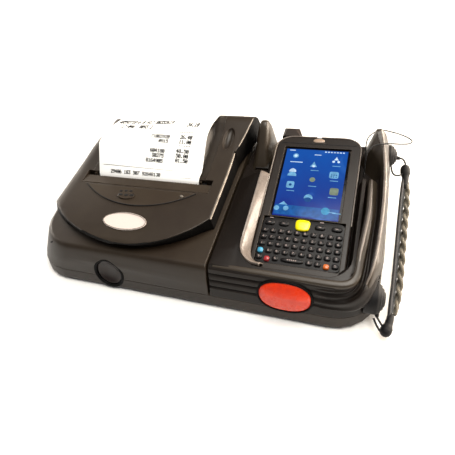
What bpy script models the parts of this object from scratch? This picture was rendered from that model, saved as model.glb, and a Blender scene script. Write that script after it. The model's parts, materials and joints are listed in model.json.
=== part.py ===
"""Portable receipt printer with a cradle that holds a hand terminal.

The case is a long, low box that lies on a table. Its left half is a direct thermal printer for
four-inch paper, and its right half is a cradle with a docked terminal and a side hand strap.
Lengths are metres, +X runs to the right along the case, +Y to the back and +Z up.
Sizes are measured from the middle of the case on the table, and one empty moves the whole
unit so that the world origin lies under the middle of the case and strap together.
"""

import math

import bmesh
import bpy
from mathutils import Euler, Matrix, Vector

# Whole case
CASE_DEPTH = 0.180
FOOT_HEIGHT = 0.002
SEAM_Z = 0.012
HOUSING_FRONT_TOP = 0.040
HOUSING_TOP_INSET = 0.015
HOUSING_RISE_RATIO = 0.04
COVER_PEAK = 0.0758
WALL = 0.0025
GAP = 0.0003
SLIP = 0.0004
OVERRUN = 0.004
FRONT_LEAN_RATIO = 0.32
FLANK_LEAN_RATIO = 0.50
REAR_LEAN_RATIO = 0.06
FRONT_LEFT_RADIUS = 0.038
FRONT_RIGHT_RADIUS = 0.034
REAR_RADIUS = 0.024
SQUARE_CORNER = 0.0008
EDGE_ROUND = 0.003
BASE_EDGE_ROUND = 0.0015
DIVIDE_GAP = 0.0018
STRAP_STAND_OUT = 0.0178

# Feet, screws and the battery in the base
FOOT_RADIUS = 0.008
FOOT_INSET_X = 0.030
FOOT_INSET_Y = 0.026
SCREW_HEAD_RADIUS = 0.0028
SCREW_HEAD_HEIGHT = 0.0016
SCREW_SEAT_DEPTH = 0.0020
SCREW_INSET_X = 0.050
SCREW_INSET_Y = 0.016
BATTERY_INSET_X = 0.022
BATTERY_INSET_Y = 0.024
BATTERY_LENGTH = 0.056
BATTERY_FRAME_GAP = 0.0023
BATTERY_HEIGHT = 0.022
BATTERY_EDGE = 0.002
BATTERY_MARGIN = 0.003

# Main board
BOARD_BATTERY_GAP = 0.012
BOARD_INSET_Y = 0.022
BOARD_DIVIDE_GAP = 0.0083
BOARD_FRAME_GAP = 0.0103
BOARD_THICKNESS = 0.0016
BOARD_Z = 0.012
BOARD_POST_RADIUS = 0.0028
BOARD_POST_INSET = 0.006
CHIP_SIDE = 0.012
CHIP_HEIGHT = 0.0024
PLUG_LENGTH = 0.020
PLUG_DEPTH = 0.006
PLUG_HEIGHT = 0.0055

# Top cover with its crescent lip
LIP_APEX_SHIFT = 0.005
LIP_INSET_Y = 0.0155
LIP_SAG_SHARE = 0.572
COVER_LEFT_INSET = 0.0165
COVER_DIVIDE_INSET = 0.0063
COVER_REAR_INSET = 0.002
COVER_RIGHT_LEAN_RATIO = 0.06
COVER_EDGE_ROUND = 0.0035
COVER_RIGHT_ROUND = 0.0012
SLOT_FRONT_REACH = 0.0187
SLOT_LEFT_MARGIN = 0.013
SLOT_RIGHT_MARGIN = 0.016
DOOR_SIDE_MARGIN = 0.0083
DOOR_FRONT_REACH = 0.0033
SHOULDER_LENGTH = 0.050
SHOULDER_OVERHANG = 0.0049
SHOULDER_RISE = 0.0010
SHOULDER_STEP = 0.0002
SCOOP_SIDE = 0.0005
SCOOP_SETBACK = 0.014
SCOOP_HALF_WIDTH = 0.0052
SCOOP_HALF_LENGTH = 0.013
SCOOP_DEPTH = 0.0020

# Share along the case's depth from the front, and share of the cover's peak height
TOP_PROFILE_SHARES = (
    (0.080, 0.655), (0.105, 0.680), (0.167, 0.706), (0.261, 0.735), (0.394, 0.765),
    (0.500, 0.787), (0.594, 0.812), (0.683, 0.846), (0.767, 0.890), (0.844, 0.940),
    (0.895, 0.983), (0.922, 1.000), (0.950, 0.984), (0.972, 0.925), (0.984, 0.845),
    (0.989, 0.760),
)

# Paper door, its hinge and the platen that it carries
DOOR_WALL = 0.0024
HINGE_INSET = 0.0075
HINGE_RISE = 0.0027
HINGE_PIN_RADIUS = 0.0015
KNUCKLE_RADIUS = 0.0040
KNUCKLE_LENGTH = 0.014
KNUCKLE_INSET = 0.012
DOOR_BACK_INSET = 0.0032
PIN_OVERHANG = 0.0045
PLATEN_Z = 0.0490
PLATEN_RADIUS = 0.0058
PLATEN_SHAFT_RADIUS = 0.0020
BUSH_RADIUS = 0.0036
BRACKET_THICKNESS = 0.0026
BRACKET_FRONT_REACH = 0.0057
BRACKET_REAR_REACH = 0.0060
BRACKET_BOTTOM = 0.0430
BRACKET_INSET = 0.0026
DOOR_OPEN_DEGREES = 78.0

# Paper roll and the receipt
PAPER_WIDTH = 0.104
PAPER_LEFT_REACH = 0.051
PAPER_RIGHT_REACH = 0.0333
PAPER_THICKNESS = 0.0004
ROLL_RADIUS = 0.0245
ROLL_HINGE_CLEARANCE = 0.011
ROLL_FRAME_CLEARANCE = 0.0025
ROLL_FLOOR_CLEARANCE = 0.0032
CORE_RADIUS = 0.0090
CORE_WALL = 0.0016
HUB_RADIUS = 0.0068
HUB_REACH = 0.008
HOLDER_THICKNESS = 0.0030
HOLDER_DEPTH = 0.018
HOLDER_GAP = 0.0008
# Height of the curl over its run, as shares of the run and of the rise above the slot
RECEIPT_START_REACH = 0.0055
RECEIPT_START_RISE = 0.004
RECEIPT_RUN = 0.089
RECEIPT_RISE = 0.0290
RECEIPT_SHARES = (
    (0.000, 0.000), (0.003, 0.210), (0.020, 0.300), (0.055, 0.360), (0.101, 0.432),
    (0.214, 0.620), (0.326, 0.828), (0.438, 0.955), (0.573, 1.000), (0.708, 0.972),
    (0.843, 0.900), (0.955, 0.805), (1.000, 0.720),
)

# Print head, drive train and their frame
HEAD_GAP = 0.0006
HEAD_THICKNESS = 0.0024
HEAD_HEIGHT = 0.0120
HEAD_MARGIN = 0.003
SINK_THICKNESS = 0.0040
SINK_FIN_COUNT = 7
SINK_FIN_GAP_SHARE = 0.45
HEAD_SPRING_LENGTH = 0.0070
HEAD_SPRING_RADIUS = 0.0030
HEAD_SPRING_WIRE = 0.0005
HEAD_SPRING_TURNS = 4
HEAD_SPRING_SPREAD = 0.030
FRAME_SHEET = 0.0015
FRAME_FLOOR_Z = 0.0140
FRAME_REAR_REACH = 0.0155
FRAME_CHEEK_TOP = 0.0390
FRAME_POST_RADIUS = 0.0035
FRAME_POST_INSET = 0.006
GEAR_MODULE = 0.0008
GEAR_THICKNESS = 0.0026
GEAR_SIDE_GAP = 0.0006
PLATEN_TEETH = 18
IDLER_TEETH = 24
PINION_TEETH = 12
GEAR_ADDENDUM_SHARE = 0.75
GEAR_DEDENDUM_SHARE = 1.15
TOOTH_ROOT_SHARE = 0.52
TOOTH_TIP_SHARE = 0.24
MESH_EASE = 0.0002
IDLER_FRONT_REACH = 0.0065
PINION_REAR_REACH = 0.0060
AXLE_RADIUS = 0.0015
MOTOR_RADIUS = 0.0095
MOTOR_LENGTH = 0.020
MOTOR_SHAFT_RADIUS = 0.0012

# Tear bar, status panel, feed button, lamp and label
TEAR_BAR_REACH = 0.0077
TEAR_BAR_THICKNESS = 0.0030
TEAR_TOOTH_PITCH = 0.0026
TEAR_TOOTH_DEPTH = 0.0008
PANEL_SIDE_MARGIN = 0.005
PANEL_SAG = 0.020
PANEL_SLOT_GAP = 0.0018
PANEL_RAISE = 0.0006
PANEL_SINK = 0.0008
PANEL_SEAT = 0.0004
PANEL_CLEARANCE = 0.0007
FEED_SIDE = 0.009
FEED_SETBACK = 0.0105
FEED_HALF_WIDTH = 0.0085
FEED_HALF_DEPTH = 0.0040
FEED_RAISE = 0.0014
FEED_BUTTON_TRAVEL = 0.0004
LED_SIDE = 0.007
LED_SETBACK = 0.0045
LED_RADIUS = 0.0016
LED_RAISE = 0.0004
LABEL_SIDE = 0.002
LABEL_PLACE_SHARE = 0.545
LABEL_HALF_WIDTH = 0.0215
LABEL_DEPTH_SHARE = 0.234
LABEL_RAISE = 0.0003
LABEL_SINK = 0.0005

# Round power button on the front
POWER_SIDE = 0.013
POWER_Z = 0.0165
POWER_RECESS_RADIUS = 0.0150
POWER_RADIUS = 0.0126
POWER_THICKNESS = 0.0032
POWER_TRAVEL = 0.0010
POWER_SINK = 0.0012
POWER_DISH = 0.0014

# Cradle deck: shares of depth from the front, then heights beside the split and at the pocket
DECK_SPLIT_FRONT_Z = 0.0405
DECK_SPLIT_REAR_Z = 0.0450
DECK_RIM_FRONT_Z = 0.0400
DECK_RIM_REAR_Z = 0.0560
DECK_INSET_Y = 0.0155
DECK_REAR_REACH = 0.005
DECK_LEFT_REAR_REACH = 0.026
DECK_LEFT_CREST_GAP = 0.0068
DECK_RIGHT_CREST_GAP = 0.0065
DECK_RIGHT_FOOT_SPREAD = 0.003
CRADLE_BAND_TOP = 0.0200
RIDGE_PITCH = 0.0062
RIDGE_COUNT = 3
GROOVE_DEPTH = 0.0016
GROOVE_HALF_WIDTH = 0.0011
CRADLE_REAR_Z = 0.0400
CRADLE_FLOOR_SKIN = 0.0020

# Side rails: station shares along the depth, then places
RAIL_FOOT_Z = 0.0350
OUTER_RAIL_HALF_WIDTH = 0.0017
OUTER_RAIL_FOOT_OUT = 0.0012
OUTER_RAIL_FOOT_IN = 0.0036
OUTER_POST_FOOT_IN = 0.0105
# Share along the depth, share of the case's half length, share of the cover's peak
OUTER_RAIL_SHARES = (
    (0.120, 0.9290, 0.530), (0.150, 0.9430, 0.575), (0.220, 0.9560, 0.625),
    (0.330, 0.9640, 0.680), (0.450, 0.9680, 0.735), (0.560, 0.9670, 0.780),
    (0.660, 0.9620, 0.815), (0.745, 0.9530, 0.850), (0.800, 0.9430, 0.895),
    (0.842, 0.9300, 0.955), (0.866, 0.9210, 0.990), (0.884, 0.9195, 0.980),
    (0.908, 0.9200, 0.880), (0.932, 0.9230, 0.730), (0.952, 0.9260, 0.600),
    (0.965, 0.9270, 0.535),
)
POST_START_SHARE = 0.700
INNER_RAIL_HALF_WIDTH = 0.0027
INNER_RAIL_FOOT_SPREAD = 0.0008
INNER_RAIL_SHARES = (
    (0.150, 0.8780, 0.545), (0.185, 0.8880, 0.585), (0.240, 0.8970, 0.620),
    (0.330, 0.9050, 0.665), (0.450, 0.9100, 0.705), (0.560, 0.9080, 0.728),
    (0.630, 0.9040, 0.735), (0.652, 0.9030, 0.715),
)
LEFT_POST_SIDE = 0.0077
LEFT_POST_WIDTH = 0.014
LEFT_POST_LEAN = 0.0065
# Share along the depth and share of the cover's peak
LEFT_POST_SHARES = (
    (0.740, 0.560), (0.770, 0.640), (0.820, 0.790), (0.880, 0.960), (0.915, 0.995),
    (0.940, 0.960), (0.962, 0.760), (0.975, 0.560),
)

# Docked terminal
CRADLE_LEFT_REACH = 0.0282
CRADLE_RIGHT_REACH = 0.0265
SCREEN_INSET_Y = 0.109
SCREEN_Z = 0.0522
TERMINAL_PITCH_DEGREES = 13.0
TERMINAL_WIDTH = 0.077
TERMINAL_TOP = 0.0505
TERMINAL_BOTTOM = -0.0940
TERMINAL_THICKNESS = 0.0240
TERMINAL_TAPER = 0.0050
TAPER_START = -0.050
TERMINAL_TOP_RADIUS = 0.013
TERMINAL_BOTTOM_RADIUS = 0.012
BEZEL_DEPTH = 0.0090
BEZEL_ROUND = 0.0022
CASE_ROUND = 0.0030
GLASS_WIDTH = 0.0590
GLASS_HEIGHT = 0.0745
GLASS_THICKNESS = 0.0014
GLASS_SINK = 0.0004
BUMP_LEFT = -0.0355
BUMP_RIGHT = -0.0155
BUMP_TOP = 0.0620
BUMP_TOP_INSET = 0.0050
BUMP_THICKNESS = 0.0130
BUMP_SINK = 0.0005
BUMP_ROUND = 0.0024
LAMP_WIDTH = 0.0100
LAMP_DEPTH = 0.0048
LAMP_THICKNESS = 0.0020
LAMP_RAISE = 0.0006
LAMP_U = 0.0448
KEYMAT_TOP = -0.0385
KEYMAT_BOTTOM = -0.0815
KEYMAT_HALF_WIDTH = 0.0335
KEYMAT_BASE = 0.0022
KEY_RAISE = 0.0009
KEY_COLUMNS = 10
KEY_ROWS = 6
KEY_INSET_SHARE = 0.11
SCAN_KEY_U = -0.0445
SCAN_KEY_HALF_WIDTH = 0.0060
SCAN_KEY_HALF_HEIGHT = 0.0047
COLOUR_KEY_HALF = 0.0027
BLUE_KEY_PLACE = (-0.0302, -0.0711)
RED_KEY_PLACE = (-0.0235, -0.0780)
ORANGE_KEY_PLACE = (0.0235, -0.0780)
KEY_CLEARANCE = 0.0004
KEY_SINK = 0.0016
KEY_TRAVEL = 0.0005
COLOUR_KEY_RAISE = 0.0014

# Cradle pocket round the terminal
POCKET_CLEARANCE = 0.0008
POCKET_REACH = 0.0700
FLARE_START = 0.0055
FLARE_TOP = 0.0015
FLARE_LEFT = 0.0058
FLARE_RIGHT = 0.0030
RIM_HANG = 0.0046
RIM_RADIUS = 0.0180

# Release button, latch, spring and dock connector
RELEASE_SIDE = 0.004
RELEASE_Z = 0.0242
RELEASE_HALF_WIDTH = 0.0205
RELEASE_HALF_HEIGHT = 0.0135
RELEASE_PROUD = 0.0042
RELEASE_DEPTH = 0.0030
RELEASE_TRAVEL = 0.0018
RELEASE_BACK_GAP = 0.0004
RELEASE_CLEARANCE = 0.0005
# Share of the button's size and share of how far it stands proud
RELEASE_DOME_SHARES = ((1.00, 0.25), (0.94, 0.62), (0.78, 0.88), (0.45, 1.00))
RELEASE_SPRING_LENGTH = 0.0048
RELEASE_SPRING_RADIUS = 0.0036
RELEASE_SPRING_WIRE = 0.0005
RELEASE_SPRING_TURNS = 2
LATCH_BAR_Z = 0.0180
LATCH_BAR_HEIGHT = 0.0050
LATCH_BAR_INSET = 0.0136
LATCH_BAR_DEPTH = 0.0021
LATCH_SIDE_GAP = 0.0065
LATCH_ARM_THICKNESS = 0.0030
LATCH_SPRING_SIDE = 0.011
LATCH_ARM_LENGTH = 0.0204
LATCH_TOOTH_LENGTH = 0.0060
LATCH_TOOTH_REACH = 0.0048
LATCH_SLOT_MARGIN = 0.0006
GROOVE_BITE = 0.0022
GROOVE_TOP_N = -0.0094
GROOVE_BOTTOM_N = -0.0176
GROOVE_END_U = -0.0780
DOCK_WIDTH = 0.0260
DOCK_FRONT_U = -0.0910
DOCK_REAR_U = -0.0850
DOCK_TOP_N = -0.0204

# Hand strap
ANCHOR_INSET_X = 0.011
FRONT_ANCHOR_INSET_Y = 0.023
FRONT_ANCHOR_Z = 0.018
REAR_ANCHOR_INSET_Y = 0.021
REAR_ANCHOR_Z = 0.045
FRONT_ANCHOR_RADIUS = 0.0122
REAR_ANCHOR_RADIUS = 0.0104
ANCHOR_REACH = 0.0150
# Share of the knob's reach outwards and share of its radius
ANCHOR_PROFILE_SHARES = (
    (1.00, 0.20), (0.98, 0.40), (0.92, 0.47), (0.90, 0.62), (0.80, 0.68), (0.78, 0.84),
    (0.64, 0.92), (0.60, 1.00), (0.00, 1.00),
)
LUG_RADIUS = 0.0017
LOOP_CORD_DIAMETER = 0.0016
FRONT_LUG_REACH = (0.0105, -0.0115, -0.0073)
REAR_LUG_REACH = (0.0179, -0.0002, -0.0014)
FRONT_PIVOT_REACH = (0.0009, -0.0008, -0.0005)
REAR_PIVOT_REACH = (0.0012, -0.0002, -0.0004)
LOOP_BEND = 0.0030
# Share of how far the strap stands out, share of half the case's depth, share of the cover's peak
STRAP_ROUTE_SHARES = (
    (0.337, -0.9644, 0.1135), (0.405, -0.9333, 0.1161), (0.506, -0.8778, 0.1240),
    (0.596, -0.6667, 0.1504), (0.640, -0.3889, 0.1953), (0.674, -0.0556, 0.2612),
    (0.708, 0.2778, 0.3351), (0.730, 0.4778, 0.3931), (0.742, 0.6000, 0.4380),
    (0.719, 0.6667, 0.4697), (0.685, 0.7022, 0.4855),
)
BAND_HALF_THICKNESS = 0.0013
BAND_HALF_HEIGHT = 0.0046
PAD_THICKNESS = 0.0056
# Share of the band's length, share of its height and share of the pad's thickness
STRAP_SHARES = (
    (0.000, 0.45, 0.20), (0.010, 0.60, 0.36), (0.040, 0.60, 0.36), (0.060, 0.45, 0.20),
    (0.110, 0.75, 0.50), (0.230, 1.00, 0.92), (0.500, 1.00, 1.00), (0.780, 1.00, 0.92),
    (0.890, 0.75, 0.50), (0.940, 0.45, 0.20), (0.960, 0.60, 0.36), (0.990, 0.60, 0.36),
    (1.000, 0.45, 0.20),
)
# Share of the pad's thickness and share of the band's height, round the section
STRAP_SECTION_SHARES = (
    (0.00, -1.00), (0.55, -0.84), (1.00, -0.42), (1.00, 0.42), (0.55, 0.84), (0.00, 1.00),
)

# Thin tether looped round the rear post
TETHER_DIAMETER = 0.0011
TETHER_ROUTE = (
    (0.1372, 0.0620, 0.0406), (0.1368, 0.0615, 0.0520), (0.1364, 0.0630, 0.0620),
    (0.1374, 0.0668, 0.0662), (0.1402, 0.0714, 0.0668), (0.1442, 0.0766, 0.0668),
    (0.1492, 0.0780, 0.0668), (0.1546, 0.0762, 0.0670), (0.1630, 0.0718, 0.0676),
    (0.1695, 0.0650, 0.0692), (0.1725, 0.0595, 0.0700), (0.1705, 0.0558, 0.0700),
    (0.1640, 0.0546, 0.0700), (0.1565, 0.0542, 0.0702), (0.1495, 0.0534, 0.0700),
    (0.1429, 0.0518, 0.0690), (0.1388, 0.0478, 0.0660), (0.1376, 0.0452, 0.0580),
    (0.1374, 0.0448, 0.0406),
)

# Resolution of round forms
CORNER_STEPS = 6
TURN_STEPS = 28
SMALL_TURN_STEPS = 16
WIRE_STEPS_PER_TURN = 8
CRESCENT_STEPS = 9

# The case's width and the places along it, from what each half holds
PRINTER_WIDTH = PAPER_LEFT_REACH + PAPER_WIDTH + PAPER_RIGHT_REACH
CRADLE_WIDTH = CRADLE_LEFT_REACH + TERMINAL_WIDTH + CRADLE_RIGHT_REACH
CASE_LENGTH = PRINTER_WIDTH + CRADLE_WIDTH
CASE_LEFT = -CASE_LENGTH / 2
CASE_RIGHT = CASE_LENGTH / 2
DIVIDE_X = CASE_RIGHT - CRADLE_WIDTH
PAPER_LEFT = CASE_LEFT + PAPER_LEFT_REACH
PAPER_RIGHT = PAPER_LEFT + PAPER_WIDTH
PAPER_CENTRE_X = PAPER_LEFT + PAPER_WIDTH / 2
COVER_LEFT = CASE_LEFT + COVER_LEFT_INSET
COVER_RIGHT = DIVIDE_X - COVER_DIVIDE_INSET
LIP_APEX_X = PAPER_CENTRE_X + LIP_APEX_SHIFT
SLOT_LEFT = PAPER_LEFT - SLOT_LEFT_MARGIN
SLOT_RIGHT = PAPER_RIGHT + SLOT_RIGHT_MARGIN
DOOR_LEFT = PAPER_LEFT - DOOR_SIDE_MARGIN
DOOR_RIGHT = PAPER_RIGHT + DOOR_SIDE_MARGIN
SHOULDER_RIGHT = DIVIDE_X + SHOULDER_OVERHANG
SCOOP_X = SLOT_RIGHT + SCOOP_SIDE
PANEL_HALF_CHORD = PAPER_WIDTH / 2 + PANEL_SIDE_MARGIN
FEED_X = PAPER_CENTRE_X - FEED_SIDE
LED_X = PAPER_RIGHT - LED_SIDE
LABEL_X = PAPER_CENTRE_X + LABEL_SIDE
POWER_X = PAPER_CENTRE_X - POWER_SIDE
BATTERY_LEFT = CASE_LEFT + BATTERY_INSET_X
BOARD_LEFT = BATTERY_LEFT + BATTERY_LENGTH + BOARD_BATTERY_GAP
BOARD_LENGTH = DIVIDE_X - BOARD_DIVIDE_GAP - BOARD_LEFT
TERMINAL_LEFT = DIVIDE_X + CRADLE_LEFT_REACH
TERMINAL_X = TERMINAL_LEFT + TERMINAL_WIDTH / 2
TERMINAL_RIGHT = TERMINAL_LEFT + TERMINAL_WIDTH
DECK_LEFT_CREST_X = TERMINAL_LEFT - DECK_LEFT_CREST_GAP
DECK_RIGHT_CREST_X = TERMINAL_RIGHT + DECK_RIGHT_CREST_GAP
DECK_RIGHT_FOOT_X = DECK_RIGHT_CREST_X + DECK_RIGHT_FOOT_SPREAD
LEFT_POST_LEFT = DIVIDE_X + LEFT_POST_SIDE
LEFT_POST_RIGHT = LEFT_POST_LEFT + LEFT_POST_WIDTH
LEFT_POST_CREST_LEFT = LEFT_POST_LEFT + LEFT_POST_LEAN
RELEASE_X = TERMINAL_X - RELEASE_SIDE
LATCH_LEFT = TERMINAL_LEFT - LATCH_SIDE_GAP
LATCH_RIGHT = RELEASE_X - LATCH_SPRING_SIDE
STRAP_REACH_X = CASE_RIGHT + STRAP_STAND_OUT

# Places along the depth, each from the piece behind it, or from the case's front
CASE_FRONT = -CASE_DEPTH / 2
CASE_REAR = CASE_DEPTH / 2
COVER_REAR = CASE_REAR - COVER_REAR_INSET
DOOR_BACK_Y = CASE_REAR - DOOR_BACK_INSET
HINGE_Y = CASE_REAR - HINGE_INSET
ROLL_Y = HINGE_Y - ROLL_RADIUS - ROLL_HINGE_CLEARANCE
FRAME_REAR = ROLL_Y - ROLL_RADIUS - ROLL_FRAME_CLEARANCE
PLATEN_Y = FRAME_REAR - FRAME_REAR_REACH
BRACKET_FRONT = PLATEN_Y - BRACKET_FRONT_REACH
BRACKET_REAR = PLATEN_Y + BRACKET_REAR_REACH
IDLER_Y = PLATEN_Y - IDLER_FRONT_REACH
PINION_Y = PLATEN_Y + PINION_REAR_REACH
DOOR_FRONT = PLATEN_Y - DOOR_FRONT_REACH
TEAR_BAR_REAR = PLATEN_Y - TEAR_BAR_REACH
RECEIPT_START_Y = PLATEN_Y - RECEIPT_START_REACH
SLOT_FRONT_Y = PLATEN_Y - SLOT_FRONT_REACH
PANEL_BACK_Y = SLOT_FRONT_Y - PANEL_SLOT_GAP
PANEL_FRONT_Y = PANEL_BACK_Y - PANEL_SAG
FEED_Y = PANEL_BACK_Y - FEED_SETBACK
LED_Y = PANEL_BACK_Y - LED_SETBACK
LIP_APEX_Y = CASE_FRONT + LIP_INSET_Y
LIP_SAG = (SLOT_FRONT_Y - LIP_APEX_Y) * LIP_SAG_SHARE
LABEL_Y = LIP_APEX_Y + (PANEL_FRONT_Y - LIP_APEX_Y) * LABEL_PLACE_SHARE
LABEL_HALF_DEPTH = (PANEL_FRONT_Y - LIP_APEX_Y) * LABEL_DEPTH_SHARE
SHOULDER_FRONT = COVER_REAR - SHOULDER_LENGTH
SCOOP_Y = SHOULDER_FRONT + SCOOP_SETBACK
BATTERY_FRONT = CASE_FRONT + BATTERY_INSET_Y
BOARD_FRONT = CASE_FRONT + BOARD_INSET_Y
SCREEN_Y = CASE_FRONT + SCREEN_INSET_Y
DECK_FRONT_Y = CASE_FRONT + DECK_INSET_Y
DECK_REAR_Y = SCREEN_Y + DECK_REAR_REACH
DECK_LEFT_REAR_Y = SCREEN_Y + DECK_LEFT_REAR_REACH
LATCH_BAR_FRONT = CASE_FRONT + LATCH_BAR_INSET
LATCH_BAR_REAR = LATCH_BAR_FRONT + LATCH_BAR_DEPTH
LATCH_ARM_REAR = LATCH_BAR_FRONT + LATCH_ARM_LENGTH

# Heights of the hinge, the roll and the slot, and the strap's fixings
HINGE_Z = HOUSING_FRONT_TOP + (HINGE_Y - CASE_FRONT - HOUSING_TOP_INSET) * HOUSING_RISE_RATIO + HINGE_RISE
ROLL_Z = FOOT_HEIGHT + WALL + GAP + HOLDER_THICKNESS + ROLL_FLOOR_CLEARANCE + ROLL_RADIUS
RECEIPT_START_Z = PLATEN_Z + RECEIPT_START_RISE
FRONT_ANCHOR = (CASE_RIGHT - ANCHOR_INSET_X, CASE_FRONT + FRONT_ANCHOR_INSET_Y, FRONT_ANCHOR_Z)
REAR_ANCHOR = (CASE_RIGHT - ANCHOR_INSET_X, CASE_REAR - REAR_ANCHOR_INSET_Y, REAR_ANCHOR_Z)
FRONT_LUG_END = tuple(a + b for a, b in zip(FRONT_ANCHOR, FRONT_LUG_REACH))
REAR_LUG_END = tuple(a + b for a, b in zip(REAR_ANCHOR, REAR_LUG_REACH))
FRONT_PIVOT = tuple(a + b for a, b in zip(FRONT_LUG_END, FRONT_PIVOT_REACH))
REAR_PIVOT = tuple(a + b for a, b in zip(REAR_LUG_END, REAR_PIVOT_REACH))

CORNERS = (("front_left", -1, -1), ("front_right", 1, -1), ("rear_left", -1, 1), ("rear_right", 1, 1))

COLOURS = {
    "printer_plastic": ((0.045, 0.037, 0.029), 0.42, 0.0),
    "cradle_plastic": ((0.022, 0.018, 0.017), 0.40, 0.0),
    "base_plastic": ((0.030, 0.024, 0.020), 0.50, 0.0),
    "panel_plastic": ((0.040, 0.034, 0.026), 0.34, 0.0),
    "soft_black": ((0.008, 0.008, 0.008), 0.62, 0.0),
    "button_orange": ((0.91, 0.095, 0.022), 0.30, 0.0),
    "label_white": ((0.88, 0.80, 0.77), 0.45, 0.0),
    "lamp_grey": ((0.28, 0.30, 0.30), 0.20, 0.0),
    "paper_white": ((0.88, 0.88, 0.86), 0.80, 0.0),
    "card_brown": ((0.42, 0.28, 0.16), 0.85, 0.0),
    "steel": ((0.55, 0.55, 0.54), 0.32, 1.0),
    "aluminium": ((0.70, 0.70, 0.71), 0.38, 1.0),
    "ceramic": ((0.70, 0.68, 0.62), 0.30, 0.0),
    "brass": ((0.65, 0.48, 0.18), 0.35, 1.0),
    "gear_white": ((0.75, 0.74, 0.70), 0.45, 0.0),
    "rubber": ((0.015, 0.015, 0.015), 0.85, 0.0),
    "board_green": ((0.02, 0.13, 0.05), 0.45, 0.0),
    "battery_black": ((0.03, 0.03, 0.035), 0.50, 0.0),
    "terminal_plastic": ((0.070, 0.052, 0.042), 0.48, 0.0),
    "terminal_bezel": ((0.085, 0.063, 0.050), 0.45, 0.0),
    "screen_blue": ((0.012, 0.080, 0.44), 0.12, 0.0),
    "key_black": ((0.018, 0.014, 0.014), 0.50, 0.0),
    "key_yellow": ((0.80, 0.74, 0.012), 0.38, 0.0),
    "key_red": ((0.35, 0.035, 0.035), 0.40, 0.0),
    "key_orange": ((0.58, 0.20, 0.05), 0.40, 0.0),
    "key_blue": ((0.10, 0.46, 0.58), 0.40, 0.0),
    "webbing": ((0.040, 0.028, 0.030), 0.80, 0.0),
    "lacing": ((0.25, 0.22, 0.16), 0.85, 0.0),
    "cord_black": ((0.010, 0.010, 0.010), 0.70, 0.0),
}

parts_collection = None
cutters_collection = None
unit_root = None
materials = {}


def start_scene():
    """Clear the file's objects and make the two collections and the unit's parent empty."""
    global parts_collection, cutters_collection, unit_root
    for item in list(bpy.data.objects):
        bpy.data.objects.remove(item, do_unlink=True)
    parts_collection = bpy.data.collections.new("receipt_printer")
    cutters_collection = bpy.data.collections.new("cutters")
    for collection in (parts_collection, cutters_collection):
        bpy.context.scene.collection.children.link(collection)
    unit_root = bpy.data.objects.new("unit_root", None)
    unit_root.location = (-(STRAP_REACH_X - CASE_LENGTH / 2) / 2, 0, 0)
    parts_collection.objects.link(unit_root)


def material(name):
    """Return the Principled material of this name, made once."""
    if name not in materials:
        colour, roughness, metallic = COLOURS[name]
        made = bpy.data.materials.new(name)
        made.use_nodes = True
        shader = made.node_tree.nodes["Principled BSDF"]
        shader.inputs["Base Color"].default_value = (*colour, 1)
        shader.inputs["Roughness"].default_value = roughness
        shader.inputs["Metallic"].default_value = metallic
        materials[name] = made
    return materials[name]


def place(name, mesh, finish=None, parent=None):
    """Make an object of a mesh: a part when it has a finish, otherwise a hidden cutter."""
    item = bpy.data.objects.new(name, mesh)
    if finish is None:
        cutters_collection.objects.link(item)
        item.display_type = "WIRE"
        item.hide_render = True
    else:
        parts_collection.objects.link(item)
        mesh.materials.clear()
        mesh.materials.append(material(finish))
    item.parent = parent or unit_root
    return item


def from_bmesh(name, work, finish=None, parent=None):
    """Turn a bmesh into an object, with its faces pointing out."""
    bmesh.ops.recalc_face_normals(work, faces=work.faces)
    mesh = bpy.data.meshes.new(name)
    work.to_mesh(mesh)
    work.free()
    mesh.shade_smooth()
    mesh.set_sharp_from_angle(angle=math.radians(32))
    return place(name, mesh, finish, parent)


def box(name, low, high, finish=None, parent=None, edge=0):
    """A block between two corners, its edges bevelled when edge is given."""
    work = bmesh.new()
    bmesh.ops.create_cube(work, size=1)
    low, high = Vector(low), Vector(high)
    for vertex in work.verts:
        vertex.co = Vector(
            (low[i] + high[i]) / 2 + vertex.co[i] * (high[i] - low[i]) for i in range(3)
        )
    item = from_bmesh(name, work, finish, parent)
    if edge:
        bevel = item.modifiers.new("edges", "BEVEL")
        bevel.width = edge
        bevel.segments = 2
    return item


def rod(name, start, end, radius, finish=None, parent=None, steps=TURN_STEPS, end_radius=None):
    """A cylinder or cone between two points."""
    start, end = Vector(start), Vector(end)
    along = end - start
    work = bmesh.new()
    bmesh.ops.create_cone(
        work, cap_ends=True, segments=steps, radius1=radius,
        radius2=radius if end_radius is None else end_radius, depth=along.length,
    )
    turn = along.to_track_quat("Z", "Y").to_matrix().to_4x4()
    bmesh.ops.transform(work, verts=work.verts, matrix=Matrix.Translation((start + end) / 2) @ turn)
    return from_bmesh(name, work, finish, parent)


def loft(name, rings, finish=None, parent=None):
    """A closed solid through rings that have the same number of points."""
    work = bmesh.new()
    rows = [[work.verts.new(point) for point in ring] for ring in rings]
    for lower, upper in zip(rows, rows[1:]):
        for i in range(len(lower)):
            j = (i + 1) % len(lower)
            work.faces.new((lower[i], lower[j], upper[j], upper[i]))
    work.faces.new(list(reversed(rows[0])))
    work.faces.new(rows[-1])
    return from_bmesh(name, work, finish, parent)


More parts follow.
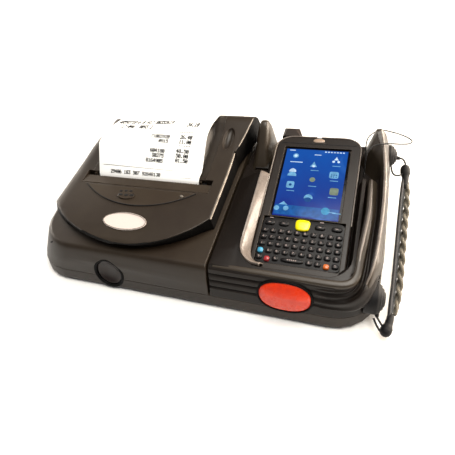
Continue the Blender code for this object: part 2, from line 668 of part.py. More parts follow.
def plate(name, points, start, thickness, axis, finish=None, parent=None):
    """A flat outline given in the plane across an axis, thickened along that axis from start."""
    curve = bpy.data.curves.new(name, "CURVE")
    curve.dimensions = "2D"
    curve.fill_mode = "BOTH"
    curve.extrude = thickness / 2
    spline = curve.splines.new("POLY")
    spline.points.add(len(points) - 1)
    for slot, point in zip(spline.points, points):
        slot.co = (point[0], point[1], 0, 1)
    spline.use_cyclic_u = True
    holder = bpy.data.objects.new(name + "_outline", curve)
    parts_collection.objects.link(holder)
    bpy.context.view_layer.update()
    evaluated = holder.evaluated_get(bpy.context.evaluated_depsgraph_get())
    flat = bpy.data.meshes.new_from_object(evaluated)
    bpy.data.objects.remove(holder, do_unlink=True)
    work = bmesh.new()
    work.from_mesh(flat)
    bpy.data.meshes.remove(flat)
    bmesh.ops.remove_doubles(work, verts=work.verts, dist=1e-7)
    middle = start + thickness / 2
    for vertex in work.verts:
        a, b, c = vertex.co
        vertex.co = {"X": (middle + c, a, b), "Y": (a, middle - c, b), "Z": (a, b, middle + c)}[axis]
    return from_bmesh(name, work, finish, parent)


def tube(name, points, diameter, finish, resolution=2, parent=None, cyclic=False):
    """A round cord along points, with its ends filled."""
    curve = bpy.data.curves.new(name, "CURVE")
    curve.dimensions = "3D"
    curve.bevel_depth = diameter / 2
    curve.bevel_resolution = resolution
    curve.use_fill_caps = True
    spline = curve.splines.new("POLY")
    spline.points.add(len(points) - 1)
    for slot, point in zip(spline.points, points):
        slot.co = (*point, 1)
    spline.use_cyclic_u = cyclic
    curve.materials.append(material(finish))
    item = bpy.data.objects.new(name, curve)
    parts_collection.objects.link(item)
    item.parent = parent or unit_root
    return item


def turned(name, profile, origin, axis_turn, finish, steps=TURN_STEPS):
    """A profile of radius and height points, top to bottom, turned round a local Z axis."""
    mesh = bpy.data.meshes.new(name)
    mesh.from_pydata([(r, 0, z) for r, z in profile], [(i, i + 1) for i in range(len(profile) - 1)], [])
    item = place(name, mesh, finish)
    item.location = origin
    item.rotation_euler = axis_turn
    screw = item.modifiers.new("turn", "SCREW")
    screw.steps = steps
    screw.render_steps = steps
    screw.use_merge_vertices = True
    screw.merge_threshold = 0.00002
    return item


def combine(target, other, operation="DIFFERENCE"):
    """Cut, join or intersect a part with another object, which becomes a hidden guide."""
    step = target.modifiers.new(operation.lower(), "BOOLEAN")
    step.operation = operation
    step.solver = "EXACT"
    step.object = other
    if other.name not in cutters_collection.objects:
        parts_collection.objects.unlink(other)
        cutters_collection.objects.link(other)
        other.hide_render = True
        other.display_type = "WIRE"
    return target


def cut(target, *others):
    for other in others:
        combine(target, other, "DIFFERENCE")
    return target


def join(target, *others):
    for other in others:
        combine(target, other, "UNION")
    return target


def interpolate(table, value):
    """Straight-line value from a table of rising (place, value) rows."""
    if value <= table[0][0]:
        return table[0][1]
    for (a, low), (b, high) in zip(table, table[1:]):
        if value <= b:
            return low + (high - low) * (value - a) / (b - a)
    return table[-1][1]


def smooth_route(points, steps):
    """Points along a smooth curve through the given points, the ends included."""
    points = [Vector(point) for point in points]
    padded = [points[0] * 2 - points[1], *points, points[-1] * 2 - points[-2]]
    route = []
    for a, b, c, d in zip(padded, padded[1:], padded[2:], padded[3:]):
        for i in range(steps):
            t = i / steps
            route.append(
                (b * 2 + (c - a) * t + (a * 2 - b * 5 + c * 4 - d) * t * t
                 + (b * 3 - a - c * 3 + d) * t ** 3) / 2
            )
    route.append(points[-1])
    return route


def top_height(y):
    """Height of the printer's top at a place along the depth."""
    share = (y + CASE_DEPTH / 2) / CASE_DEPTH
    return interpolate(TOP_PROFILE_SHARES, share) * COVER_PEAK


def profile_stations(start, end):
    """Every place where the top profile bends between two places, with both ends."""
    bends = [share * CASE_DEPTH - CASE_DEPTH / 2 for share, _ in TOP_PROFILE_SHARES]
    return [start] + [y for y in bends if start + GAP < y < end - GAP] + [end]


def housing_top(y):
    """Height of the flat top of the printer's shell, which rises a little towards the back."""
    return HOUSING_FRONT_TOP + (y - CASE_FRONT - HOUSING_TOP_INSET) * HOUSING_RISE_RATIO


def front_face(z):
    """Place of the leaning front face at a height."""
    return -CASE_DEPTH / 2 + (z - FOOT_HEIGHT) * FRONT_LEAN_RATIO


def rounded(left, right, front, rear, radii, z):
    """Rounded outline at a height; radii run front left, front right, rear right, rear left."""
    corners = ((left, front, 1, 1, 2), (right, front, -1, 1, 3), (right, rear, -1, -1, 0),
               (left, rear, 1, -1, 1))
    points = []
    for (x, y, dx, dy, quarter), radius in zip(corners, radii):
        for i in range(CORNER_STEPS + 1):
            angle = math.pi / 2 * (quarter + i / CORNER_STEPS)
            points.append((x + dx * radius + radius * math.cos(angle),
                           y + dy * radius + radius * math.sin(angle), z))
    return points


def tilted(rings, low, high):
    """Raise each ring's points so that the ring at the high level follows the rising top."""
    moved = []
    for ring in rings:
        level = (ring[0][2] - low) / (high - low)
        rise = max(0, level)
        moved.append([(x, y, z + (housing_top(y) - HOUSING_FRONT_TOP) * rise) for x, y, z in ring])
    return moved


def shell_rings(inset, bottom, top, left, right, printer_side):
    """Outline rings of one upper shell, drawn in by an inset, from its bottom to its top."""
    edge = EDGE_ROUND
    levels = [(bottom, 0), (SEAM_Z + (top - SEAM_Z) / 2, 0), (top - edge, 0),
              (top - edge / 3, edge / 3), (top, edge)]
    rings = []
    for z, drawn in levels:
        lean = max(0, z - SEAM_Z)
        drawn_in = inset + drawn
        side = left + lean * FLANK_LEAN_RATIO if printer_side else left
        near = DIVIDE_X if not printer_side else right
        radius_left = max(FRONT_LEFT_RADIUS - drawn_in, SQUARE_CORNER) if printer_side else SQUARE_CORNER
        radius_right = max(FRONT_RIGHT_RADIUS - drawn_in, SQUARE_CORNER)
        rear_radius = max(REAR_RADIUS - drawn_in, SQUARE_CORNER)
        if printer_side:
            radii = (radius_left, SQUARE_CORNER, SQUARE_CORNER, rear_radius)
            x_low, x_high = side + drawn_in, near - inset - drawn / 3
        else:
            radii = (SQUARE_CORNER, radius_right, rear_radius, SQUARE_CORNER)
            x_low, x_high = near + inset + drawn / 3, right - drawn_in
        rings.append(rounded(x_low, x_high, front_face(z) + drawn_in,
                             CASE_DEPTH / 2 - lean * REAR_LEAN_RATIO - drawn_in, radii, z))
    return rings


def build_base():
    """The tray that closes both halves from below, with its feet, screws and battery."""
    half = CASE_LENGTH / 2
    radii = (FRONT_LEFT_RADIUS, FRONT_RIGHT_RADIUS, REAR_RADIUS, REAR_RADIUS)

    def ring(z, inset):
        return rounded(-half + inset, half - inset, front_face(z) + inset, CASE_DEPTH / 2 - inset,
                       [radius - inset for radius in radii], z)

    top = SEAM_Z
    base = loft("lower_housing", [ring(FOOT_HEIGHT, BASE_EDGE_ROUND),
                                  ring(FOOT_HEIGHT + BASE_EDGE_ROUND / 2, BASE_EDGE_ROUND / 4),
                                  ring(FOOT_HEIGHT + BASE_EDGE_ROUND, 0), ring(top, 0)],
                "base_plastic")
    floor = FOOT_HEIGHT + WALL
    hollow = loft("base_hollow", [ring(floor, WALL + BASE_EDGE_ROUND), ring(top + OVERRUN, WALL)])
    cut(base, hollow)

    battery_rear = frame_front() - BATTERY_FRAME_GAP
    battery_low = (BATTERY_LEFT - BATTERY_MARGIN, BATTERY_FRONT - BATTERY_MARGIN)
    battery_high = (BATTERY_LEFT + BATTERY_LENGTH + BATTERY_MARGIN,
                    battery_rear + BATTERY_MARGIN)
    cut(base, box("battery_hatch", (*battery_low, 0), (*battery_high, floor + OVERRUN)))
    box("battery_cover", (battery_low[0] + GAP, battery_low[1] + GAP, FOOT_HEIGHT),
        (battery_high[0] - GAP, battery_high[1] - GAP, floor), "base_plastic", edge=GAP)
    box("battery_pack", (BATTERY_LEFT, BATTERY_FRONT, floor + GAP),
        (BATTERY_LEFT + BATTERY_LENGTH, battery_rear, floor + GAP + BATTERY_HEIGHT),
        "battery_black", edge=BATTERY_EDGE)

    for corner, side_x, side_y in CORNERS:
        x, y = side_x * (half - FOOT_INSET_X), side_y * (CASE_DEPTH / 2 - FOOT_INSET_Y)
        rod("foot_" + corner, (x, y, 0), (x, y, FOOT_HEIGHT - GAP), FOOT_RADIUS, "rubber",
            steps=SMALL_TURN_STEPS)
        x, y = side_x * (half - SCREW_INSET_X), side_y * (CASE_DEPTH / 2 - SCREW_INSET_Y)
        seat_top = FOOT_HEIGHT + SCREW_SEAT_DEPTH
        cut(base, rod("screw_seat", (x, y, 0), (x, y, seat_top), SCREW_HEAD_RADIUS + GAP,
                      steps=SMALL_TURN_STEPS))
        rod("screw_" + corner, (x, y, seat_top - SCREW_HEAD_HEIGHT - GAP), (x, y, seat_top - GAP),
            SCREW_HEAD_RADIUS, "steel", steps=SMALL_TURN_STEPS)
    return base


def build_board(base):
    """The main board on its posts, with its larger components."""
    floor = FOOT_HEIGHT + WALL
    depth = frame_front() - BOARD_FRAME_GAP - BOARD_FRONT
    for x in (BOARD_LEFT + BOARD_POST_INSET, BOARD_LEFT + BOARD_LENGTH - BOARD_POST_INSET):
        for y in (BOARD_FRONT + BOARD_POST_INSET, BOARD_FRONT + depth - BOARD_POST_INSET):
            join(base, rod("board_post", (x, y, floor - WALL / 2), (x, y, BOARD_Z - GAP),
                           BOARD_POST_RADIUS, steps=SMALL_TURN_STEPS))
    top = BOARD_Z + BOARD_THICKNESS
    board = box("main_board", (BOARD_LEFT, BOARD_FRONT, BOARD_Z),
                (BOARD_LEFT + BOARD_LENGTH, BOARD_FRONT + depth, top), "board_green")
    for column in range(3):
        x = BOARD_LEFT + BOARD_LENGTH * (column + 1) / 4 - CHIP_SIDE / 2
        y = BOARD_FRONT + depth / 2
        join(board, box("chip", (x, y, BOARD_Z), (x + CHIP_SIDE, y + CHIP_SIDE, top + CHIP_HEIGHT)))
    for column in range(2):
        x = BOARD_LEFT + BOARD_LENGTH * (column * 2 + 1) / 4 - PLUG_LENGTH / 2
        y = BOARD_FRONT + BOARD_POST_INSET
        join(board, box("plug", (x, y, BOARD_Z), (x + PLUG_LENGTH, y + PLUG_DEPTH, top + PLUG_HEIGHT)))


def build_printer_housing():
    """The printer's upper shell, open below and where the cover and the roll are."""
    left, right = -CASE_LENGTH / 2, DIVIDE_X - DIVIDE_GAP
    outer = shell_rings(0, SEAM_Z + GAP, HOUSING_FRONT_TOP, left, right, True)
    inner = shell_rings(WALL, SEAM_Z - OVERRUN, HOUSING_FRONT_TOP - WALL, left, right, True)
    shell = loft("printer_housing", tilted(outer, SEAM_Z, HOUSING_FRONT_TOP), "printer_plastic")
    cut(shell, loft("printer_hollow", tilted(inner, SEAM_Z, HOUSING_FRONT_TOP - WALL)))
    bay_front = SLOT_FRONT_Y - WALL * 3
    low = (DOOR_LEFT - WALL, bay_front, HOUSING_FRONT_TOP - WALL * 3)
    cut(shell, box("paper_bay", low, (DOOR_RIGHT + WALL, COVER_REAR - WALL * 3, COVER_PEAK)))
    notch = HINGE_Z - KNUCKLE_RADIUS - SLIP * 3
    cut(shell, box("hinge_notch", (low[0], bay_front, notch), (DOOR_RIGHT + WALL, CASE_DEPTH, COVER_PEAK)))
    return shell


def lip_chord(y, inset, half_chord, sag):
    """Half width of a circular arc of given half chord and sag at a place behind its apex."""
    radius = (half_chord ** 2 + sag ** 2) / (2 * sag)
    depth = min(max(y - LIP_APEX_Y - inset, 0), sag)
    return math.sqrt(max(radius ** 2 - (radius - depth) ** 2, 0))


def cover_section(y, inset, bottom, drop):
    """Section of the top cover across the depth at one place, bottom left first."""
    share = min(1, max(0, (y - LIP_APEX_Y) / LIP_SAG))
    left_half = lip_chord(y, inset, LIP_APEX_X - COVER_LEFT, LIP_SAG)
    right_half = lip_chord(y, inset, COVER_RIGHT - LIP_APEX_X, LIP_SAG)
    left = LIP_APEX_X - left_half + inset * share
    right = LIP_APEX_X + right_half - inset * share
    top = top_height(y) - drop
    height = top - bottom
    width = right - left
    lean = height * FLANK_LEAN_RATIO * share ** 2
    right_lean = height * COVER_RIGHT_LEAN_RATIO * share
    soft = min(COVER_EDGE_ROUND, width / 5, height / 2)
    crisp = min(COVER_RIGHT_ROUND, width / 6, height / 3)
    slope = lean / height
    return [
        (left, y, bottom),
        (left + (height - soft) * slope, y, top - soft),
        (left + (height - soft) * slope + soft * 0.35, y, top - soft * 0.3),
        (left + lean + soft, y, top),
        (right - right_lean - crisp, y, top),
        (right - right_lean - crisp * 0.3, y, top - crisp * 0.3),
        (right - right_lean, y, top - crisp),
        (right, y, bottom),
    ]


def cover_stations(front, rear):
    """Places of the cover's sections: close together round the apex of its lip."""
    arc = [front + (LIP_APEX_Y + LIP_SAG - front) * (i / CRESCENT_STEPS) ** 2
           for i in range(1, CRESCENT_STEPS + 1)]
    return [front + GAP, *arc, *profile_stations(arc[-1], rear)[1:]]


def build_cover():
    """The raised top cover: crescent lip, two cheeks and the opening between them."""
    sections = [cover_section(y, 0, housing_top(y) + GAP, 0)
                for y in cover_stations(LIP_APEX_Y, COVER_REAR)]
    cover = loft("top_cover", sections, "printer_plastic")
    shoulder_path = profile_stations(SHOULDER_FRONT, COVER_REAR)
    outline = [(y, top_height(y) - SHOULDER_STEP) for y in shoulder_path]
    bottom = housing_top(COVER_REAR) + SHOULDER_RISE
    outline += [(COVER_REAR, bottom), (SHOULDER_FRONT, bottom)]
    start = COVER_RIGHT - WALL * 2
    join(cover, plate("cover_shoulder", outline, start, SHOULDER_RIGHT - start, "X"))

    inner = [cover_section(y, WALL, housing_top(y) - OVERRUN, WALL)
             for y in cover_stations(LIP_APEX_Y + WALL, COVER_REAR - WALL)]
    hollow = loft("cover_hollow", inner)
    keep = box("cover_keep", (SLOT_LEFT - WALL, SLOT_FRONT_Y - WALL, 0),
               (SLOT_RIGHT + WALL, COVER_REAR + OVERRUN, COVER_PEAK * 2))
    cut(hollow, keep)
    cut(cover, hollow)
    cut(cover, box("strip_slot", (SLOT_LEFT, SLOT_FRONT_Y, 0),
                   (SLOT_RIGHT, DOOR_FRONT + GAP, COVER_PEAK * 2)))
    cut(cover, box("door_slot", (DOOR_LEFT - SLIP, DOOR_FRONT, 0),
                   (DOOR_RIGHT + SLIP, COVER_REAR + OVERRUN, COVER_PEAK * 2)))
    cut(cover, box("frame_bay", (frame_left() - SLIP, frame_front() - SLIP, 0),
                   (gear_start(), SLOT_FRONT_Y + OVERRUN, PLATEN_Z + HEAD_HEIGHT / 2 + GAP * 2)))
    pin_hole = rod("pin_hole", (DOOR_LEFT - PIN_OVERHANG - GAP, HINGE_Y, HINGE_Z),
                   (DOOR_RIGHT + PIN_OVERHANG + GAP, HINGE_Y, HINGE_Z), HINGE_PIN_RADIUS + GAP,
                   steps=SMALL_TURN_STEPS)
    cut(cover, pin_hole)
    scoop_work = bmesh.new()
    bmesh.ops.create_uvsphere(scoop_work, u_segments=SMALL_TURN_STEPS, v_segments=8, radius=1)
    size = Matrix.Diagonal((SCOOP_HALF_WIDTH, SCOOP_HALF_LENGTH, SCOOP_DEPTH, 1))
    seat = Matrix.Translation((SCOOP_X, SCOOP_Y, top_height(SCOOP_Y)))
    lean = math.atan2(top_height(SCOOP_Y + SCOOP_HALF_LENGTH) - top_height(SCOOP_Y - SCOOP_HALF_LENGTH),
                      SCOOP_HALF_LENGTH * 2)
    bmesh.ops.transform(scoop_work, verts=scoop_work.verts,
                        matrix=seat @ Matrix.Rotation(lean, 4, "X") @ size)
    cut(cover, from_bmesh("finger_scoop", scoop_work))
    return cover


def surface_plate(name, half_width_at, front, rear, centre_x, raise_by, sink, finish, steps=8):
    """A thin plate that follows the printer's top inside a round outline."""
    sections = []
    for i in range(steps + 1):
        swing = 0.5 - 0.5 * math.cos(math.pi * i / steps)
        y = front + (rear - front) * swing
        half_width = half_width_at(y)
        top, bottom = top_height(y) + raise_by, top_height(y) - sink
        sections.append([(centre_x - half_width, y, bottom), (centre_x - half_width, y, top),
                         (centre_x + half_width, y, top), (centre_x + half_width, y, bottom)])
    return loft(name, sections, finish)


def oval_chord(centre_y, half_width, half_depth):
    """Half width of an oval at a place along the depth, never quite nothing at its ends."""
    def half_width_at(y):
        share = min(1, abs(y - centre_y) / half_depth)
        return half_width * max(math.sqrt(1 - share * share), 0.12)
    return half_width_at


def panel_chord(grow):
    """Half width of the crescent panel at a place, grown all round."""
    sag, half_chord = PANEL_SAG + grow, PANEL_HALF_CHORD + grow
    radius = (half_chord ** 2 + sag ** 2) / (2 * sag)

    def half_width_at(y):
        depth = min(max(y - (PANEL_BACK_Y - sag), 0), sag)
        return math.sqrt(max(radius ** 2 - (radius - depth) ** 2, (half_chord * 0.06) ** 2))
    return half_width_at


def build_cover_fittings(cover):
    """Status panel with its feed button and lamp, the label plate and the tear bar."""
    ease = PANEL_CLEARANCE
    seat = surface_plate("panel_seat", panel_chord(ease), PANEL_BACK_Y - PANEL_SAG - ease,
                         PANEL_BACK_Y + GAP, PAPER_CENTRE_X, OVERRUN, PANEL_SINK + PANEL_SEAT, None)
    cut(cover, seat)
    panel = surface_plate("status_panel", panel_chord(0), PANEL_BACK_Y - PANEL_SAG, PANEL_BACK_Y,
                          PAPER_CENTRE_X, PANEL_RAISE, PANEL_SINK, "panel_plastic")
    feed_chord = oval_chord(FEED_Y, FEED_HALF_WIDTH + SLIP, FEED_HALF_DEPTH + SLIP)
    cut(panel, surface_plate("feed_hole", feed_chord, FEED_Y - FEED_HALF_DEPTH - SLIP,
                             FEED_Y + FEED_HALF_DEPTH + SLIP, FEED_X, OVERRUN, OVERRUN, None))
    cut(panel, rod("lamp_hole", (LED_X, LED_Y, 0), (LED_X, LED_Y, COVER_PEAK), LED_RADIUS + GAP,
                   steps=SMALL_TURN_STEPS))
    surface_plate("feed_button", oval_chord(FEED_Y, FEED_HALF_WIDTH, FEED_HALF_DEPTH),
                  FEED_Y - FEED_HALF_DEPTH, FEED_Y + FEED_HALF_DEPTH, FEED_X, FEED_RAISE,
                  PANEL_SINK + PANEL_SEAT - FEED_BUTTON_TRAVEL - GAP, "panel_plastic")
    lamp_top = top_height(LED_Y) + PANEL_RAISE + LED_RAISE
    rod("status_lamp", (LED_X, LED_Y, top_height(LED_Y) - PANEL_SINK),
        (LED_X, LED_Y, lamp_top), LED_RADIUS, "lamp_grey", steps=SMALL_TURN_STEPS,
        end_radius=LED_RADIUS - LED_RAISE)
    label_seat = oval_chord(LABEL_Y, LABEL_HALF_WIDTH + GAP, LABEL_HALF_DEPTH + GAP)
    cut(cover, surface_plate("label_seat", label_seat, LABEL_Y - LABEL_HALF_DEPTH - GAP,
                             LABEL_Y + LABEL_HALF_DEPTH + GAP, LABEL_X, OVERRUN, LABEL_SINK + GAP,
                             None, 12))
    surface_plate("label_plate", oval_chord(LABEL_Y, LABEL_HALF_WIDTH, LABEL_HALF_DEPTH),
                  LABEL_Y - LABEL_HALF_DEPTH, LABEL_Y + LABEL_HALF_DEPTH, LABEL_X, LABEL_RAISE,
                  LABEL_SINK, "label_white", 12)

    left, right = SLOT_LEFT + SLIP, SLOT_RIGHT - SLIP
    front, rear = SLOT_FRONT_Y + SLIP, TEAR_BAR_REAR
    bar_top = top_height(SLOT_FRONT_Y)
    teeth = int((right - left) / TEAR_TOOTH_PITCH)
    pitch = (right - left) / teeth
    outline = [(left, front), (right, front)]
    for i in range(teeth, 0, -1):
        outline += [(left + pitch * i, rear - TEAR_TOOTH_DEPTH), (left + pitch * (i - 0.5), rear)]
    outline.append((left, rear - TEAR_TOOTH_DEPTH))
    plate("tear_bar", outline, bar_top - TEAR_BAR_THICKNESS, TEAR_BAR_THICKNESS, "Z", "panel_plastic")


def curve_plate(name, path, thickness, start, width, finish):
    """A bent sheet: a path across the depth thickened inwards, then drawn along the width."""
    inner = []
    for i, (y, z) in enumerate(path):
        before, after = path[max(i - 1, 0)], path[min(i + 1, len(path) - 1)]
        dy, dz = after[0] - before[0], after[1] - before[1]
        length = math.hypot(dy, dz)
        inner.append((y + dz / length * thickness, z - dy / length * thickness))
    return plate(name, path + inner[::-1], start, width, "X", finish)


def build_door():
    """The paper door, its hinge pin, and the platen and bushes that it carries."""
    path = [(y, top_height(y)) for y in profile_stations(DOOR_FRONT, HINGE_Y)]
    path += [(DOOR_BACK_Y - GAP * 4, COVER_PEAK * 0.93), (DOOR_BACK_Y, COVER_PEAK * 0.84),
             (DOOR_BACK_Y, HINGE_Z - KNUCKLE_RADIUS / 2)]
    door = curve_plate("paper_door", path, DOOR_WALL, DOOR_LEFT, DOOR_RIGHT - DOOR_LEFT,
                       "printer_plastic")
    for start in (DOOR_LEFT + KNUCKLE_INSET, DOOR_RIGHT - KNUCKLE_INSET - KNUCKLE_LENGTH):
        join(door, rod("knuckle", (start, HINGE_Y, HINGE_Z), (start + KNUCKLE_LENGTH, HINGE_Y, HINGE_Z),
                       KNUCKLE_RADIUS, steps=SMALL_TURN_STEPS))
    cut(door, rod("knuckle_bore", (DOOR_LEFT - OVERRUN, HINGE_Y, HINGE_Z),
                  (DOOR_RIGHT + OVERRUN, HINGE_Y, HINGE_Z), HINGE_PIN_RADIUS + GAP,
                  steps=SMALL_TURN_STEPS))
    rod("door_hinge_pin", (DOOR_LEFT - PIN_OVERHANG, HINGE_Y, HINGE_Z),
        (DOOR_RIGHT + PIN_OVERHANG, HINGE_Y, HINGE_Z), HINGE_PIN_RADIUS, "steel",
        steps=SMALL_TURN_STEPS)

    for side, start in (("left", bracket_left()), ("right", bracket_right())):
        end = start + BRACKET_THICKNESS
        join(door, box("platen_bracket", (start, BRACKET_FRONT, BRACKET_BOTTOM),
                       (end, BRACKET_REAR, top_height(DOOR_FRONT) - DOOR_WALL / 2)))
        cut(door, rod("bush_bore", (start - OVERRUN, PLATEN_Y, PLATEN_Z),
                      (end + OVERRUN, PLATEN_Y, PLATEN_Z), BUSH_RADIUS + GAP, steps=SMALL_TURN_STEPS))
        bush = rod("platen_bush_" + side, (start, PLATEN_Y, PLATEN_Z), (end, PLATEN_Y, PLATEN_Z),
                   BUSH_RADIUS, "brass", steps=SMALL_TURN_STEPS)
        cut(bush, rod("bush_hole", (start - OVERRUN, PLATEN_Y, PLATEN_Z),
                      (end + OVERRUN, PLATEN_Y, PLATEN_Z), PLATEN_SHAFT_RADIUS + GAP,
                      steps=SMALL_TURN_STEPS))
    return door


def bracket_left():
    """Left face of the door's left platen bracket."""
    return DOOR_LEFT + BRACKET_INSET


def bracket_right():
    """Left face of the door's right platen bracket, inside the gear's place."""
    return DOOR_RIGHT - GAP - GEAR_THICKNESS - GEAR_SIDE_GAP - BRACKET_THICKNESS


def gear_start():
    """Left face of every gear."""
    return bracket_right() + BRACKET_THICKNESS + GEAR_SIDE_GAP


def idler_centre():
    """Place of the idler's axis below the platen, at the pair's centre distance."""
    reach = GEAR_MODULE * (PLATEN_TEETH + IDLER_TEETH) / 2 + MESH_EASE
    return IDLER_Y, PLATEN_Z - math.sqrt(reach ** 2 - (PLATEN_Y - IDLER_Y) ** 2)


def pinion_centre():
    """Place of the motor's axis below the idler, at the pair's centre distance."""
    y, z = idler_centre()
    reach = GEAR_MODULE * (IDLER_TEETH + PINION_TEETH) / 2 + MESH_EASE
    return PINION_Y, z - math.sqrt(reach ** 2 - (PINION_Y - y) ** 2)


def gear_outline(centre, teeth, phase):
    """Toothed outline round a centre, with a tooth pointing along the phase angle."""
    pitch_radius = GEAR_MODULE * teeth / 2
    root = pitch_radius - GEAR_MODULE * GEAR_DEDENDUM_SHARE
    tip = pitch_radius + GEAR_MODULE * GEAR_ADDENDUM_SHARE
    step = 2 * math.pi / teeth
    points = []
    for i in range(teeth):
        for offset, radius in ((-TOOTH_ROOT_SHARE, root), (-TOOTH_TIP_SHARE, tip),
                               (TOOTH_TIP_SHARE, tip), (TOOTH_ROOT_SHARE, root)):
            angle = phase + step * (i + offset / 2)
            points.append((centre[0] + radius * math.cos(angle), centre[1] + radius * math.sin(angle)))
    return points


def bearing(start, end):
    """Angle from one centre to another in the plane across the case's length."""
    return math.atan2(end[1] - start[1], end[0] - start[0])


def build_drive():
    """Platen with its shaft, the three gears, the idler's axle and the feed motor."""
    left, right = PAPER_CENTRE_X - PAPER_WIDTH / 2, PAPER_CENTRE_X + PAPER_WIDTH / 2
    platen = (PLATEN_Y, PLATEN_Z)
    roller = rod("platen_roller", (left - SLIP, *platen), (right + SLIP, *platen), PLATEN_RADIUS,
                 "rubber")
    cut(roller, rod("roller_bore", (left - OVERRUN, *platen), (right + OVERRUN, *platen),
                    PLATEN_SHAFT_RADIUS + GAP, steps=SMALL_TURN_STEPS))
    gear_x = gear_start()
    rod("platen_shaft", (bracket_left(), *platen), (gear_x + GEAR_THICKNESS, *platen),
        PLATEN_SHAFT_RADIUS, "steel", steps=SMALL_TURN_STEPS)
    idler, pinion = idler_centre(), pinion_centre()
    phase = bearing(platen, idler)
    platen_gear = plate("platen_gear", gear_outline(platen, PLATEN_TEETH, phase), gear_x,
                        GEAR_THICKNESS, "X", "gear_white")
    cut(platen_gear, rod("gear_bore", (gear_x - OVERRUN, *platen),
                         (gear_x + GEAR_THICKNESS + OVERRUN, *platen), PLATEN_SHAFT_RADIUS + GAP,
                         steps=SMALL_TURN_STEPS))
    idler_step = 2 * math.pi / IDLER_TEETH
    idler_phase = bearing(idler, platen) + idler_step / 2
    idler_gear = plate("idler_gear", gear_outline(idler, IDLER_TEETH, idler_phase), gear_x,
                       GEAR_THICKNESS, "X", "gear_white")
    cut(idler_gear, rod("idler_bore", (gear_x - OVERRUN, *idler),
                        (gear_x + GEAR_THICKNESS + OVERRUN, *idler), AXLE_RADIUS + GAP,
                        steps=SMALL_TURN_STEPS))
    toward = bearing(idler, pinion)
    turned_by = (toward - idler_phase) / idler_step
    pinion_step = 2 * math.pi / PINION_TEETH
    pinion_phase = bearing(pinion, idler) + pinion_step * (0.5 + turned_by)
    pinion_gear = plate("motor_pinion", gear_outline(pinion, PINION_TEETH, pinion_phase), gear_x,
                        GEAR_THICKNESS, "X", "brass")
    cheek = gear_x - GEAR_SIDE_GAP - FRAME_SHEET
    cut(pinion_gear, rod("pinion_bore", (gear_x - OVERRUN, *pinion),
                         (gear_x + GEAR_THICKNESS + OVERRUN, *pinion), MOTOR_SHAFT_RADIUS + GAP,
                         steps=SMALL_TURN_STEPS))
    rod("idler_axle", (cheek, *idler), (gear_x + GEAR_THICKNESS + GEAR_SIDE_GAP, *idler), AXLE_RADIUS,
        "steel", steps=SMALL_TURN_STEPS)
    motor = rod("feed_motor", (cheek - GAP - MOTOR_LENGTH, *pinion), (cheek - GAP, *pinion),
                MOTOR_RADIUS, "steel")
    join(motor, rod("motor_shaft", (cheek - MOTOR_LENGTH / 2, *pinion),
                    (gear_x + GEAR_THICKNESS, *pinion), MOTOR_SHAFT_RADIUS, steps=SMALL_TURN_STEPS))


def frame_left():
    """Left face of the mechanism's frame."""
    return bracket_left() - GAP - FRAME_SHEET


def frame_front():
    """Front face of the mechanism's frame, ahead of the print head's springs."""
    head_front = head_face() - HEAD_THICKNESS - GAP - SINK_THICKNESS
    return head_front - HEAD_SPRING_LENGTH - GAP * 2 - FRAME_SHEET


def build_frame(base):
    """The folded steel frame of the mechanism, on four posts."""
    gear_x = gear_start()
    cheek = gear_x - GEAR_SIDE_GAP - FRAME_SHEET
    front, left = frame_front(), frame_left()
    right = cheek + FRAME_SHEET
    frame = box("mechanism_frame", (left, front, FRAME_FLOOR_Z),
                (right, FRAME_REAR, FRAME_FLOOR_Z + FRAME_SHEET), "steel")
    join(frame, box("frame_front", (left, front, FRAME_FLOOR_Z),
                    (right, front + FRAME_SHEET, PLATEN_Z + HEAD_HEIGHT / 2)))
    for side in (left, cheek):
        join(frame, box("frame_cheek", (side, front, FRAME_FLOOR_Z),
                        (side + FRAME_SHEET, FRAME_REAR, FRAME_CHEEK_TOP)))
    idler, pinion = idler_centre(), pinion_centre()
    cut(frame, rod("axle_hole", (cheek - OVERRUN, *idler), (cheek + OVERRUN, *idler),
                   AXLE_RADIUS + GAP, steps=SMALL_TURN_STEPS))
    cut(frame, rod("shaft_hole", (cheek - OVERRUN, *pinion), (cheek + OVERRUN, *pinion),
                   MOTOR_SHAFT_RADIUS + GAP, steps=SMALL_TURN_STEPS))
    floor = FOOT_HEIGHT + WALL
    for x in (left + FRAME_POST_INSET, right - FRAME_POST_INSET):
        for y in (front + FRAME_POST_INSET, FRAME_REAR - FRAME_POST_INSET):
            join(base, rod("frame_post", (x, y, floor - WALL / 2), (x, y, FRAME_FLOOR_Z - GAP),
                           FRAME_POST_RADIUS, steps=SMALL_TURN_STEPS))
    build_head(front + FRAME_SHEET)


def head_face():
    """Place of the print head's face, just in front of the platen."""
    return PLATEN_Y - PLATEN_RADIUS - HEAD_GAP


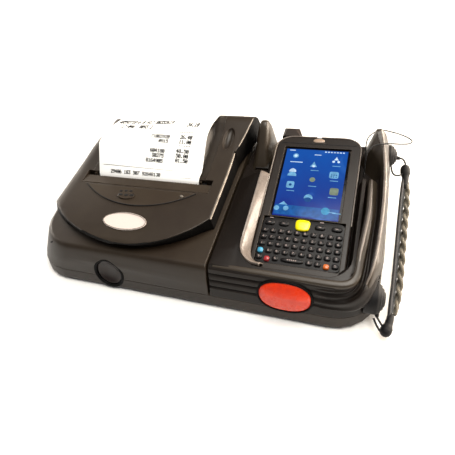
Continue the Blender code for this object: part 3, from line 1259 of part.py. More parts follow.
def build_head(spring_start):
    """Thermal head, its finned heat sink and the springs that press them to the platen."""
    left = PAPER_CENTRE_X - PAPER_WIDTH / 2 - HEAD_MARGIN / 2
    right = PAPER_CENTRE_X + PAPER_WIDTH / 2 + HEAD_MARGIN / 2
    low, high = PLATEN_Z - HEAD_HEIGHT / 2, PLATEN_Z + HEAD_HEIGHT / 2
    face = head_face()
    box("thermal_head", (left, face - HEAD_THICKNESS, low), (right, face, high), "ceramic")
    back = face - HEAD_THICKNESS - GAP
    sink = box("head_heat_sink", (left, back - SINK_THICKNESS, low), (right, back, high), "aluminium")
    pitch = HEAD_HEIGHT / SINK_FIN_COUNT
    for i in range(1, SINK_FIN_COUNT):
        z = low + pitch * i
        if abs(z - PLATEN_Z) < HEAD_SPRING_RADIUS:
            continue
        cut(sink, box("fin_gap", (left - OVERRUN, back - SINK_THICKNESS - OVERRUN, z - pitch * SINK_FIN_GAP_SHARE / 2),
                      (right + OVERRUN, back - SINK_THICKNESS / 2, z + pitch * SINK_FIN_GAP_SHARE / 2)))
    start = spring_start + GAP
    length = back - SINK_THICKNESS - GAP - start
    for name, side in (("left", -1), ("right", 1)):
        x = PAPER_CENTRE_X + side * HEAD_SPRING_SPREAD
        helix("head_spring_" + name, (x, start, PLATEN_Z), (0, 1, 0), length, HEAD_SPRING_RADIUS,
              HEAD_SPRING_WIRE, HEAD_SPRING_TURNS, "steel")


def helix(name, start, along, length, radius, wire, turns, finish, steps=WIRE_STEPS_PER_TURN):
    """A coil spring from a start along a direction, its wire wholly inside the length."""
    start, along = Vector(start), Vector(along)
    right = Vector((1, 0, 0))
    up = along.cross(right)
    points = []
    for i in range(turns * steps + 1):
        angle = 2 * math.pi * i / steps
        reach = wire / 2 + (length - wire) * i / (turns * steps)
        points.append(start + along * reach
                      + (right * math.cos(angle) + up * math.sin(angle)) * (radius - wire / 2))
    return tube(name, points, wire, finish, 1)


def build_paper():
    """The roll on its core, the holders with their hubs, and the printed receipt."""
    left, right = PAPER_CENTRE_X - PAPER_WIDTH / 2, PAPER_CENTRE_X + PAPER_WIDTH / 2
    axis = (ROLL_Y, ROLL_Z)
    roll = rod("paper_roll", (left, *axis), (right, *axis), ROLL_RADIUS, "paper_white", steps=36)
    cut(roll, rod("roll_bore", (left - OVERRUN, *axis), (right + OVERRUN, *axis), CORE_RADIUS + GAP))
    core = rod("roll_core", (left, *axis), (right, *axis), CORE_RADIUS, "card_brown")
    cut(core, rod("core_bore", (left - OVERRUN, *axis), (right + OVERRUN, *axis), CORE_RADIUS - CORE_WALL))
    hub = CORE_RADIUS - CORE_WALL - GAP
    floor = FOOT_HEIGHT + WALL
    reach = HOLDER_GAP + HOLDER_THICKNESS
    holder = box("roll_holder", (left - reach, ROLL_Y - HOLDER_DEPTH / 2, floor + GAP),
                 (right + reach, ROLL_Y + HOLDER_DEPTH / 2, floor + GAP + HOLDER_THICKNESS),
                 "printer_plastic")
    for side, end in ((-1, left), (1, right)):
        inner = end + side * HOLDER_GAP
        outer = end + side * reach
        low, high = min(inner, outer), max(inner, outer)
        join(holder, box("holder_cheek", (low, ROLL_Y - HOLDER_DEPTH / 2, floor + GAP),
                         (high, ROLL_Y + HOLDER_DEPTH / 2, ROLL_Z + HOLDER_DEPTH / 2)))
        join(holder, rod("hub", (outer, *axis), (end - side * HUB_REACH, *axis), hub))
    points = [(RECEIPT_START_Y + run * RECEIPT_RUN, RECEIPT_START_Z + rise * RECEIPT_RISE, 0)
              for run, rise in RECEIPT_SHARES]
    path = [(point.x, point.y) for point in smooth_route(points, 3)]
    curve_plate("receipt", path, PAPER_THICKNESS, left, PAPER_WIDTH, "paper_white")


def front_normal():
    """Unit vector out of the leaning front face."""
    return Vector((0, -1, FRONT_LEAN_RATIO)).normalized()


def front_point(x, z, proud):
    """A point at a height of the front face, moved out along the face's normal."""
    return Vector((x, front_face(z), z)) + front_normal() * proud


def build_power_button(base, shell):
    """The round dished button in its shallow recess in the front."""
    out = front_normal()
    mouth = front_point(POWER_X, POWER_Z, OVERRUN)
    recess = rod("power_recess", front_point(POWER_X, POWER_Z, -POWER_SINK), mouth, POWER_RECESS_RADIUS)
    depth = POWER_SINK + POWER_THICKNESS + POWER_TRAVEL + GAP
    hole = rod("power_hole", front_point(POWER_X, POWER_Z, -depth), mouth, POWER_RADIUS + SLIP)
    cut(shell, recess, hole)
    cut(base, recess, hole)
    back = front_point(POWER_X, POWER_Z, -POWER_SINK - POWER_THICKNESS)
    button = rod("power_button", back, back + out * POWER_THICKNESS, POWER_RADIUS, "soft_black")
    dish_work = bmesh.new()
    bmesh.ops.create_uvsphere(dish_work, u_segments=SMALL_TURN_STEPS, v_segments=8, radius=1)
    size = Matrix.Diagonal((POWER_RADIUS * 0.8, POWER_RADIUS * 0.8, POWER_DISH, 1))
    turn = out.to_track_quat("Z", "Y").to_matrix().to_4x4()
    bmesh.ops.transform(dish_work, verts=dish_work.verts,
                        matrix=Matrix.Translation(back + out * POWER_THICKNESS) @ turn @ size)
    cut(button, from_bmesh("power_dish", dish_work))


def terminal_frame():
    """The empty in the middle of the screen's face, pitched like the docked terminal."""
    frame = bpy.data.objects.new("terminal_frame", None)
    frame.location = (TERMINAL_X, SCREEN_Y, SCREEN_Z)
    frame.rotation_euler = Euler((math.radians(TERMINAL_PITCH_DEGREES), 0, 0))
    frame.parent = unit_root
    parts_collection.objects.link(frame)
    return frame


def terminal_ring(n, inset):
    """Outline of the terminal's body at a depth below its face, tapering at its lower end."""
    half = TERMINAL_WIDTH / 2
    return rounded(-half + inset, half - inset, TERMINAL_BOTTOM + inset, TERMINAL_TOP - inset,
                   [radius - inset for radius in (TERMINAL_BOTTOM_RADIUS, TERMINAL_BOTTOM_RADIUS,
                                                  TERMINAL_TOP_RADIUS, TERMINAL_TOP_RADIUS)], n)


def tapered(ring):
    """Lift a back ring towards the face below the taper's start."""
    reach = TAPER_START - TERMINAL_BOTTOM
    return [(x, u, n + max(0, TAPER_START - u) / reach * TERMINAL_TAPER) for x, u, n in ring]


def build_terminal(frame):
    """The docked terminal: case, bezel, cap, screen window, key mat and coloured keys."""
    back = -TERMINAL_THICKNESS
    case = loft("terminal_case", [
        tapered(terminal_ring(back, CASE_ROUND)), tapered(terminal_ring(back + CASE_ROUND / 3, CASE_ROUND / 3)),
        tapered(terminal_ring(back + CASE_ROUND, 0)), terminal_ring(-BEZEL_DEPTH - GAP, 0)],
        "terminal_plastic", frame)
    half = TERMINAL_WIDTH / 2
    cut(case, box("latch_groove", (-half - OVERRUN, TERMINAL_BOTTOM - OVERRUN, GROOVE_BOTTOM_N),
                  (-half + GROOVE_BITE, GROOVE_END_U, GROOVE_TOP_N), parent=frame))
    bezel = loft("terminal_bezel", [
        terminal_ring(-BEZEL_DEPTH, 0), terminal_ring(-BEZEL_ROUND, 0),
        terminal_ring(-BEZEL_ROUND / 3, BEZEL_ROUND / 3), terminal_ring(0, BEZEL_ROUND)],
        "terminal_bezel", frame)
    glass_back = -GLASS_SINK - GLASS_THICKNESS
    cut(bezel, box("glass_seat", (-GLASS_WIDTH / 2 - GAP, -GLASS_HEIGHT / 2 - GAP, glass_back - GAP),
                   (GLASS_WIDTH / 2 + GAP, GLASS_HEIGHT / 2 + GAP, OVERRUN), parent=frame))
    box("screen_window", (-GLASS_WIDTH / 2, -GLASS_HEIGHT / 2, glass_back),
        (GLASS_WIDTH / 2, GLASS_HEIGHT / 2, -GLASS_SINK), "screen_blue", frame)
    mat_back = -KEYMAT_BASE - KEY_SINK
    cut(bezel, box("keymat_seat", (-KEYMAT_HALF_WIDTH - GAP, KEYMAT_BOTTOM - GAP, mat_back - GAP),
                   (KEYMAT_HALF_WIDTH + GAP, KEYMAT_TOP + GAP, OVERRUN), parent=frame))
    mat = key_mat("key_mat", mat_back, frame)
    keys = (("scan_key", (0, SCAN_KEY_U), SCAN_KEY_HALF_WIDTH, SCAN_KEY_HALF_HEIGHT, "key_yellow"),
            ("blue_key", BLUE_KEY_PLACE, COLOUR_KEY_HALF, COLOUR_KEY_HALF, "key_blue"),
            ("red_key", RED_KEY_PLACE, COLOUR_KEY_HALF, COLOUR_KEY_HALF, "key_red"),
            ("orange_key", ORANGE_KEY_PLACE, COLOUR_KEY_HALF, COLOUR_KEY_HALF, "key_orange"))
    for name, (x, u), half_width, half_height, finish in keys:
        ease = KEY_CLEARANCE
        floor = mat_back + KEYMAT_BASE / 2
        cut(mat, box(name + "_hole", (x - half_width - ease, u - half_height - ease, floor),
                     (x + half_width + ease, u + half_height + ease, OVERRUN), parent=frame))
        box(name, (x - half_width, u - half_height, floor + KEY_TRAVEL + GAP),
            (x + half_width, u + half_height, COLOUR_KEY_RAISE), finish, frame, edge=COLOUR_KEY_RAISE / 2)

    rings = []
    for n, inset in ((-BUMP_SINK - BUMP_THICKNESS, 0), (-BUMP_SINK - BUMP_ROUND, 0), (-BUMP_SINK, BUMP_ROUND)):
        low = TERMINAL_TOP + GAP
        rings.append([(BUMP_LEFT + inset, low, n), (BUMP_RIGHT - inset, low, n),
                      (BUMP_RIGHT - BUMP_TOP_INSET - inset, BUMP_TOP - inset * 2, n),
                      (BUMP_RIGHT - BUMP_TOP_INSET - BUMP_ROUND - inset, BUMP_TOP - inset, n),
                      (BUMP_LEFT + BUMP_ROUND + inset, BUMP_TOP - inset, n),
                      (BUMP_LEFT + BUMP_ROUND / 3 + inset, BUMP_TOP - inset * 2, n)])
    loft("antenna_cap", rings, "terminal_plastic", frame)
    join(bezel, box("terminal_lamp", (-LAMP_WIDTH / 2, LAMP_U - LAMP_DEPTH / 2, -LAMP_THICKNESS),
                    (LAMP_WIDTH / 2, LAMP_U + LAMP_DEPTH / 2, LAMP_RAISE), parent=frame, edge=LAMP_RAISE))
    return case


def key_mat(name, back, parent):
    """One moulded mat whose keys are raised from the cells of a grid."""
    work = bmesh.new()
    bmesh.ops.create_grid(work, x_segments=KEY_COLUMNS, y_segments=KEY_ROWS, size=0.5)
    width, height = KEYMAT_HALF_WIDTH * 2, KEYMAT_TOP - KEYMAT_BOTTOM
    middle = (KEYMAT_TOP + KEYMAT_BOTTOM) / 2
    for vertex in work.verts:
        vertex.co = Vector((vertex.co.x * width, middle + vertex.co.y * height, back))
    cells = list(work.faces)
    base = bmesh.ops.extrude_face_region(work, geom=cells)
    raised = [face for face in base["geom"] if isinstance(face, bmesh.types.BMFace)]
    for vertex in {vertex for face in raised for vertex in face.verts}:
        vertex.co.z += KEYMAT_BASE
    pitch = min(width / KEY_COLUMNS, height / KEY_ROWS)
    bmesh.ops.inset_individual(work, faces=raised, thickness=pitch * KEY_INSET_SHARE)
    for face in bmesh.ops.extrude_discrete_faces(work, faces=raised)["faces"]:
        for vertex in face.verts:
            vertex.co.z += KEY_RAISE
    return from_bmesh(name, work, "key_black", parent)


def pocket_ring(n, left_grow, right_grow, low, radius, high):
    """Outline of the pocket at a depth, in terminal coordinates."""
    half = TERMINAL_WIDTH / 2 + POCKET_CLEARANCE
    return rounded(-half - left_grow, half + right_grow, low, high,
                   (radius, radius, SQUARE_CORNER, SQUARE_CORNER), n)


def grooved_rings(inset, bottom, top):
    """Outline rings of the cradle's shell with the ridges that run round its front."""
    right = CASE_LENGTH / 2
    levels = [(bottom, 0), (CRADLE_BAND_TOP, 0)]
    if inset == 0:
        for i in range(RIDGE_COUNT):
            z = CRADLE_BAND_TOP + GROOVE_HALF_WIDTH + RIDGE_PITCH * i
            levels += [(z, GROOVE_DEPTH), (z + GROOVE_HALF_WIDTH, GROOVE_DEPTH / 4),
                       (z + RIDGE_PITCH - GROOVE_HALF_WIDTH * 1.6, GROOVE_DEPTH / 4)]
    levels += [(top - EDGE_ROUND / 3, EDGE_ROUND / 2), (top, EDGE_ROUND * 1.4)]
    rings = []
    for z, drawn in levels:
        drawn_in = inset + drawn
        rings.append(rounded(DIVIDE_X + inset, right - drawn_in, front_face(z) + drawn_in,
                             CASE_DEPTH / 2 - inset - drawn / 2,
                             (SQUARE_CORNER, FRONT_RIGHT_RADIUS - drawn_in, REAR_RADIUS - drawn_in,
                              SQUARE_CORNER), z))
    return rings


def deck_section(y):
    """Section of the raised deck round the pocket at one place along the depth."""
    share = (y - DECK_FRONT_Y) / (DECK_REAR_Y - DECK_FRONT_Y)
    split = DECK_SPLIT_FRONT_Z + (DECK_SPLIT_REAR_Z - DECK_SPLIT_FRONT_Z) * min(share, 1)
    rim = DECK_RIM_FRONT_Z + (DECK_RIM_REAR_Z - DECK_RIM_FRONT_Z) * min(share, 1)
    left_crest = split + (rim - split) * 0.93
    return [
        (DIVIDE_X + GAP, y, RAIL_FOOT_Z), (DIVIDE_X + GAP, y, split), (DIVIDE_X + WALL, y, split + GAP),
        (DECK_LEFT_CREST_X - WALL, y, left_crest), (DECK_LEFT_CREST_X + WALL, y, rim),
        (DECK_RIGHT_CREST_X - WALL, y, rim), (DECK_RIGHT_CREST_X, y, rim - WALL / 3),
        (DECK_RIGHT_FOOT_X, y, RAIL_FOOT_Z),
    ]


def rail_place(row):
    """World place of a rail station given as shares of depth, half length and peak."""
    y = row[0] * CASE_DEPTH - CASE_DEPTH / 2
    return row[1] * CASE_LENGTH / 2, y, row[2] * COVER_PEAK


def outer_rail_section(row):
    """Section of the outer side rail, broad at its foot where it becomes the rear post."""
    x, y, top = rail_place(row)
    foot_in = OUTER_RAIL_FOOT_IN if row[0] < POST_START_SHARE else OUTER_POST_FOOT_IN
    half, soft = OUTER_RAIL_HALF_WIDTH, OUTER_RAIL_HALF_WIDTH * 0.6
    outside = CASE_LENGTH / 2 - OUTER_RAIL_FOOT_OUT
    corner = CASE_DEPTH * 0.12 + DECK_FRONT_Y
    if y < corner:
        outside -= (corner - y) * 0.35
    end = CASE_DEPTH / 2 - REAR_RADIUS
    if y > end:
        outside -= (y - end) * 0.35
    return [(x - foot_in, y, RAIL_FOOT_Z), (x - half, y, top - soft * 2), (x - half + soft, y, top - soft * 0.3),
            (x, y, top), (x + half - soft, y, top - soft * 0.3), (x + half, y, top - soft * 2),
            (outside, y, RAIL_FOOT_Z)]


def inner_rail_section(row):
    """Section of the inner side rail, which ends behind the terminal's screen."""
    x, y, top = rail_place(row)
    half, soft = INNER_RAIL_HALF_WIDTH, INNER_RAIL_HALF_WIDTH * 0.45
    foot = half + INNER_RAIL_FOOT_SPREAD
    return [(x - foot, y, RAIL_FOOT_Z), (x - half, y, top - soft), (x - half + soft, y, top),
            (x + half - soft, y, top), (x + half, y, top - soft), (x + foot, y, RAIL_FOOT_Z)]


def left_post_section(row):
    """Section of the rear left post, a ramp that rises to the back."""
    y, top = row[0] * CASE_DEPTH - CASE_DEPTH / 2, row[1] * COVER_PEAK
    height = (top - RAIL_FOOT_Z) / (COVER_PEAK - RAIL_FOOT_Z)
    crest = LEFT_POST_LEFT + (LEFT_POST_CREST_LEFT - LEFT_POST_LEFT) * height
    return [(LEFT_POST_LEFT, y, RAIL_FOOT_Z), (crest, y, top - GAP * 2), (crest + GAP * 2, y, top),
            (LEFT_POST_RIGHT - GAP * 2, y, top), (LEFT_POST_RIGHT, y, top - GAP * 2),
            (LEFT_POST_RIGHT + GAP, y, RAIL_FOOT_Z)]


def build_cradle(frame, base):
    """The cradle's shell: ridged body, raised deck, rails and posts, and the pocket."""
    cradle = loft("cradle_housing", grooved_rings(0, SEAM_Z + GAP, CRADLE_REAR_Z), "cradle_plastic")
    span = DECK_REAR_Y - DECK_FRONT_Y
    places = [DECK_FRONT_Y + span * i / 4 for i in range(5)]
    deck = loft("cradle_deck", [deck_section(y) for y in places])
    join(cradle, deck)
    tail_left = DIVIDE_X + GAP * 2
    back_outline = [(tail_left, DECK_REAR_Y - OVERRUN), (DECK_LEFT_CREST_X, DECK_REAR_Y - OVERRUN),
                    (DECK_LEFT_CREST_X, DECK_REAR_Y + GAP), (tail_left, DECK_LEFT_REAR_Y)]
    join(cradle, plate("deck_tail", back_outline, RAIL_FOOT_Z, DECK_SPLIT_REAR_Z - RAIL_FOOT_Z - GAP, "Z"))
    join(cradle, loft("inner_rail", [inner_rail_section(row) for row in INNER_RAIL_SHARES]))
    join(cradle, loft("outer_rail", [outer_rail_section(row) for row in OUTER_RAIL_SHARES]))
    join(cradle, loft("left_post", [left_post_section(row) for row in LEFT_POST_SHARES]))

    low = TERMINAL_BOTTOM - POCKET_CLEARANCE
    back = -TERMINAL_THICKNESS - POCKET_CLEARANCE
    skin = CRADLE_FLOOR_SKIN
    levels = ((back - skin, 0, 0), (-FLARE_START - skin, 0, 0), (FLARE_TOP, FLARE_LEFT, FLARE_RIGHT),
              (OVERRUN * 4, FLARE_LEFT, FLARE_RIGHT))
    tub = loft("pocket_tub", [
        pocket_ring(n, left + skin, right + skin, low - skin, TERMINAL_BOTTOM_RADIUS, POCKET_REACH * 2)
        for n, left, right in levels], parent=frame)
    hollow = loft("cradle_hollow", grooved_rings(WALL, SEAM_Z - OVERRUN, CRADLE_REAR_Z - WALL))
    cut(hollow, tub)
    cut(cradle, hollow)
    lower = loft("pocket_lower", [
        pocket_ring(back, 0, 0, low, TERMINAL_BOTTOM_RADIUS, POCKET_REACH),
        pocket_ring(GAP, 0, 0, low, TERMINAL_BOTTOM_RADIUS, POCKET_REACH)], parent=frame)
    rim = TERMINAL_BOTTOM + RIM_HANG
    upper = loft("pocket_upper", [
        pocket_ring(-FLARE_START, GAP, GAP, rim, RIM_RADIUS, POCKET_REACH),
        pocket_ring(FLARE_TOP, FLARE_LEFT, FLARE_RIGHT, rim, RIM_RADIUS, POCKET_REACH),
        pocket_ring(OVERRUN * 12, FLARE_LEFT, FLARE_RIGHT, rim, RIM_RADIUS, POCKET_REACH)],
        parent=frame)
    cut(cradle, lower, upper)
    cut(base, lower)
    build_release(cradle, base)
    build_dock(frame)
    build_anchors(cradle, base)
    return cradle


def oval_ring(centre, out, half_width, half_height, share, distance):
    """An oval ring in the plane across a direction, scaled by a share and moved out."""
    up = out.cross(Vector((1, 0, 0))).normalized()
    middle = Vector(centre) + out * distance
    return [tuple(middle + Vector((1, 0, 0)) * half_width * share * math.cos(2 * math.pi * i / TURN_STEPS)
                  + up * half_height * share * math.sin(2 * math.pi * i / TURN_STEPS))
            for i in range(TURN_STEPS)]


def build_release(cradle, base):
    """The oval release button, its return spring and the sliding latch that it moves."""
    out = front_normal()
    centre = front_point(RELEASE_X, RELEASE_Z, 0)
    wide, high = RELEASE_HALF_WIDTH, RELEASE_HALF_HEIGHT
    grown = (wide + RELEASE_CLEARANCE, high + RELEASE_CLEARANCE)
    depth = RELEASE_DEPTH + RELEASE_TRAVEL + RELEASE_BACK_GAP
    hole = loft("release_hole", [oval_ring(centre, out, *grown, 1, -depth),
                                 oval_ring(centre, out, *grown, 1, OVERRUN)])
    cut(cradle, hole)
    cut(base, hole)
    dome = [oval_ring(centre, out, wide, high, size, RELEASE_PROUD * proud)
            for size, proud in RELEASE_DOME_SHARES]
    loft("release_button", [oval_ring(centre, out, wide, high, 1, -RELEASE_DEPTH), *dome],
         "button_orange")
    spring_start = centre - out * (RELEASE_DEPTH + GAP)
    helix("release_spring", spring_start, -out, RELEASE_SPRING_LENGTH, RELEASE_SPRING_RADIUS,
          RELEASE_SPRING_WIRE, RELEASE_SPRING_TURNS, "steel")

    low, high_z = LATCH_BAR_Z, LATCH_BAR_Z + LATCH_BAR_HEIGHT
    latch = box("release_latch", (LATCH_LEFT, LATCH_BAR_FRONT, low),
                (LATCH_RIGHT, LATCH_BAR_REAR, high_z), "gear_white")
    arm_right = LATCH_LEFT + LATCH_ARM_THICKNESS
    join(latch, box("latch_arm", (LATCH_LEFT, LATCH_BAR_FRONT, low), (arm_right, LATCH_ARM_REAR, high_z)))
    tooth_front = LATCH_ARM_REAR - LATCH_TOOTH_LENGTH
    join(latch, box("latch_tooth", (LATCH_LEFT, tooth_front, low),
                    (arm_right + LATCH_TOOTH_REACH, LATCH_ARM_REAR, high_z)))
    margin = LATCH_SLOT_MARGIN
    cut(cradle, box("latch_slot", (arm_right, tooth_front - margin, low - margin),
                    (arm_right + LATCH_TOOTH_REACH + margin, LATCH_ARM_REAR + margin, high_z + margin)))


def build_dock(frame):
    """The contact block that stands on the pocket's floor under the terminal's lower end."""
    floor = -TERMINAL_THICKNESS - POCKET_CLEARANCE + GAP
    box("dock_connector", (-DOCK_WIDTH / 2, DOCK_FRONT_U, floor), (DOCK_WIDTH / 2, DOCK_REAR_U, DOCK_TOP_N),
        "gear_white", frame)


def build_anchors(cradle, base):
    """The two knobs that hold the strap, each with the lug that its cord loop hangs from."""
    for side, place_, radius, lug in (("front", FRONT_ANCHOR, FRONT_ANCHOR_RADIUS, FRONT_LUG_END),
                                      ("rear", REAR_ANCHOR, REAR_ANCHOR_RADIUS, REAR_LUG_END)):
        profile = [(0, ANCHOR_REACH)]
        profile += [(radius * size, ANCHOR_REACH * reach) for reach, size in ANCHOR_PROFILE_SHARES]
        profile.append((0, 0))
        knob = turned("strap_anchor_" + side, profile, place_, (0, math.pi / 2, 0), "soft_black")
        middle = Vector(place_) + Vector((ANCHOR_REACH / 2, 0, 0))
        join(knob, rod("anchor_lug_" + side, middle, lug, LUG_RADIUS, steps=SMALL_TURN_STEPS))
        start = Vector(place_) - Vector((GAP, 0, 0))
        seat = rod("anchor_seat_" + side, start, start + Vector((ANCHOR_REACH * 2, 0, 0)), radius + GAP)
        cut(cradle, seat)
        cut(base, seat)


def strap_ring(point, ahead, height_share, pad_share):
    """One section of the strap: a flat inner band with a rounded pad on its outer side."""
    side = ahead.cross(Vector((0, 0, 1))).normalized()
    up = side.cross(ahead).normalized()
    height = BAND_HALF_HEIGHT * height_share
    ring = [point - side * BAND_HALF_THICKNESS + up * height, point - side * BAND_HALF_THICKNESS - up * height]
    for thick, high in STRAP_SECTION_SHARES:
        ring.append(point + side * (PAD_THICKNESS * pad_share * thick) + up * height * high)
    return [tuple(corner) for corner in ring]


def build_strap():
    """The hand strap with its moulded end toggles, and the cord loops at both knobs."""
    route = [(CASE_RIGHT + out * STRAP_STAND_OUT, back * CASE_REAR, up * COVER_PEAK)
             for out, back, up in STRAP_ROUTE_SHARES]
    points = smooth_route(route, 3)
    lengths = [0]
    for before, after in zip(points, points[1:]):
        lengths.append(lengths[-1] + (after - before).length)
    heights = [(share, height) for share, height, _ in STRAP_SHARES]
    pads = [(share, pad) for share, _, pad in STRAP_SHARES]
    rings = []
    for i, point in enumerate(points):
        ahead = points[min(i + 1, len(points) - 1)] - points[max(i - 1, 0)]
        share = lengths[i] / lengths[-1]
        rings.append(strap_ring(point, ahead, interpolate(heights, share), interpolate(pads, share)))
    loft("hand_strap", rings, "webbing")
    for side, pivot, tip, inner in (("front", FRONT_PIVOT, points[0], points[1]),
                                    ("rear", REAR_PIVOT, points[-1], points[-2])):
        away = (tip - inner).normalized()
        end = tip + away * (GAP + LOOP_CORD_DIAMETER / 2)
        middle = (Vector(pivot) + end) / 2 + away * LOOP_BEND
        tube("strap_loop_" + side, smooth_route((pivot, middle, end), 5), LOOP_CORD_DIAMETER,
             "cord_black")


def build_tether():
    """The thin tether that leaves the deck, rounds the rear post and comes back."""
    tube("tether_cord", smooth_route(TETHER_ROUTE, 4), TETHER_DIAMETER, "cord_black", 1)


def main():
    start_scene()
    base = build_base()
    build_board(base)
    shell = build_printer_housing()
    build_power_button(base, shell)
    cover = build_cover()
    build_cover_fittings(cover)
    build_door()
    build_drive()
    build_frame(base)
    build_paper()
    frame = terminal_frame()
    build_cradle(frame, base)
    build_terminal(frame)
    build_strap()
    build_tether()


main()
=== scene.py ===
"""Looks of a portable receipt printer with a docked hand terminal.

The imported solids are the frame. Every visible surface gets its finish here, the shells get
softened edges, and the receipt, strap, cords, keys and screen are modelled as meshes around
the frame. Lengths are metres. The maker's own zero lies between the printer and the cradle,
so a place along the width is moved by Workbench.shift before it is used.
"""
from __future__ import annotations

import json
import logging
import math
from collections.abc import Callable, Iterable
from dataclasses import dataclass, field
from enum import Enum

import bmesh
import bpy
import numpy as np
from mathutils import Matrix, Vector

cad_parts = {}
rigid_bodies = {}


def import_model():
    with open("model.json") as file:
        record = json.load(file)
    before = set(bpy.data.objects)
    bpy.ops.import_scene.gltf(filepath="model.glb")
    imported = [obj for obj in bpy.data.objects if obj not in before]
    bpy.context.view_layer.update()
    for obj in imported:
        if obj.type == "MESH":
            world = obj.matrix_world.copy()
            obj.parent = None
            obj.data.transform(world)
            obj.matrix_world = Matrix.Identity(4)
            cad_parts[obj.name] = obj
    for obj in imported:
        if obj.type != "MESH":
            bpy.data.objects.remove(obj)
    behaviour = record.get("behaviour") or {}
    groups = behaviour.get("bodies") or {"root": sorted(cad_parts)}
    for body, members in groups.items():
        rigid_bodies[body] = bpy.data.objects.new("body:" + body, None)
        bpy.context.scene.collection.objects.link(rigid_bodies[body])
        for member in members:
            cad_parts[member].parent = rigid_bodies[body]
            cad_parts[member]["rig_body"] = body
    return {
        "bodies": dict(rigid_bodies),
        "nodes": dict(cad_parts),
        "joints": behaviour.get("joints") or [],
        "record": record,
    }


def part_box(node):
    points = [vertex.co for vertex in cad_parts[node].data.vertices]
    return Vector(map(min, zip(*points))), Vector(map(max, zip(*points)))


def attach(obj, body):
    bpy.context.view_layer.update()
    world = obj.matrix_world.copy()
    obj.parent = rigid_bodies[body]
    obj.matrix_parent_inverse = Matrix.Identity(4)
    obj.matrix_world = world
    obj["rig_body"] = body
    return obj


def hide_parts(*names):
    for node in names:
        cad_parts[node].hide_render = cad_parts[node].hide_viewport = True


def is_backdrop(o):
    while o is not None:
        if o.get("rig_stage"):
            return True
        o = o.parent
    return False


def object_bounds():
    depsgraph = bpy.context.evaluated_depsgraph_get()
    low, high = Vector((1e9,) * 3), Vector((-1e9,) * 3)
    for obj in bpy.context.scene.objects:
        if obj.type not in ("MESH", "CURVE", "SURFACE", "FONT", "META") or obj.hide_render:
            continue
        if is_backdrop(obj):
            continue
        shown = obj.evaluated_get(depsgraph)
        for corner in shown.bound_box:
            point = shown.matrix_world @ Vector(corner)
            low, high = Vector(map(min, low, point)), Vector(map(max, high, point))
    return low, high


MM = 0.001
LOG = logging.getLogger("receipt_printer")
Place = tuple[float, float, float]
Reshape = Callable[[np.ndarray], np.ndarray]


# Colour and nodes

def linear(hex_colour: str) -> tuple[float, float, float, float]:
    """Turns an sRGB hex colour to linear light.

    Args:
        hex_colour: six hex digits after a hash sign.

    Returns:
        Red, green, blue and alpha, where each channel c becomes c / 12.92 below 0.04045
        and ((c + 0.055) / 1.055) to the power 2.4 above it.
    """
    channels = np.array([int(hex_colour[i:i + 2], 16) / 255 for i in (1, 3, 5)])
    light = np.where(channels <= 0.04045, channels / 12.92, ((channels + 0.055) / 1.055) ** 2.4)
    return (*map(float, light), 1.0)


def add_node(tree: bpy.types.NodeTree, kind: str, inputs: dict | tuple = (),
             **settings: object) -> bpy.types.Node:
    """Adds one node with its settings and links.

    Args:
        tree: the material's node tree.
        kind: the node's type name after "ShaderNode".
        inputs: a value, a hex colour or an output socket for each input, in their own order or
            by name or number.
        settings: the node's own options.

    Returns:
        The new node.
    """
    made = tree.nodes.new("ShaderNode" + kind)
    for option, value in settings.items():
        setattr(made, option, value)
    for key, value in inputs.items() if isinstance(inputs, dict) else enumerate(inputs):
        if isinstance(value, bpy.types.NodeSocket):
            tree.links.new(value, made.inputs[key])
        else:
            made.inputs[key].default_value = linear(value) if isinstance(value, str) else value
    return made


SHARE, MIX_A, MIX_B, MIX_OUT = 0, 6, 7, 2  # sockets of a Mix node that mixes colours


# Finishes

@dataclass(frozen=True)
class Finish:
    """One surface finish: the record's slot that it fills and the colours that it starts from."""

    name: str
    slot: str
    colour: str

    def material(self) -> bpy.types.Material:
        """Returns the finish as a material, made once and then shared."""
        known = bpy.data.materials.get(self.name)
        if known is not None:
            return known
        material = bpy.data.materials.new(self.name)
        material.use_nodes = True
        tree = material.node_tree
        tree.nodes.clear()
        shader = add_node(tree, "BsdfPrincipled", {"Base Color": self.colour, **self.dress(tree)})
        add_node(tree, "OutputMaterial", {"Surface": shader.outputs[0]})
        material.diffuse_color = linear(self.colour)
        return material

    def dress(self, tree: bpy.types.NodeTree) -> dict[str, object]:
        """Adds the finish's own nodes and returns what goes into the shader's inputs."""
        return {}

    def clouded(self, tree: bpy.types.NodeTree, pattern: bpy.types.NodeSocket, other: str,
                shades: Place, rough: tuple[float, float],
                relief_mm: float,
                tint: bpy.types.NodeSocket | None = None) -> dict[str, object]:
        """Lets one pattern drift the shade and the roughness and raise a fine relief.

        Args:
            tree: the material's node tree.
            pattern: the pattern, from 0 to 1.
            other: the colour that the finish drifts to.
            shades: where in the pattern the drift starts and ends, and how far it goes.
            rough: how much the roughness changes at 0.3 and at 0.7 of the pattern.
            relief_mm: height of the relief.
            tint: the pattern that drifts the shade, where it is another one.

        Returns:
            The shader's inputs.
        """
        drift = pattern if tint is None else tint
        share = add_node(tree, "MapRange", (drift, *shades[:2], 0, shades[2])).outputs[0]
        shade = add_node(tree, "Mix", {SHARE: share, MIX_A: self.colour, MIX_B: other},
                         data_type="RGBA")
        gloss = add_node(tree, "MapRange", (pattern, 0.3, 0.7, self.roughness + rough[0],
                                            self.roughness + rough[1]))
        bump = add_node(tree, "Bump", {"Height": pattern, "Distance": relief_mm * MM})
        return {"Base Color": shade.outputs[MIX_OUT], "Roughness": gloss.outputs[0],
                "Normal": bump.outputs[0]}


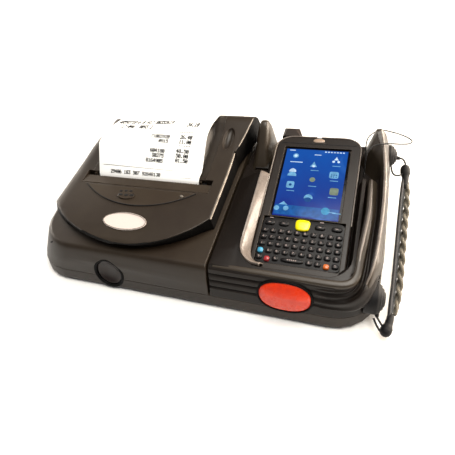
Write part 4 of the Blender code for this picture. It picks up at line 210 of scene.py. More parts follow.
@dataclass(frozen=True)
class MouldedPlastic(Finish):
    """ABS and polycarbonate blend, injection-moulded in a spark-eroded mould.

    The eye sees an even fine grain that breaks the gloss, a faint drift of shade across broad
    walls, and edges that hands have rubbed a little lighter and smoother.
    """

    drift: str = "#3f362f"
    rubbed: str = "#6b5f52"
    roughness: float = 0.42
    grain_mm: float = 0.9  # a real spark grain is 0.2 mm; drawn coarser so that it shows
    grain_depth_mm: float = 0.03
    edge_mm: float = 0.9
    drift_mm: float = 70.0
    rub: float = 0.35
    shine: float = 0.38

    def dress(self, tree: bpy.types.NodeTree) -> dict[str, object]:
        """Adds grain bump, drifting shade and rubbed edges.

        Args:
            tree: the material's node tree.

        Returns:
            The shader's inputs.
        """
        place = add_node(tree, "TexCoord").outputs["Object"]
        grain, cloud = (
            add_node(tree, "TexNoise", {"Vector": place, "Scale": 1 / (size * MM),
                                        "Detail": detail, "Roughness": rough}).outputs["Fac"]
            for size, detail, rough in ((self.grain_mm, 3.0, 0.5), (self.drift_mm, 4.0, 0.6)))
        soft_edge = add_node(tree, "Bevel", {"Radius": self.edge_mm * MM}, samples=4).outputs[0]
        face = add_node(tree, "NewGeometry").outputs["Normal"]
        bend = add_node(tree, "VectorMath", (soft_edge, face), operation="DOT_PRODUCT")
        wear = add_node(tree, "MapRange", (bend.outputs["Value"], 0.995, 0.86, 0.0, self.rub))
        drift = add_node(tree, "MapRange", (cloud, 0.35, 0.65, 0, 1))
        shade = add_node(tree, "Mix", {SHARE: drift.outputs[0], MIX_A: self.colour,
                                       MIX_B: self.drift}, data_type="RGBA")
        worn = add_node(tree, "Mix", {SHARE: wear.outputs[0], MIX_A: shade.outputs[MIX_OUT],
                                      MIX_B: self.rubbed}, data_type="RGBA")
        uneven = add_node(tree, "Math", (cloud, grain), operation="ADD").outputs[0]
        gloss = add_node(tree, "MapRange", (uneven, 0.6, 1.4, self.roughness - 0.07,
                                            self.roughness + 0.07))
        bump = add_node(tree, "Bump", {"Height": grain, "Distance": self.grain_depth_mm * MM,
                                       "Normal": soft_edge})
        return {"Base Color": worn.outputs[MIX_OUT], "Roughness": gloss.outputs[0],
                "Normal": bump.outputs[0], "IOR": 1.53, "Specular IOR Level": self.shine}


@dataclass(frozen=True)
class GlossPlastic(Finish):
    """Polished plastic, moulded in a bright mould: keys, buttons and lamp covers.

    The eye sees a clear highlight, a slight ripple from moulding and a deeper colour where the ripple
    drifts.
    """

    deep: str = "#202020"
    roughness: float = 0.22
    ripple_mm: float = 6.0
    subsurface: float = 0.0
    shine: float = 0.5

    def dress(self, tree: bpy.types.NodeTree) -> dict[str, object]:
        """Adds the ripple and a drift of shade.

        Args:
            tree: the material's node tree.

        Returns:
            The shader's inputs.
        """
        place = add_node(tree, "TexCoord").outputs["Object"]
        ripple = add_node(tree, "TexNoise", {"Vector": place, "Scale": 1 / (self.ripple_mm * MM),
                                             "Detail": 2.0}).outputs["Fac"]
        return {**self.clouded(tree, ripple, self.deep, (0.4, 0.75, 1), (-0.05, 0.08), 0.02),
                "IOR": 1.5, "Specular IOR Level": self.shine,
                "Subsurface Weight": self.subsurface, "Subsurface Radius": (MM, MM, MM)}


@dataclass(frozen=True)
class Elastomer(Finish):
    """Silicone rubber or soft-touch coating, moulded: matt, with a dusty bloom in patches."""

    bloom: str = "#2c2c2e"
    roughness: float = 0.62
    grain_mm: float = 0.7  # coarser than the real 0.1 mm grain so that it shows
    bloom_mm: float = 11.0

    def dress(self, tree: bpy.types.NodeTree) -> dict[str, object]:
        """Adds fine grain, bloom and a soft sheen.

        Args:
            tree: the material's node tree.

        Returns:
            The shader's inputs.
        """
        place = add_node(tree, "TexCoord").outputs["Object"]
        grain, bloom = (
            add_node(tree, "TexNoise", {"Vector": place, "Scale": 1 / (size * MM),
                                        "Detail": detail}).outputs["Fac"]
            for size, detail in ((self.grain_mm, 4.0), (self.bloom_mm, 3.0)))
        return {**self.clouded(tree, grain, self.bloom, (0.42, 0.7, 1), (-0.08, 0.1), 0.04, bloom),
                "Specular IOR Level": 0.25, "Sheen Weight": 0.05, "Sheen Roughness": 0.5}


@dataclass(frozen=True)
class WorkedMetal(Finish):
    """Metal that was turned, rolled or drawn: fine lines run along the direction of work."""

    dark: str = "#6a6a6c"
    roughness: float = 0.3
    line_mm: float = 0.5  # tool marks are 0.05 mm apart; drawn coarser so that they show
    stretch: Place = (0.05, 1.0, 1.0)

    def dress(self, tree: bpy.types.NodeTree) -> dict[str, object]:
        """Adds stretched lines to shade, roughness and bump.

        Args:
            tree: the material's node tree.

        Returns:
            The shader's inputs.
        """
        place = add_node(tree, "TexCoord").outputs["Object"]
        along = add_node(tree, "Mapping", {"Vector": place, "Scale": self.stretch}).outputs[0]
        lines = add_node(tree, "TexNoise", {"Vector": along, "Scale": 1 / (self.line_mm * MM),
                                            "Detail": 3.0}).outputs["Fac"]
        return {**self.clouded(tree, lines, self.dark, (0.35, 0.7, 0.6), (-0.06, 0.12), 0.01),
                "Metallic": 1.0}


@dataclass(frozen=True)
class CoatedPaper(Finish):
    """Thermal paper or card, rolled smooth: soft clouded fibres under a faint coat."""

    fibre: str = "#e9e4dc"
    roughness: float = 0.5
    fibre_mm: float = 1.6
    # strength of a painted glow: the paper gives off light of its own colour
    painted_glow: float = 0.0

    def dress(self, tree: bpy.types.NodeTree) -> dict[str, object]:
        """Adds fibre clouds, a faint tooth and a painted glow: light of the paper's own colour that
        stands in for lamplight.

        Args:
            tree: the material's node tree.

        Returns:
            The shader's inputs.
        """
        place = add_node(tree, "TexCoord").outputs["Object"]
        fibres = add_node(tree, "TexNoise", {"Vector": place, "Scale": 1 / (self.fibre_mm * MM),
                                             "Detail": 6.0, "Roughness": 0.7}).outputs["Fac"]
        return {**self.clouded(tree, fibres, self.fibre, (0.45, 0.85, 0.5), (-0.06, 0.1), 0.012),
                "Emission Color": self.colour, "Emission Strength": self.painted_glow}


@dataclass(frozen=True)
class WovenCord(Finish):
    """Nylon yarn, braided round a core or woven flat.

    The eye sees two sets of slanting yarns that cross, dark gaps between them and a soft sheen
    along each yarn. The pattern follows the piece's own UV map, which is in metres.
    """

    gap: str = "#15120e"
    yarn_mm: float = 1.1
    roughness: float = 0.6
    depth_mm: float = 0.25
    slant_degrees: float = 38.0
    dust_mm: float = 9.0

    def dress(self, tree: bpy.types.NodeTree) -> dict[str, object]:
        """Adds two slanting yarn directions to shade and bump.

        Args:
            tree: the material's node tree.

        Returns:
            The shader's inputs.
        """
        flat = add_node(tree, "UVMap").outputs["UV"]
        slants = []
        for turn in (math.radians(self.slant_degrees), -math.radians(self.slant_degrees)):
            turned = add_node(tree, "Mapping", {"Vector": flat, "Rotation": (0, 0, turn)})
            slants.append(add_node(
                tree, "TexWave",
                {"Vector": turned.outputs[0], "Scale": math.pi / 10 / (self.yarn_mm * MM),
                 "Distortion": 0.6, "Detail": 1.0, "Detail Scale": 1.5}).outputs["Fac"])
        weave = add_node(tree, "Math", tuple(slants), operation="MULTIPLY").outputs[0]
        dust = add_node(tree, "TexNoise", {"Vector": flat, "Scale": 1 / (self.dust_mm * MM),
                                           "Detail": 3.0}).outputs["Fac"]
        dusty = add_node(tree, "MapRange", (dust, 0.4, 0.7, 0, 0.6)).outputs[0]
        yarn = add_node(tree, "Mix", {SHARE: dusty, MIX_A: self.colour, MIX_B: self.gap},
                        data_type="RGBA").outputs[MIX_OUT]
        share = add_node(tree, "MapRange", (weave, 0.05, 0.55, 0, 1)).outputs[0]
        shade = add_node(tree, "Mix", {SHARE: share, MIX_A: self.gap, MIX_B: yarn},
                         data_type="RGBA")
        gloss = add_node(tree, "MapRange", (weave, 0, 1, self.roughness + 0.15,
                                            self.roughness - 0.1))
        bump = add_node(tree, "Bump", {"Height": weave, "Distance": self.depth_mm * MM})
        return {"Base Color": shade.outputs[MIX_OUT], "Roughness": gloss.outputs[0],
                "Normal": bump.outputs[0], "Sheen Weight": 0.35, "Sheen Roughness": 0.4}


UNLIT = "#05070c"  # a dark panel's own colour


@dataclass(frozen=True)
class LitDisplay(Finish):
    """A liquid crystal panel under hardened glass: a lit picture behind a mirror-smooth face.

    The UV map runs from 0 to 1 across and up the picture. The colour falls from a bright blue at
    the top to violet at the lower left, with a pale glow in the middle.
    """

    violet: str = "#2b2a94"
    glow_colour: str = "#4f8fe6"
    strength: float = 0.55

    def dress(self, tree: bpy.types.NodeTree) -> dict[str, object]:
        """Adds the picture's gradient as light behind a clear coat.

        Args:
            tree: the material's node tree.

        Returns:
            The shader's inputs.
        """
        flat = add_node(tree, "UVMap").outputs["UV"]
        high = add_node(tree, "SeparateXYZ", {"Vector": flat}).outputs["Y"]
        clouds = add_node(tree, "TexNoise", {"Vector": flat, "Scale": 2.2, "Detail": 2.0,
                                             "Distortion": 0.8}).outputs["Fac"]
        fall = add_node(tree, "Math", (high, clouds), operation="ADD").outputs[0]
        light = self.violet
        for value, span, colour in ((fall, (0.45, 1.35, 0, 1), self.colour),
                                    (clouds, (0.56, 0.8, 0, 0.8), self.glow_colour)):
            share = add_node(tree, "MapRange", (value, *span)).outputs[0]
            light = add_node(tree, "Mix", {SHARE: share, MIX_A: light, MIX_B: colour},
                             data_type="RGBA").outputs[MIX_OUT]
        return {"Emission Color": light, "Base Color": UNLIT, "Emission Strength": self.strength,
                "Roughness": 0.12, "Specular IOR Level": 0.1}


@dataclass(frozen=True)
class LitPrint(Finish):
    """Colour that the panel's own light shows: even, with the glass's smooth gloss over it."""

    strength: float = 0.7
    drift_mm: float = 4.0

    def dress(self, tree: bpy.types.NodeTree) -> dict[str, object]:
        """Adds the light, slightly uneven as a back light is.

        Args:
            tree: the material's node tree.

        Returns:
            The shader's inputs.
        """
        place = add_node(tree, "TexCoord").outputs["Object"]
        drift = add_node(tree, "TexNoise", {"Vector": place, "Scale": 1 / (self.drift_mm * MM)})
        light = add_node(tree, "MapRange", (drift.outputs["Fac"], 0.3, 0.7, self.strength * 0.8,
                                            self.strength * 1.2))
        return {"Emission Strength": light.outputs[0], "Emission Color": self.colour,
                "Base Color": UNLIT, "Roughness": 0.1, "Specular IOR Level": 0.1}


FINISHES: dict[str, Finish] = {finish.slot: finish for finish in (
    MouldedPlastic("printer_abs_spark_grain", "printer_plastic", "#251c14", drift="#2d2419",
                   rubbed="#4b3e2f"),
    MouldedPlastic("cradle_abs_spark_grain", "cradle_plastic", "#130f0c", drift="#1a1410",
                   rubbed="#463c32", roughness=0.36, shine=0.24),
    MouldedPlastic("tray_abs_spark_grain", "base_plastic", "#231a12", drift="#2b2118",
                   rubbed="#40372d", roughness=0.46),
    MouldedPlastic("panel_abs_fine_grain", "panel_plastic", "#2c2218", drift="#342a1d",
                   rubbed="#40372c", roughness=0.42, grain_mm=0.6),
    Elastomer("soft_black_rubber", "soft_black", "#090809", "#151313"),
    GlossPlastic("release_orange_abs", "button_orange", "#ea3d14", "#d8300f", roughness=0.26,
                 subsurface=0.08),
    CoatedPaper("label_printed_film", "label_white", "#ddd0c9", "#cdbfb8", roughness=0.3),
    GlossPlastic("lamp_smoke_acrylic", "lamp_grey", "#8f8880", "#5a544c"),
    # the slip's painted glow keeps its shaded parts white
    CoatedPaper("thermal_paper", "paper_white", "#fbfaf6", "#efebe2", painted_glow=0.3),
    CoatedPaper("core_brown_card", "card_brown", "#a9855b", "#7c5d3b", roughness=0.8),
    WorkedMetal("turned_steel", "steel", "#b9babd", "#7d7e82"),
    WorkedMetal("rolled_aluminium", "aluminium", "#d0d1d3", "#9b9da0", roughness=0.38),
    GlossPlastic("glazed_ceramic", "ceramic", "#d9d2c4", "#b8ae9c"),
    WorkedMetal("sintered_brass", "brass", "#c9a24c", "#8c6a2a", roughness=0.42),
    GlossPlastic("acetal_natural", "gear_white", "#e8e6df", "#d2cfc5", roughness=0.35),
    Elastomer("ground_roller_rubber", "rubber", "#1a1a1b"),
    GlossPlastic("solder_mask_green", "board_green", "#1c5a35", "#123f24", roughness=0.3),
    MouldedPlastic("battery_abs", "battery_black", "#1b1b1d", drift="#232326"),
    MouldedPlastic("terminal_pc_spark_grain", "terminal_plastic", "#241d19", drift="#2c241f",
                   rubbed="#5d5147", roughness=0.42, edge_mm=0.6, shine=0.28),
    MouldedPlastic("terminal_rim_soft_paint", "terminal_bezel", "#1e1814", drift="#26201b",
                   rubbed="#80705f", roughness=0.36, edge_mm=0.6, rub=0.5, shine=0.26),
    LitDisplay("display_behind_glass", "screen_blue", "#144ea4", violet="#1c2f84",
               glow_colour="#3a72c0", strength=1.1),
    Elastomer("key_silicone", "key_black", "#0b090a", "#151213", roughness=0.42),
    GlossPlastic("key_yellow_abs", "key_yellow", "#efe20a", "#dcca08"),
    GlossPlastic("key_red_abs", "key_red", "#9a2c30", "#7a2022"),
    GlossPlastic("key_orange_abs", "key_orange", "#d9702a", "#b9591c"),
    GlossPlastic("key_blue_abs", "key_blue", "#4aa3c6", "#3a8bb0"),
    WovenCord("strap_nylon_webbing", "webbing", "#1a1517", "#0a0808"),
    WovenCord("cord_black_braid", "cord_black", "#1c191b", "#060606", yarn_mm=0.5,
              depth_mm=0.08),
)}
FINISHES |= {  # finishes of pieces that share a slot with another
    "braid": WovenCord("strap_soft_braid", "webbing", "#a0957f", "#1c180e", yarn_mm=0.9,
                       depth_mm=0.2),
    "acetal_black": GlossPlastic("acetal_black", "gear_white", "#191716", "#242120",
                                 roughness=0.35),
    # painted highlight: a pale copy of the cradle plastic on the pocket slope, the rail crests and the
    # bezel's rim edges, standing in for bright reflections
    "painted_highlight_plastic": GlossPlastic("painted_highlight_plastic", "cradle_plastic", "#7d736b", "#5f554d",
                                 roughness=0.26),
    # painted shade: near-black on the cover lip's undercut wall, the cover's right wall and the rings
    # round the buttons
    "painted_shade_black": GlossPlastic("painted_shade_black", "soft_black", "#040303", "#080706", roughness=0.6,
                               shine=0.12),
    # painted light: a lighter copy of the cradle plastic on the rails and posts, for the light that
    # they catch
    "rail_plastic_painted_light": MouldedPlastic("rail_abs_spark_grain", "cradle_plastic", "#2f271f",
                                   drift="#383026", rubbed="#6a5d4e", roughness=0.36, shine=0.4),
    # painted highlight: a pale tube along the cover's crests, standing in for their bright edge
    # reflection
    "painted_highlight_edge": GlossPlastic("painted_highlight_edge", "printer_plastic", "#8d8275", "#6b6054",
                                roughness=0.3),
    "button_brown": GlossPlastic("button_brown", "soft_black", "#1d130f", "#2a1c16",
                                 roughness=0.42),
    "legend": GlossPlastic("key_legend_ink", "label_white", "#a89690", "#8d7c78", roughness=0.4),
    "lens": GlossPlastic("indicator_lens_acrylic", "lamp_grey", "#a08a78", "#86705f"),
    "ink": GlossPlastic("thermal_print", "cord_black", "#060505", "#0e0c0b", roughness=0.7,
                        shine=0.05),
    "glass": GlossPlastic("screen_black_glass", "screen_blue", "#08080c", "#0c0c14",
                          roughness=0.1, shine=0.12),
    "lit_white": LitPrint("screen_white", "screen_blue", "#c4dcf2", 1.15),
    "lit_pale": LitPrint("screen_pale_blue", "screen_blue", "#6fa9d0", 1.1),
    "lit_deep": LitPrint("screen_deep_blue", "screen_blue", "#2458a0", 0.8),
    "lit_olive": LitPrint("screen_olive", "screen_blue", "#7f8c78", 1.0),
    "lit_teal": LitPrint("screen_teal", "screen_blue", "#2e8fbc", 1.1),
    "lit_bar": LitPrint("screen_bar_blue", "screen_blue", "#1f5ea6", 0.95),
}


# Surfaces

class Ends(Enum):
    """How the first and last rows of a carried profile end."""

    OPEN = "open"
    CAPPED = "capped"


def linked(name: str, data: bpy.types.ID) -> bpy.types.Object:
    """A new object at the origin, linked to the scene."""
    piece = bpy.data.objects.new(name, data)
    bpy.context.scene.collection.objects.link(piece)
    return piece


def meshed(name: str, points: np.ndarray, faces: list[list[int]], finish: Finish, *,
           sharp_degrees: float = 50.0, closed: bool = False,
           uv: np.ndarray | None = None) -> bpy.types.Object:
    """Makes a piece from points and faces, with its finish and its smooth shading.

    Args:
        name: the piece's name.
        points: its points, three lengths each, in an array of any shape.
        faces: for each face the numbers of its points.
        finish: the finish of every face.
        sharp_degrees: edges that turn by more stay sharp.
        closed: whether it is a closed shell, whose faces are then turned outwards.
        uv: two numbers for each corner of the first faces; the other corners get zeros.

    Returns:
        The new object.
    """
    mesh = bpy.data.meshes.new(name)
    mesh.from_pydata(points.reshape(-1, 3), [], faces)
    if uv is not None:
        layer = mesh.uv_layers.new(name="UVMap")
        rest = np.zeros((len(mesh.loops) - len(uv), 2))
        layer.data.foreach_set("uv", np.concatenate([uv, rest]).ravel())
    if closed:
        work = bmesh.new()
        work.from_mesh(mesh)
        bmesh.ops.recalc_face_normals(work, faces=work.faces)
        work.to_mesh(mesh)
        work.free()
    mesh.materials.append(finish.material())
    mesh.shade_smooth()
    mesh.set_sharp_from_angle(angle=math.radians(sharp_degrees))
    return linked(name, mesh)


def quads_of(corners: np.ndarray) -> np.ndarray:
    """The four corners of each face between neighbouring rows and columns."""
    return np.stack([corners[:-1, :-1], corners[:-1, 1:], corners[1:, 1:], corners[1:, :-1]],
                    axis=2)


def surface(name: str, grid: np.ndarray, finish: Finish, *, ring: bool = False,
            ends: Ends = Ends.OPEN, uv: np.ndarray | None = None,
            sharp_degrees: float = 50.0) -> bpy.types.Object:
    """Makes a piece from a grid of points, where neighbours in rows and columns share a face.

    Args:
        name: the piece's name.
        grid: points as rows, columns and three lengths.
        finish: the finish of every face.
        ring: whether each row closes on itself.
        ends: whether the first and last rows are closed by a face.
        uv: rows, columns (one more than the grid's where it is a ring) and two numbers.
        sharp_degrees: edges that turn by more stay sharp.

    Returns:
        The new object.
    """
    rows, columns = grid.shape[:2]
    index = np.arange(rows * columns).reshape(rows, columns)
    if ring:
        index = np.concatenate([index, index[:, :1]], axis=1)
    faces = quads_of(index).reshape(-1, 4).tolist()
    closed = ends is Ends.CAPPED
    if closed:
        faces += [index[0, :columns][::-1].tolist(), index[-1, :columns].tolist()]
    return meshed(name, grid, faces, finish, sharp_degrees=sharp_degrees, closed=closed,
                  uv=None if uv is None else quads_of(uv).reshape(-1, 2))


def oval(steps: int, half_width: float, half_height: float, power: float = 2.0) -> np.ndarray:
    """Outline of a superellipse: |x/a|^p + |y/b|^p = 1, evenly stepped in angle.

    Args:
        steps: points round the outline.
        half_width: a.
        half_height: b.
        power: p; 2 is an ellipse, larger is squarer.

    Returns:
        The outline's points, two lengths each.
    """
    angle = np.linspace(0, 2 * np.pi, steps, endpoint=False)
    cos, sin = np.cos(angle), np.sin(angle)
    return np.stack([half_width * np.sign(cos) * np.abs(cos) ** (2 / power),
                     half_height * np.sign(sin) * np.abs(sin) ** (2 / power)], axis=-1)


def stacked(outline: np.ndarray, levels: Iterable[tuple[float, float]]) -> np.ndarray:
    """Carries an outline up through levels, each a share of its size and a height.

    Args:
        outline: points round the outline, two lengths each.
        levels: for each ring its size share and its height.

    Returns:
        A grid of rings: ring i is outline times size i, at height i.
    """
    sizes, heights = np.array(list(levels)).T
    flat = outline[None] * sizes[:, None, None]
    height = np.broadcast_to(heights[:, None, None], (*flat.shape[:2], 1))
    return np.concatenate([flat, height], axis=-1)


def smooth_curve(points: np.ndarray, steps: int) -> np.ndarray:
    """Points along a Catmull-Rom curve through the given points.

    Args:
        points: the points that the curve passes.
        steps: new points for each stretch between two of them.

    Returns:
        All points of the curve. On each stretch from b to c, with neighbours a and d,
        a place t has (2b + (c-a)t + (2a-5b+4c-d)t^2 + (3b-a-3c+d)t^3) / 2.
    """
    points = np.asarray(points, float)
    ahead = np.vstack([2 * points[0] - points[1], points, 2 * points[-1] - points[-2]])
    a, b, c, d = (ahead[i:len(ahead) - 3 + i, None] for i in range(4))
    t = np.linspace(0, 1, steps, endpoint=False)[None, :, None]
    curve = (2 * b + (c - a) * t + (2 * a - 5 * b + 4 * c - d) * t ** 2
             + (3 * b - a - 3 * c + d) * t ** 3) / 2
    return np.vstack([curve.reshape(-1, points.shape[1]), points[-1:]])


def arc_lengths(path: np.ndarray) -> np.ndarray:
    """Length along a path at each of its points."""
    steps = np.linalg.norm(np.diff(path, axis=0), axis=1)
    return np.concatenate([[0.0], np.cumsum(steps)])


def evenly(path: np.ndarray, count: int) -> np.ndarray:
    """The same path at evenly spaced places along its length."""
    along = arc_lengths(path)
    places = np.linspace(0, along[-1], count)
    return np.stack([np.interp(places, along, column) for column in path.T], axis=-1)


def headings(path: np.ndarray) -> np.ndarray:
    """The direction along a path at each of its points, one unit long."""
    ahead = np.gradient(path, axis=0)
    return ahead / np.linalg.norm(ahead, axis=1, keepdims=True)


def path_frames(path: np.ndarray, up: Place) -> tuple[np.ndarray, np.ndarray]:
    """Side and up directions across a path, with the up direction held near a given one.

    Args:
        path: the path's points.
        up: the direction that "up" leans to.

    Returns:
        For each point the side direction, ahead x up, and the true up, side x ahead.
    """
    ahead = headings(path)
    side = np.cross(ahead, np.asarray(up, float))
    side /= np.linalg.norm(side, axis=1, keepdims=True)
    return side, np.cross(side, ahead)


def tube(name: str, path: np.ndarray, radius: np.ndarray | float, finish: Finish,
         up: Place = (0.0, 0.0, 1.0), sides: int = 12) -> bpy.types.Object:
    """A round tube along a path, with a UV map in metres along and around it.

    Args:
        name: the piece's name.
        path: the centre line.
        radius: its radius, one for all or one for each point.
        finish: its finish.
        up: a direction that the path never runs along.
        sides: faces round it.

    Returns:
        The tube, whose point at angle a is path + r (cos a side + sin a up).
    """
    side, high = path_frames(path, up)
    angle = np.linspace(0, 2 * np.pi, sides, endpoint=False)[None, :, None]
    radii = np.broadcast_to(np.asarray(radius, float), len(path))[:, None, None]
    grid = path[:, None] + radii * (np.cos(angle) * side[:, None] + np.sin(angle) * high[:, None])
    around = np.linspace(0, 1, sides + 1)[None, :] * 2 * np.pi * radii[:, :, 0]
    along = np.broadcast_to(arc_lengths(path)[:, None], around.shape)
    return surface(name, grid, finish, ring=True, ends=Ends.CAPPED,
                   uv=np.stack([along, around], axis=-1), sharp_degrees=60)


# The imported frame

def eased(value: np.ndarray, low: float, high: float) -> np.ndarray:
    """A smooth step: 0 below low, 1 above high, and 3t^2 - 2t^3 between them."""
    share = np.clip((value - low) / (high - low), 0, 1)
    return share * share * (3 - 2 * share)


@dataclass
class Workbench:
    """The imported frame, with the step from the maker's zero to the frame's."""

    frame: dict
    case_half_length: float = 0.160
    case_depth: float = 0.180
    front_slope: float = 0.32
    front_foot: float = 0.002
    cad_box: tuple = field(init=False)
    stood_for: set[str] = field(default_factory=set)

    def __post_init__(self) -> None:
        """Keeps the box of the solids before anything is added."""
        self.cad_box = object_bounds()

    @property
    def shift(self) -> np.ndarray:
        """The step that takes a place in the maker's own axes to the frame."""
        return np.array([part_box("lower_housing")[0].x + self.case_half_length, 0.0, 0.0])

    def put(self, piece: bpy.types.Object, *nodes: str, body: str = "",
            slot: str = "") -> bpy.types.Object:
        """Lets a piece ride on a body and hides what it stands for.

        Args:
            piece: the finished piece.
            nodes: the solids that it stands for.
            body: the body that carries it, where it isn't the first solid's or the case.
            slot: not used.

        Returns:
            The same piece.
        """
        body = body or (self.body_of(nodes[0]) if nodes else "case")
        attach(piece, body)
        for node in nodes:
            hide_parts(node)
        self.stood_for.update(nodes)
        LOG.info("%s rides on %s, %d faces", piece.name, body, len(piece.data.polygons))
        return piece

    def on_front(self, place: tuple[float, float], points: np.ndarray) -> np.ndarray:
        """Takes places on the case's leaning front to the frame.

        Args:
            place: where their zero is, along the width and up.
            points: across, up the slope and out from it, in an array of any shape.

        Returns:
            The same places: zero + across * x + up * slope's way + out * the front's normal.
        """
        lean = math.hypot(1.0, self.front_slope)
        out = np.array([0.0, -1.0, self.front_slope]) / lean
        up = np.array([0.0, self.front_slope, 1.0]) / lean
        x, z = place
        zero = (x, -self.case_depth / 2 + (z - self.front_foot) * self.front_slope, z)
        return (zero + points[..., :1] * (1, 0, 0) + points[..., 1:2] * up
                + points[..., 2:] * out + self.shift)

    def body_of(self, node: str) -> str:
        """The body that a solid rides on."""
        return self.frame["nodes"][node]["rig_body"]

    def finish_of(self, node: str) -> Finish:
        """The finish that a solid's own slot asks for."""
        slot = self.frame["nodes"][node].material_slots[0].material.name.split(".")[0]
        return FINISHES[slot]

    def paint(self, node: str, finish: Finish | None = None) -> None:
        """Gives a solid that stays as it is a finish, or else its slot's own."""
        finish = finish or self.finish_of(node)
        for place in self.frame["nodes"][node].material_slots:
            place.material = finish.material()
        LOG.info("%s keeps its shape, in %s", node, finish.name)

    def put_collar(self, name: str, place: tuple[float, float], outline: np.ndarray,
                   out: float, radius: float) -> None:
        """Lays a dark ring round a button in the case's front: partly its dark border, partly painted
        shade of the recess round it.

        Args:
            name: the piece's name.
            place: the button's middle, along the width and up.
            outline: the ring's points, two lengths each.
            out: how far in front of the button's middle it lies.
            radius: half its thickness.
        """
        ring = np.column_stack([outline, np.full(len(outline), out)])
        ring = self.on_front(place, np.vstack([ring, ring[:1]]))
        self.put(tube(name, ring, radius, FINISHES["painted_shade_black"],
                      up=(0.0, -1.0, self.front_slope)))

    def soften(self, node: str, edge_mm: float, *, angle: float = 32.0, segments: int = 3,
               reshape: Reshape | None = None,
               cuts: Iterable[tuple[float, ...]] = ()) -> bpy.types.Object:
        """Stands a merged copy with rounded edges in for a solid.

        Args:
            node: the solid's name.
            edge_mm: width of the rounding on its edges.
            angle: edges that turn by more degrees are rounded.
            segments: faces across each rounding.
            reshape: moves the copy's points, all at once, in the maker's axes.
            cuts: axis and place of each plane that splits the faces before they are reshaped,
                and where only the rear is split, the depth it starts at.

        Returns:
            The copy, which rides where the solid does.
        """
        work = bmesh.new()
        work.from_mesh(self.frame["nodes"][node].data)
        bmesh.ops.remove_doubles(work, verts=work.verts, dist=1e-5)
        bmesh.ops.dissolve_limit(work, angle_limit=math.radians(0.6), verts=work.verts,
                                 edges=work.edges)
        for axis, place, *start in cuts:
            low = start[0] if start else -1.0
            faces = [face for face in work.faces if face.calc_center_median().y > low]
            edges = {edge for face in faces for edge in face.edges}
            everything = [*{vert for edge in edges for vert in edge.verts}, *edges, *faces]
            normal = np.eye(3)[axis]
            bmesh.ops.bisect_plane(work, geom=everything, plane_no=normal.tolist(),
                                   plane_co=(normal * (place + self.shift[axis])).tolist())
        mesh = bpy.data.meshes.new(node + "_moulding")
        work.to_mesh(mesh)
        work.free()
        if reshape is not None:
            points = np.empty(len(mesh.vertices) * 3)
            mesh.vertices.foreach_get("co", points)
            moved = reshape(points.reshape(-1, 3) - self.shift) + self.shift
            mesh.vertices.foreach_set("co", moved.ravel())
        mesh.materials.append(self.finish_of(node).material())
        mesh.shade_smooth()
        piece = linked(mesh.name, mesh)
        rounding = piece.modifiers.new("rounded_edges", "BEVEL")
        rounding.width = edge_mm * MM
        rounding.segments = segments
        rounding.limit_method = "ANGLE"
        rounding.angle_limit = math.radians(angle)
        rounding.use_clamp_overlap = True
        rounding.miter_outer = "MITER_ARC"
        even = piece.modifiers.new("even_shading", "WEIGHTED_NORMAL")
        even.keep_sharp = True
        return self.put(piece, node)


# The room

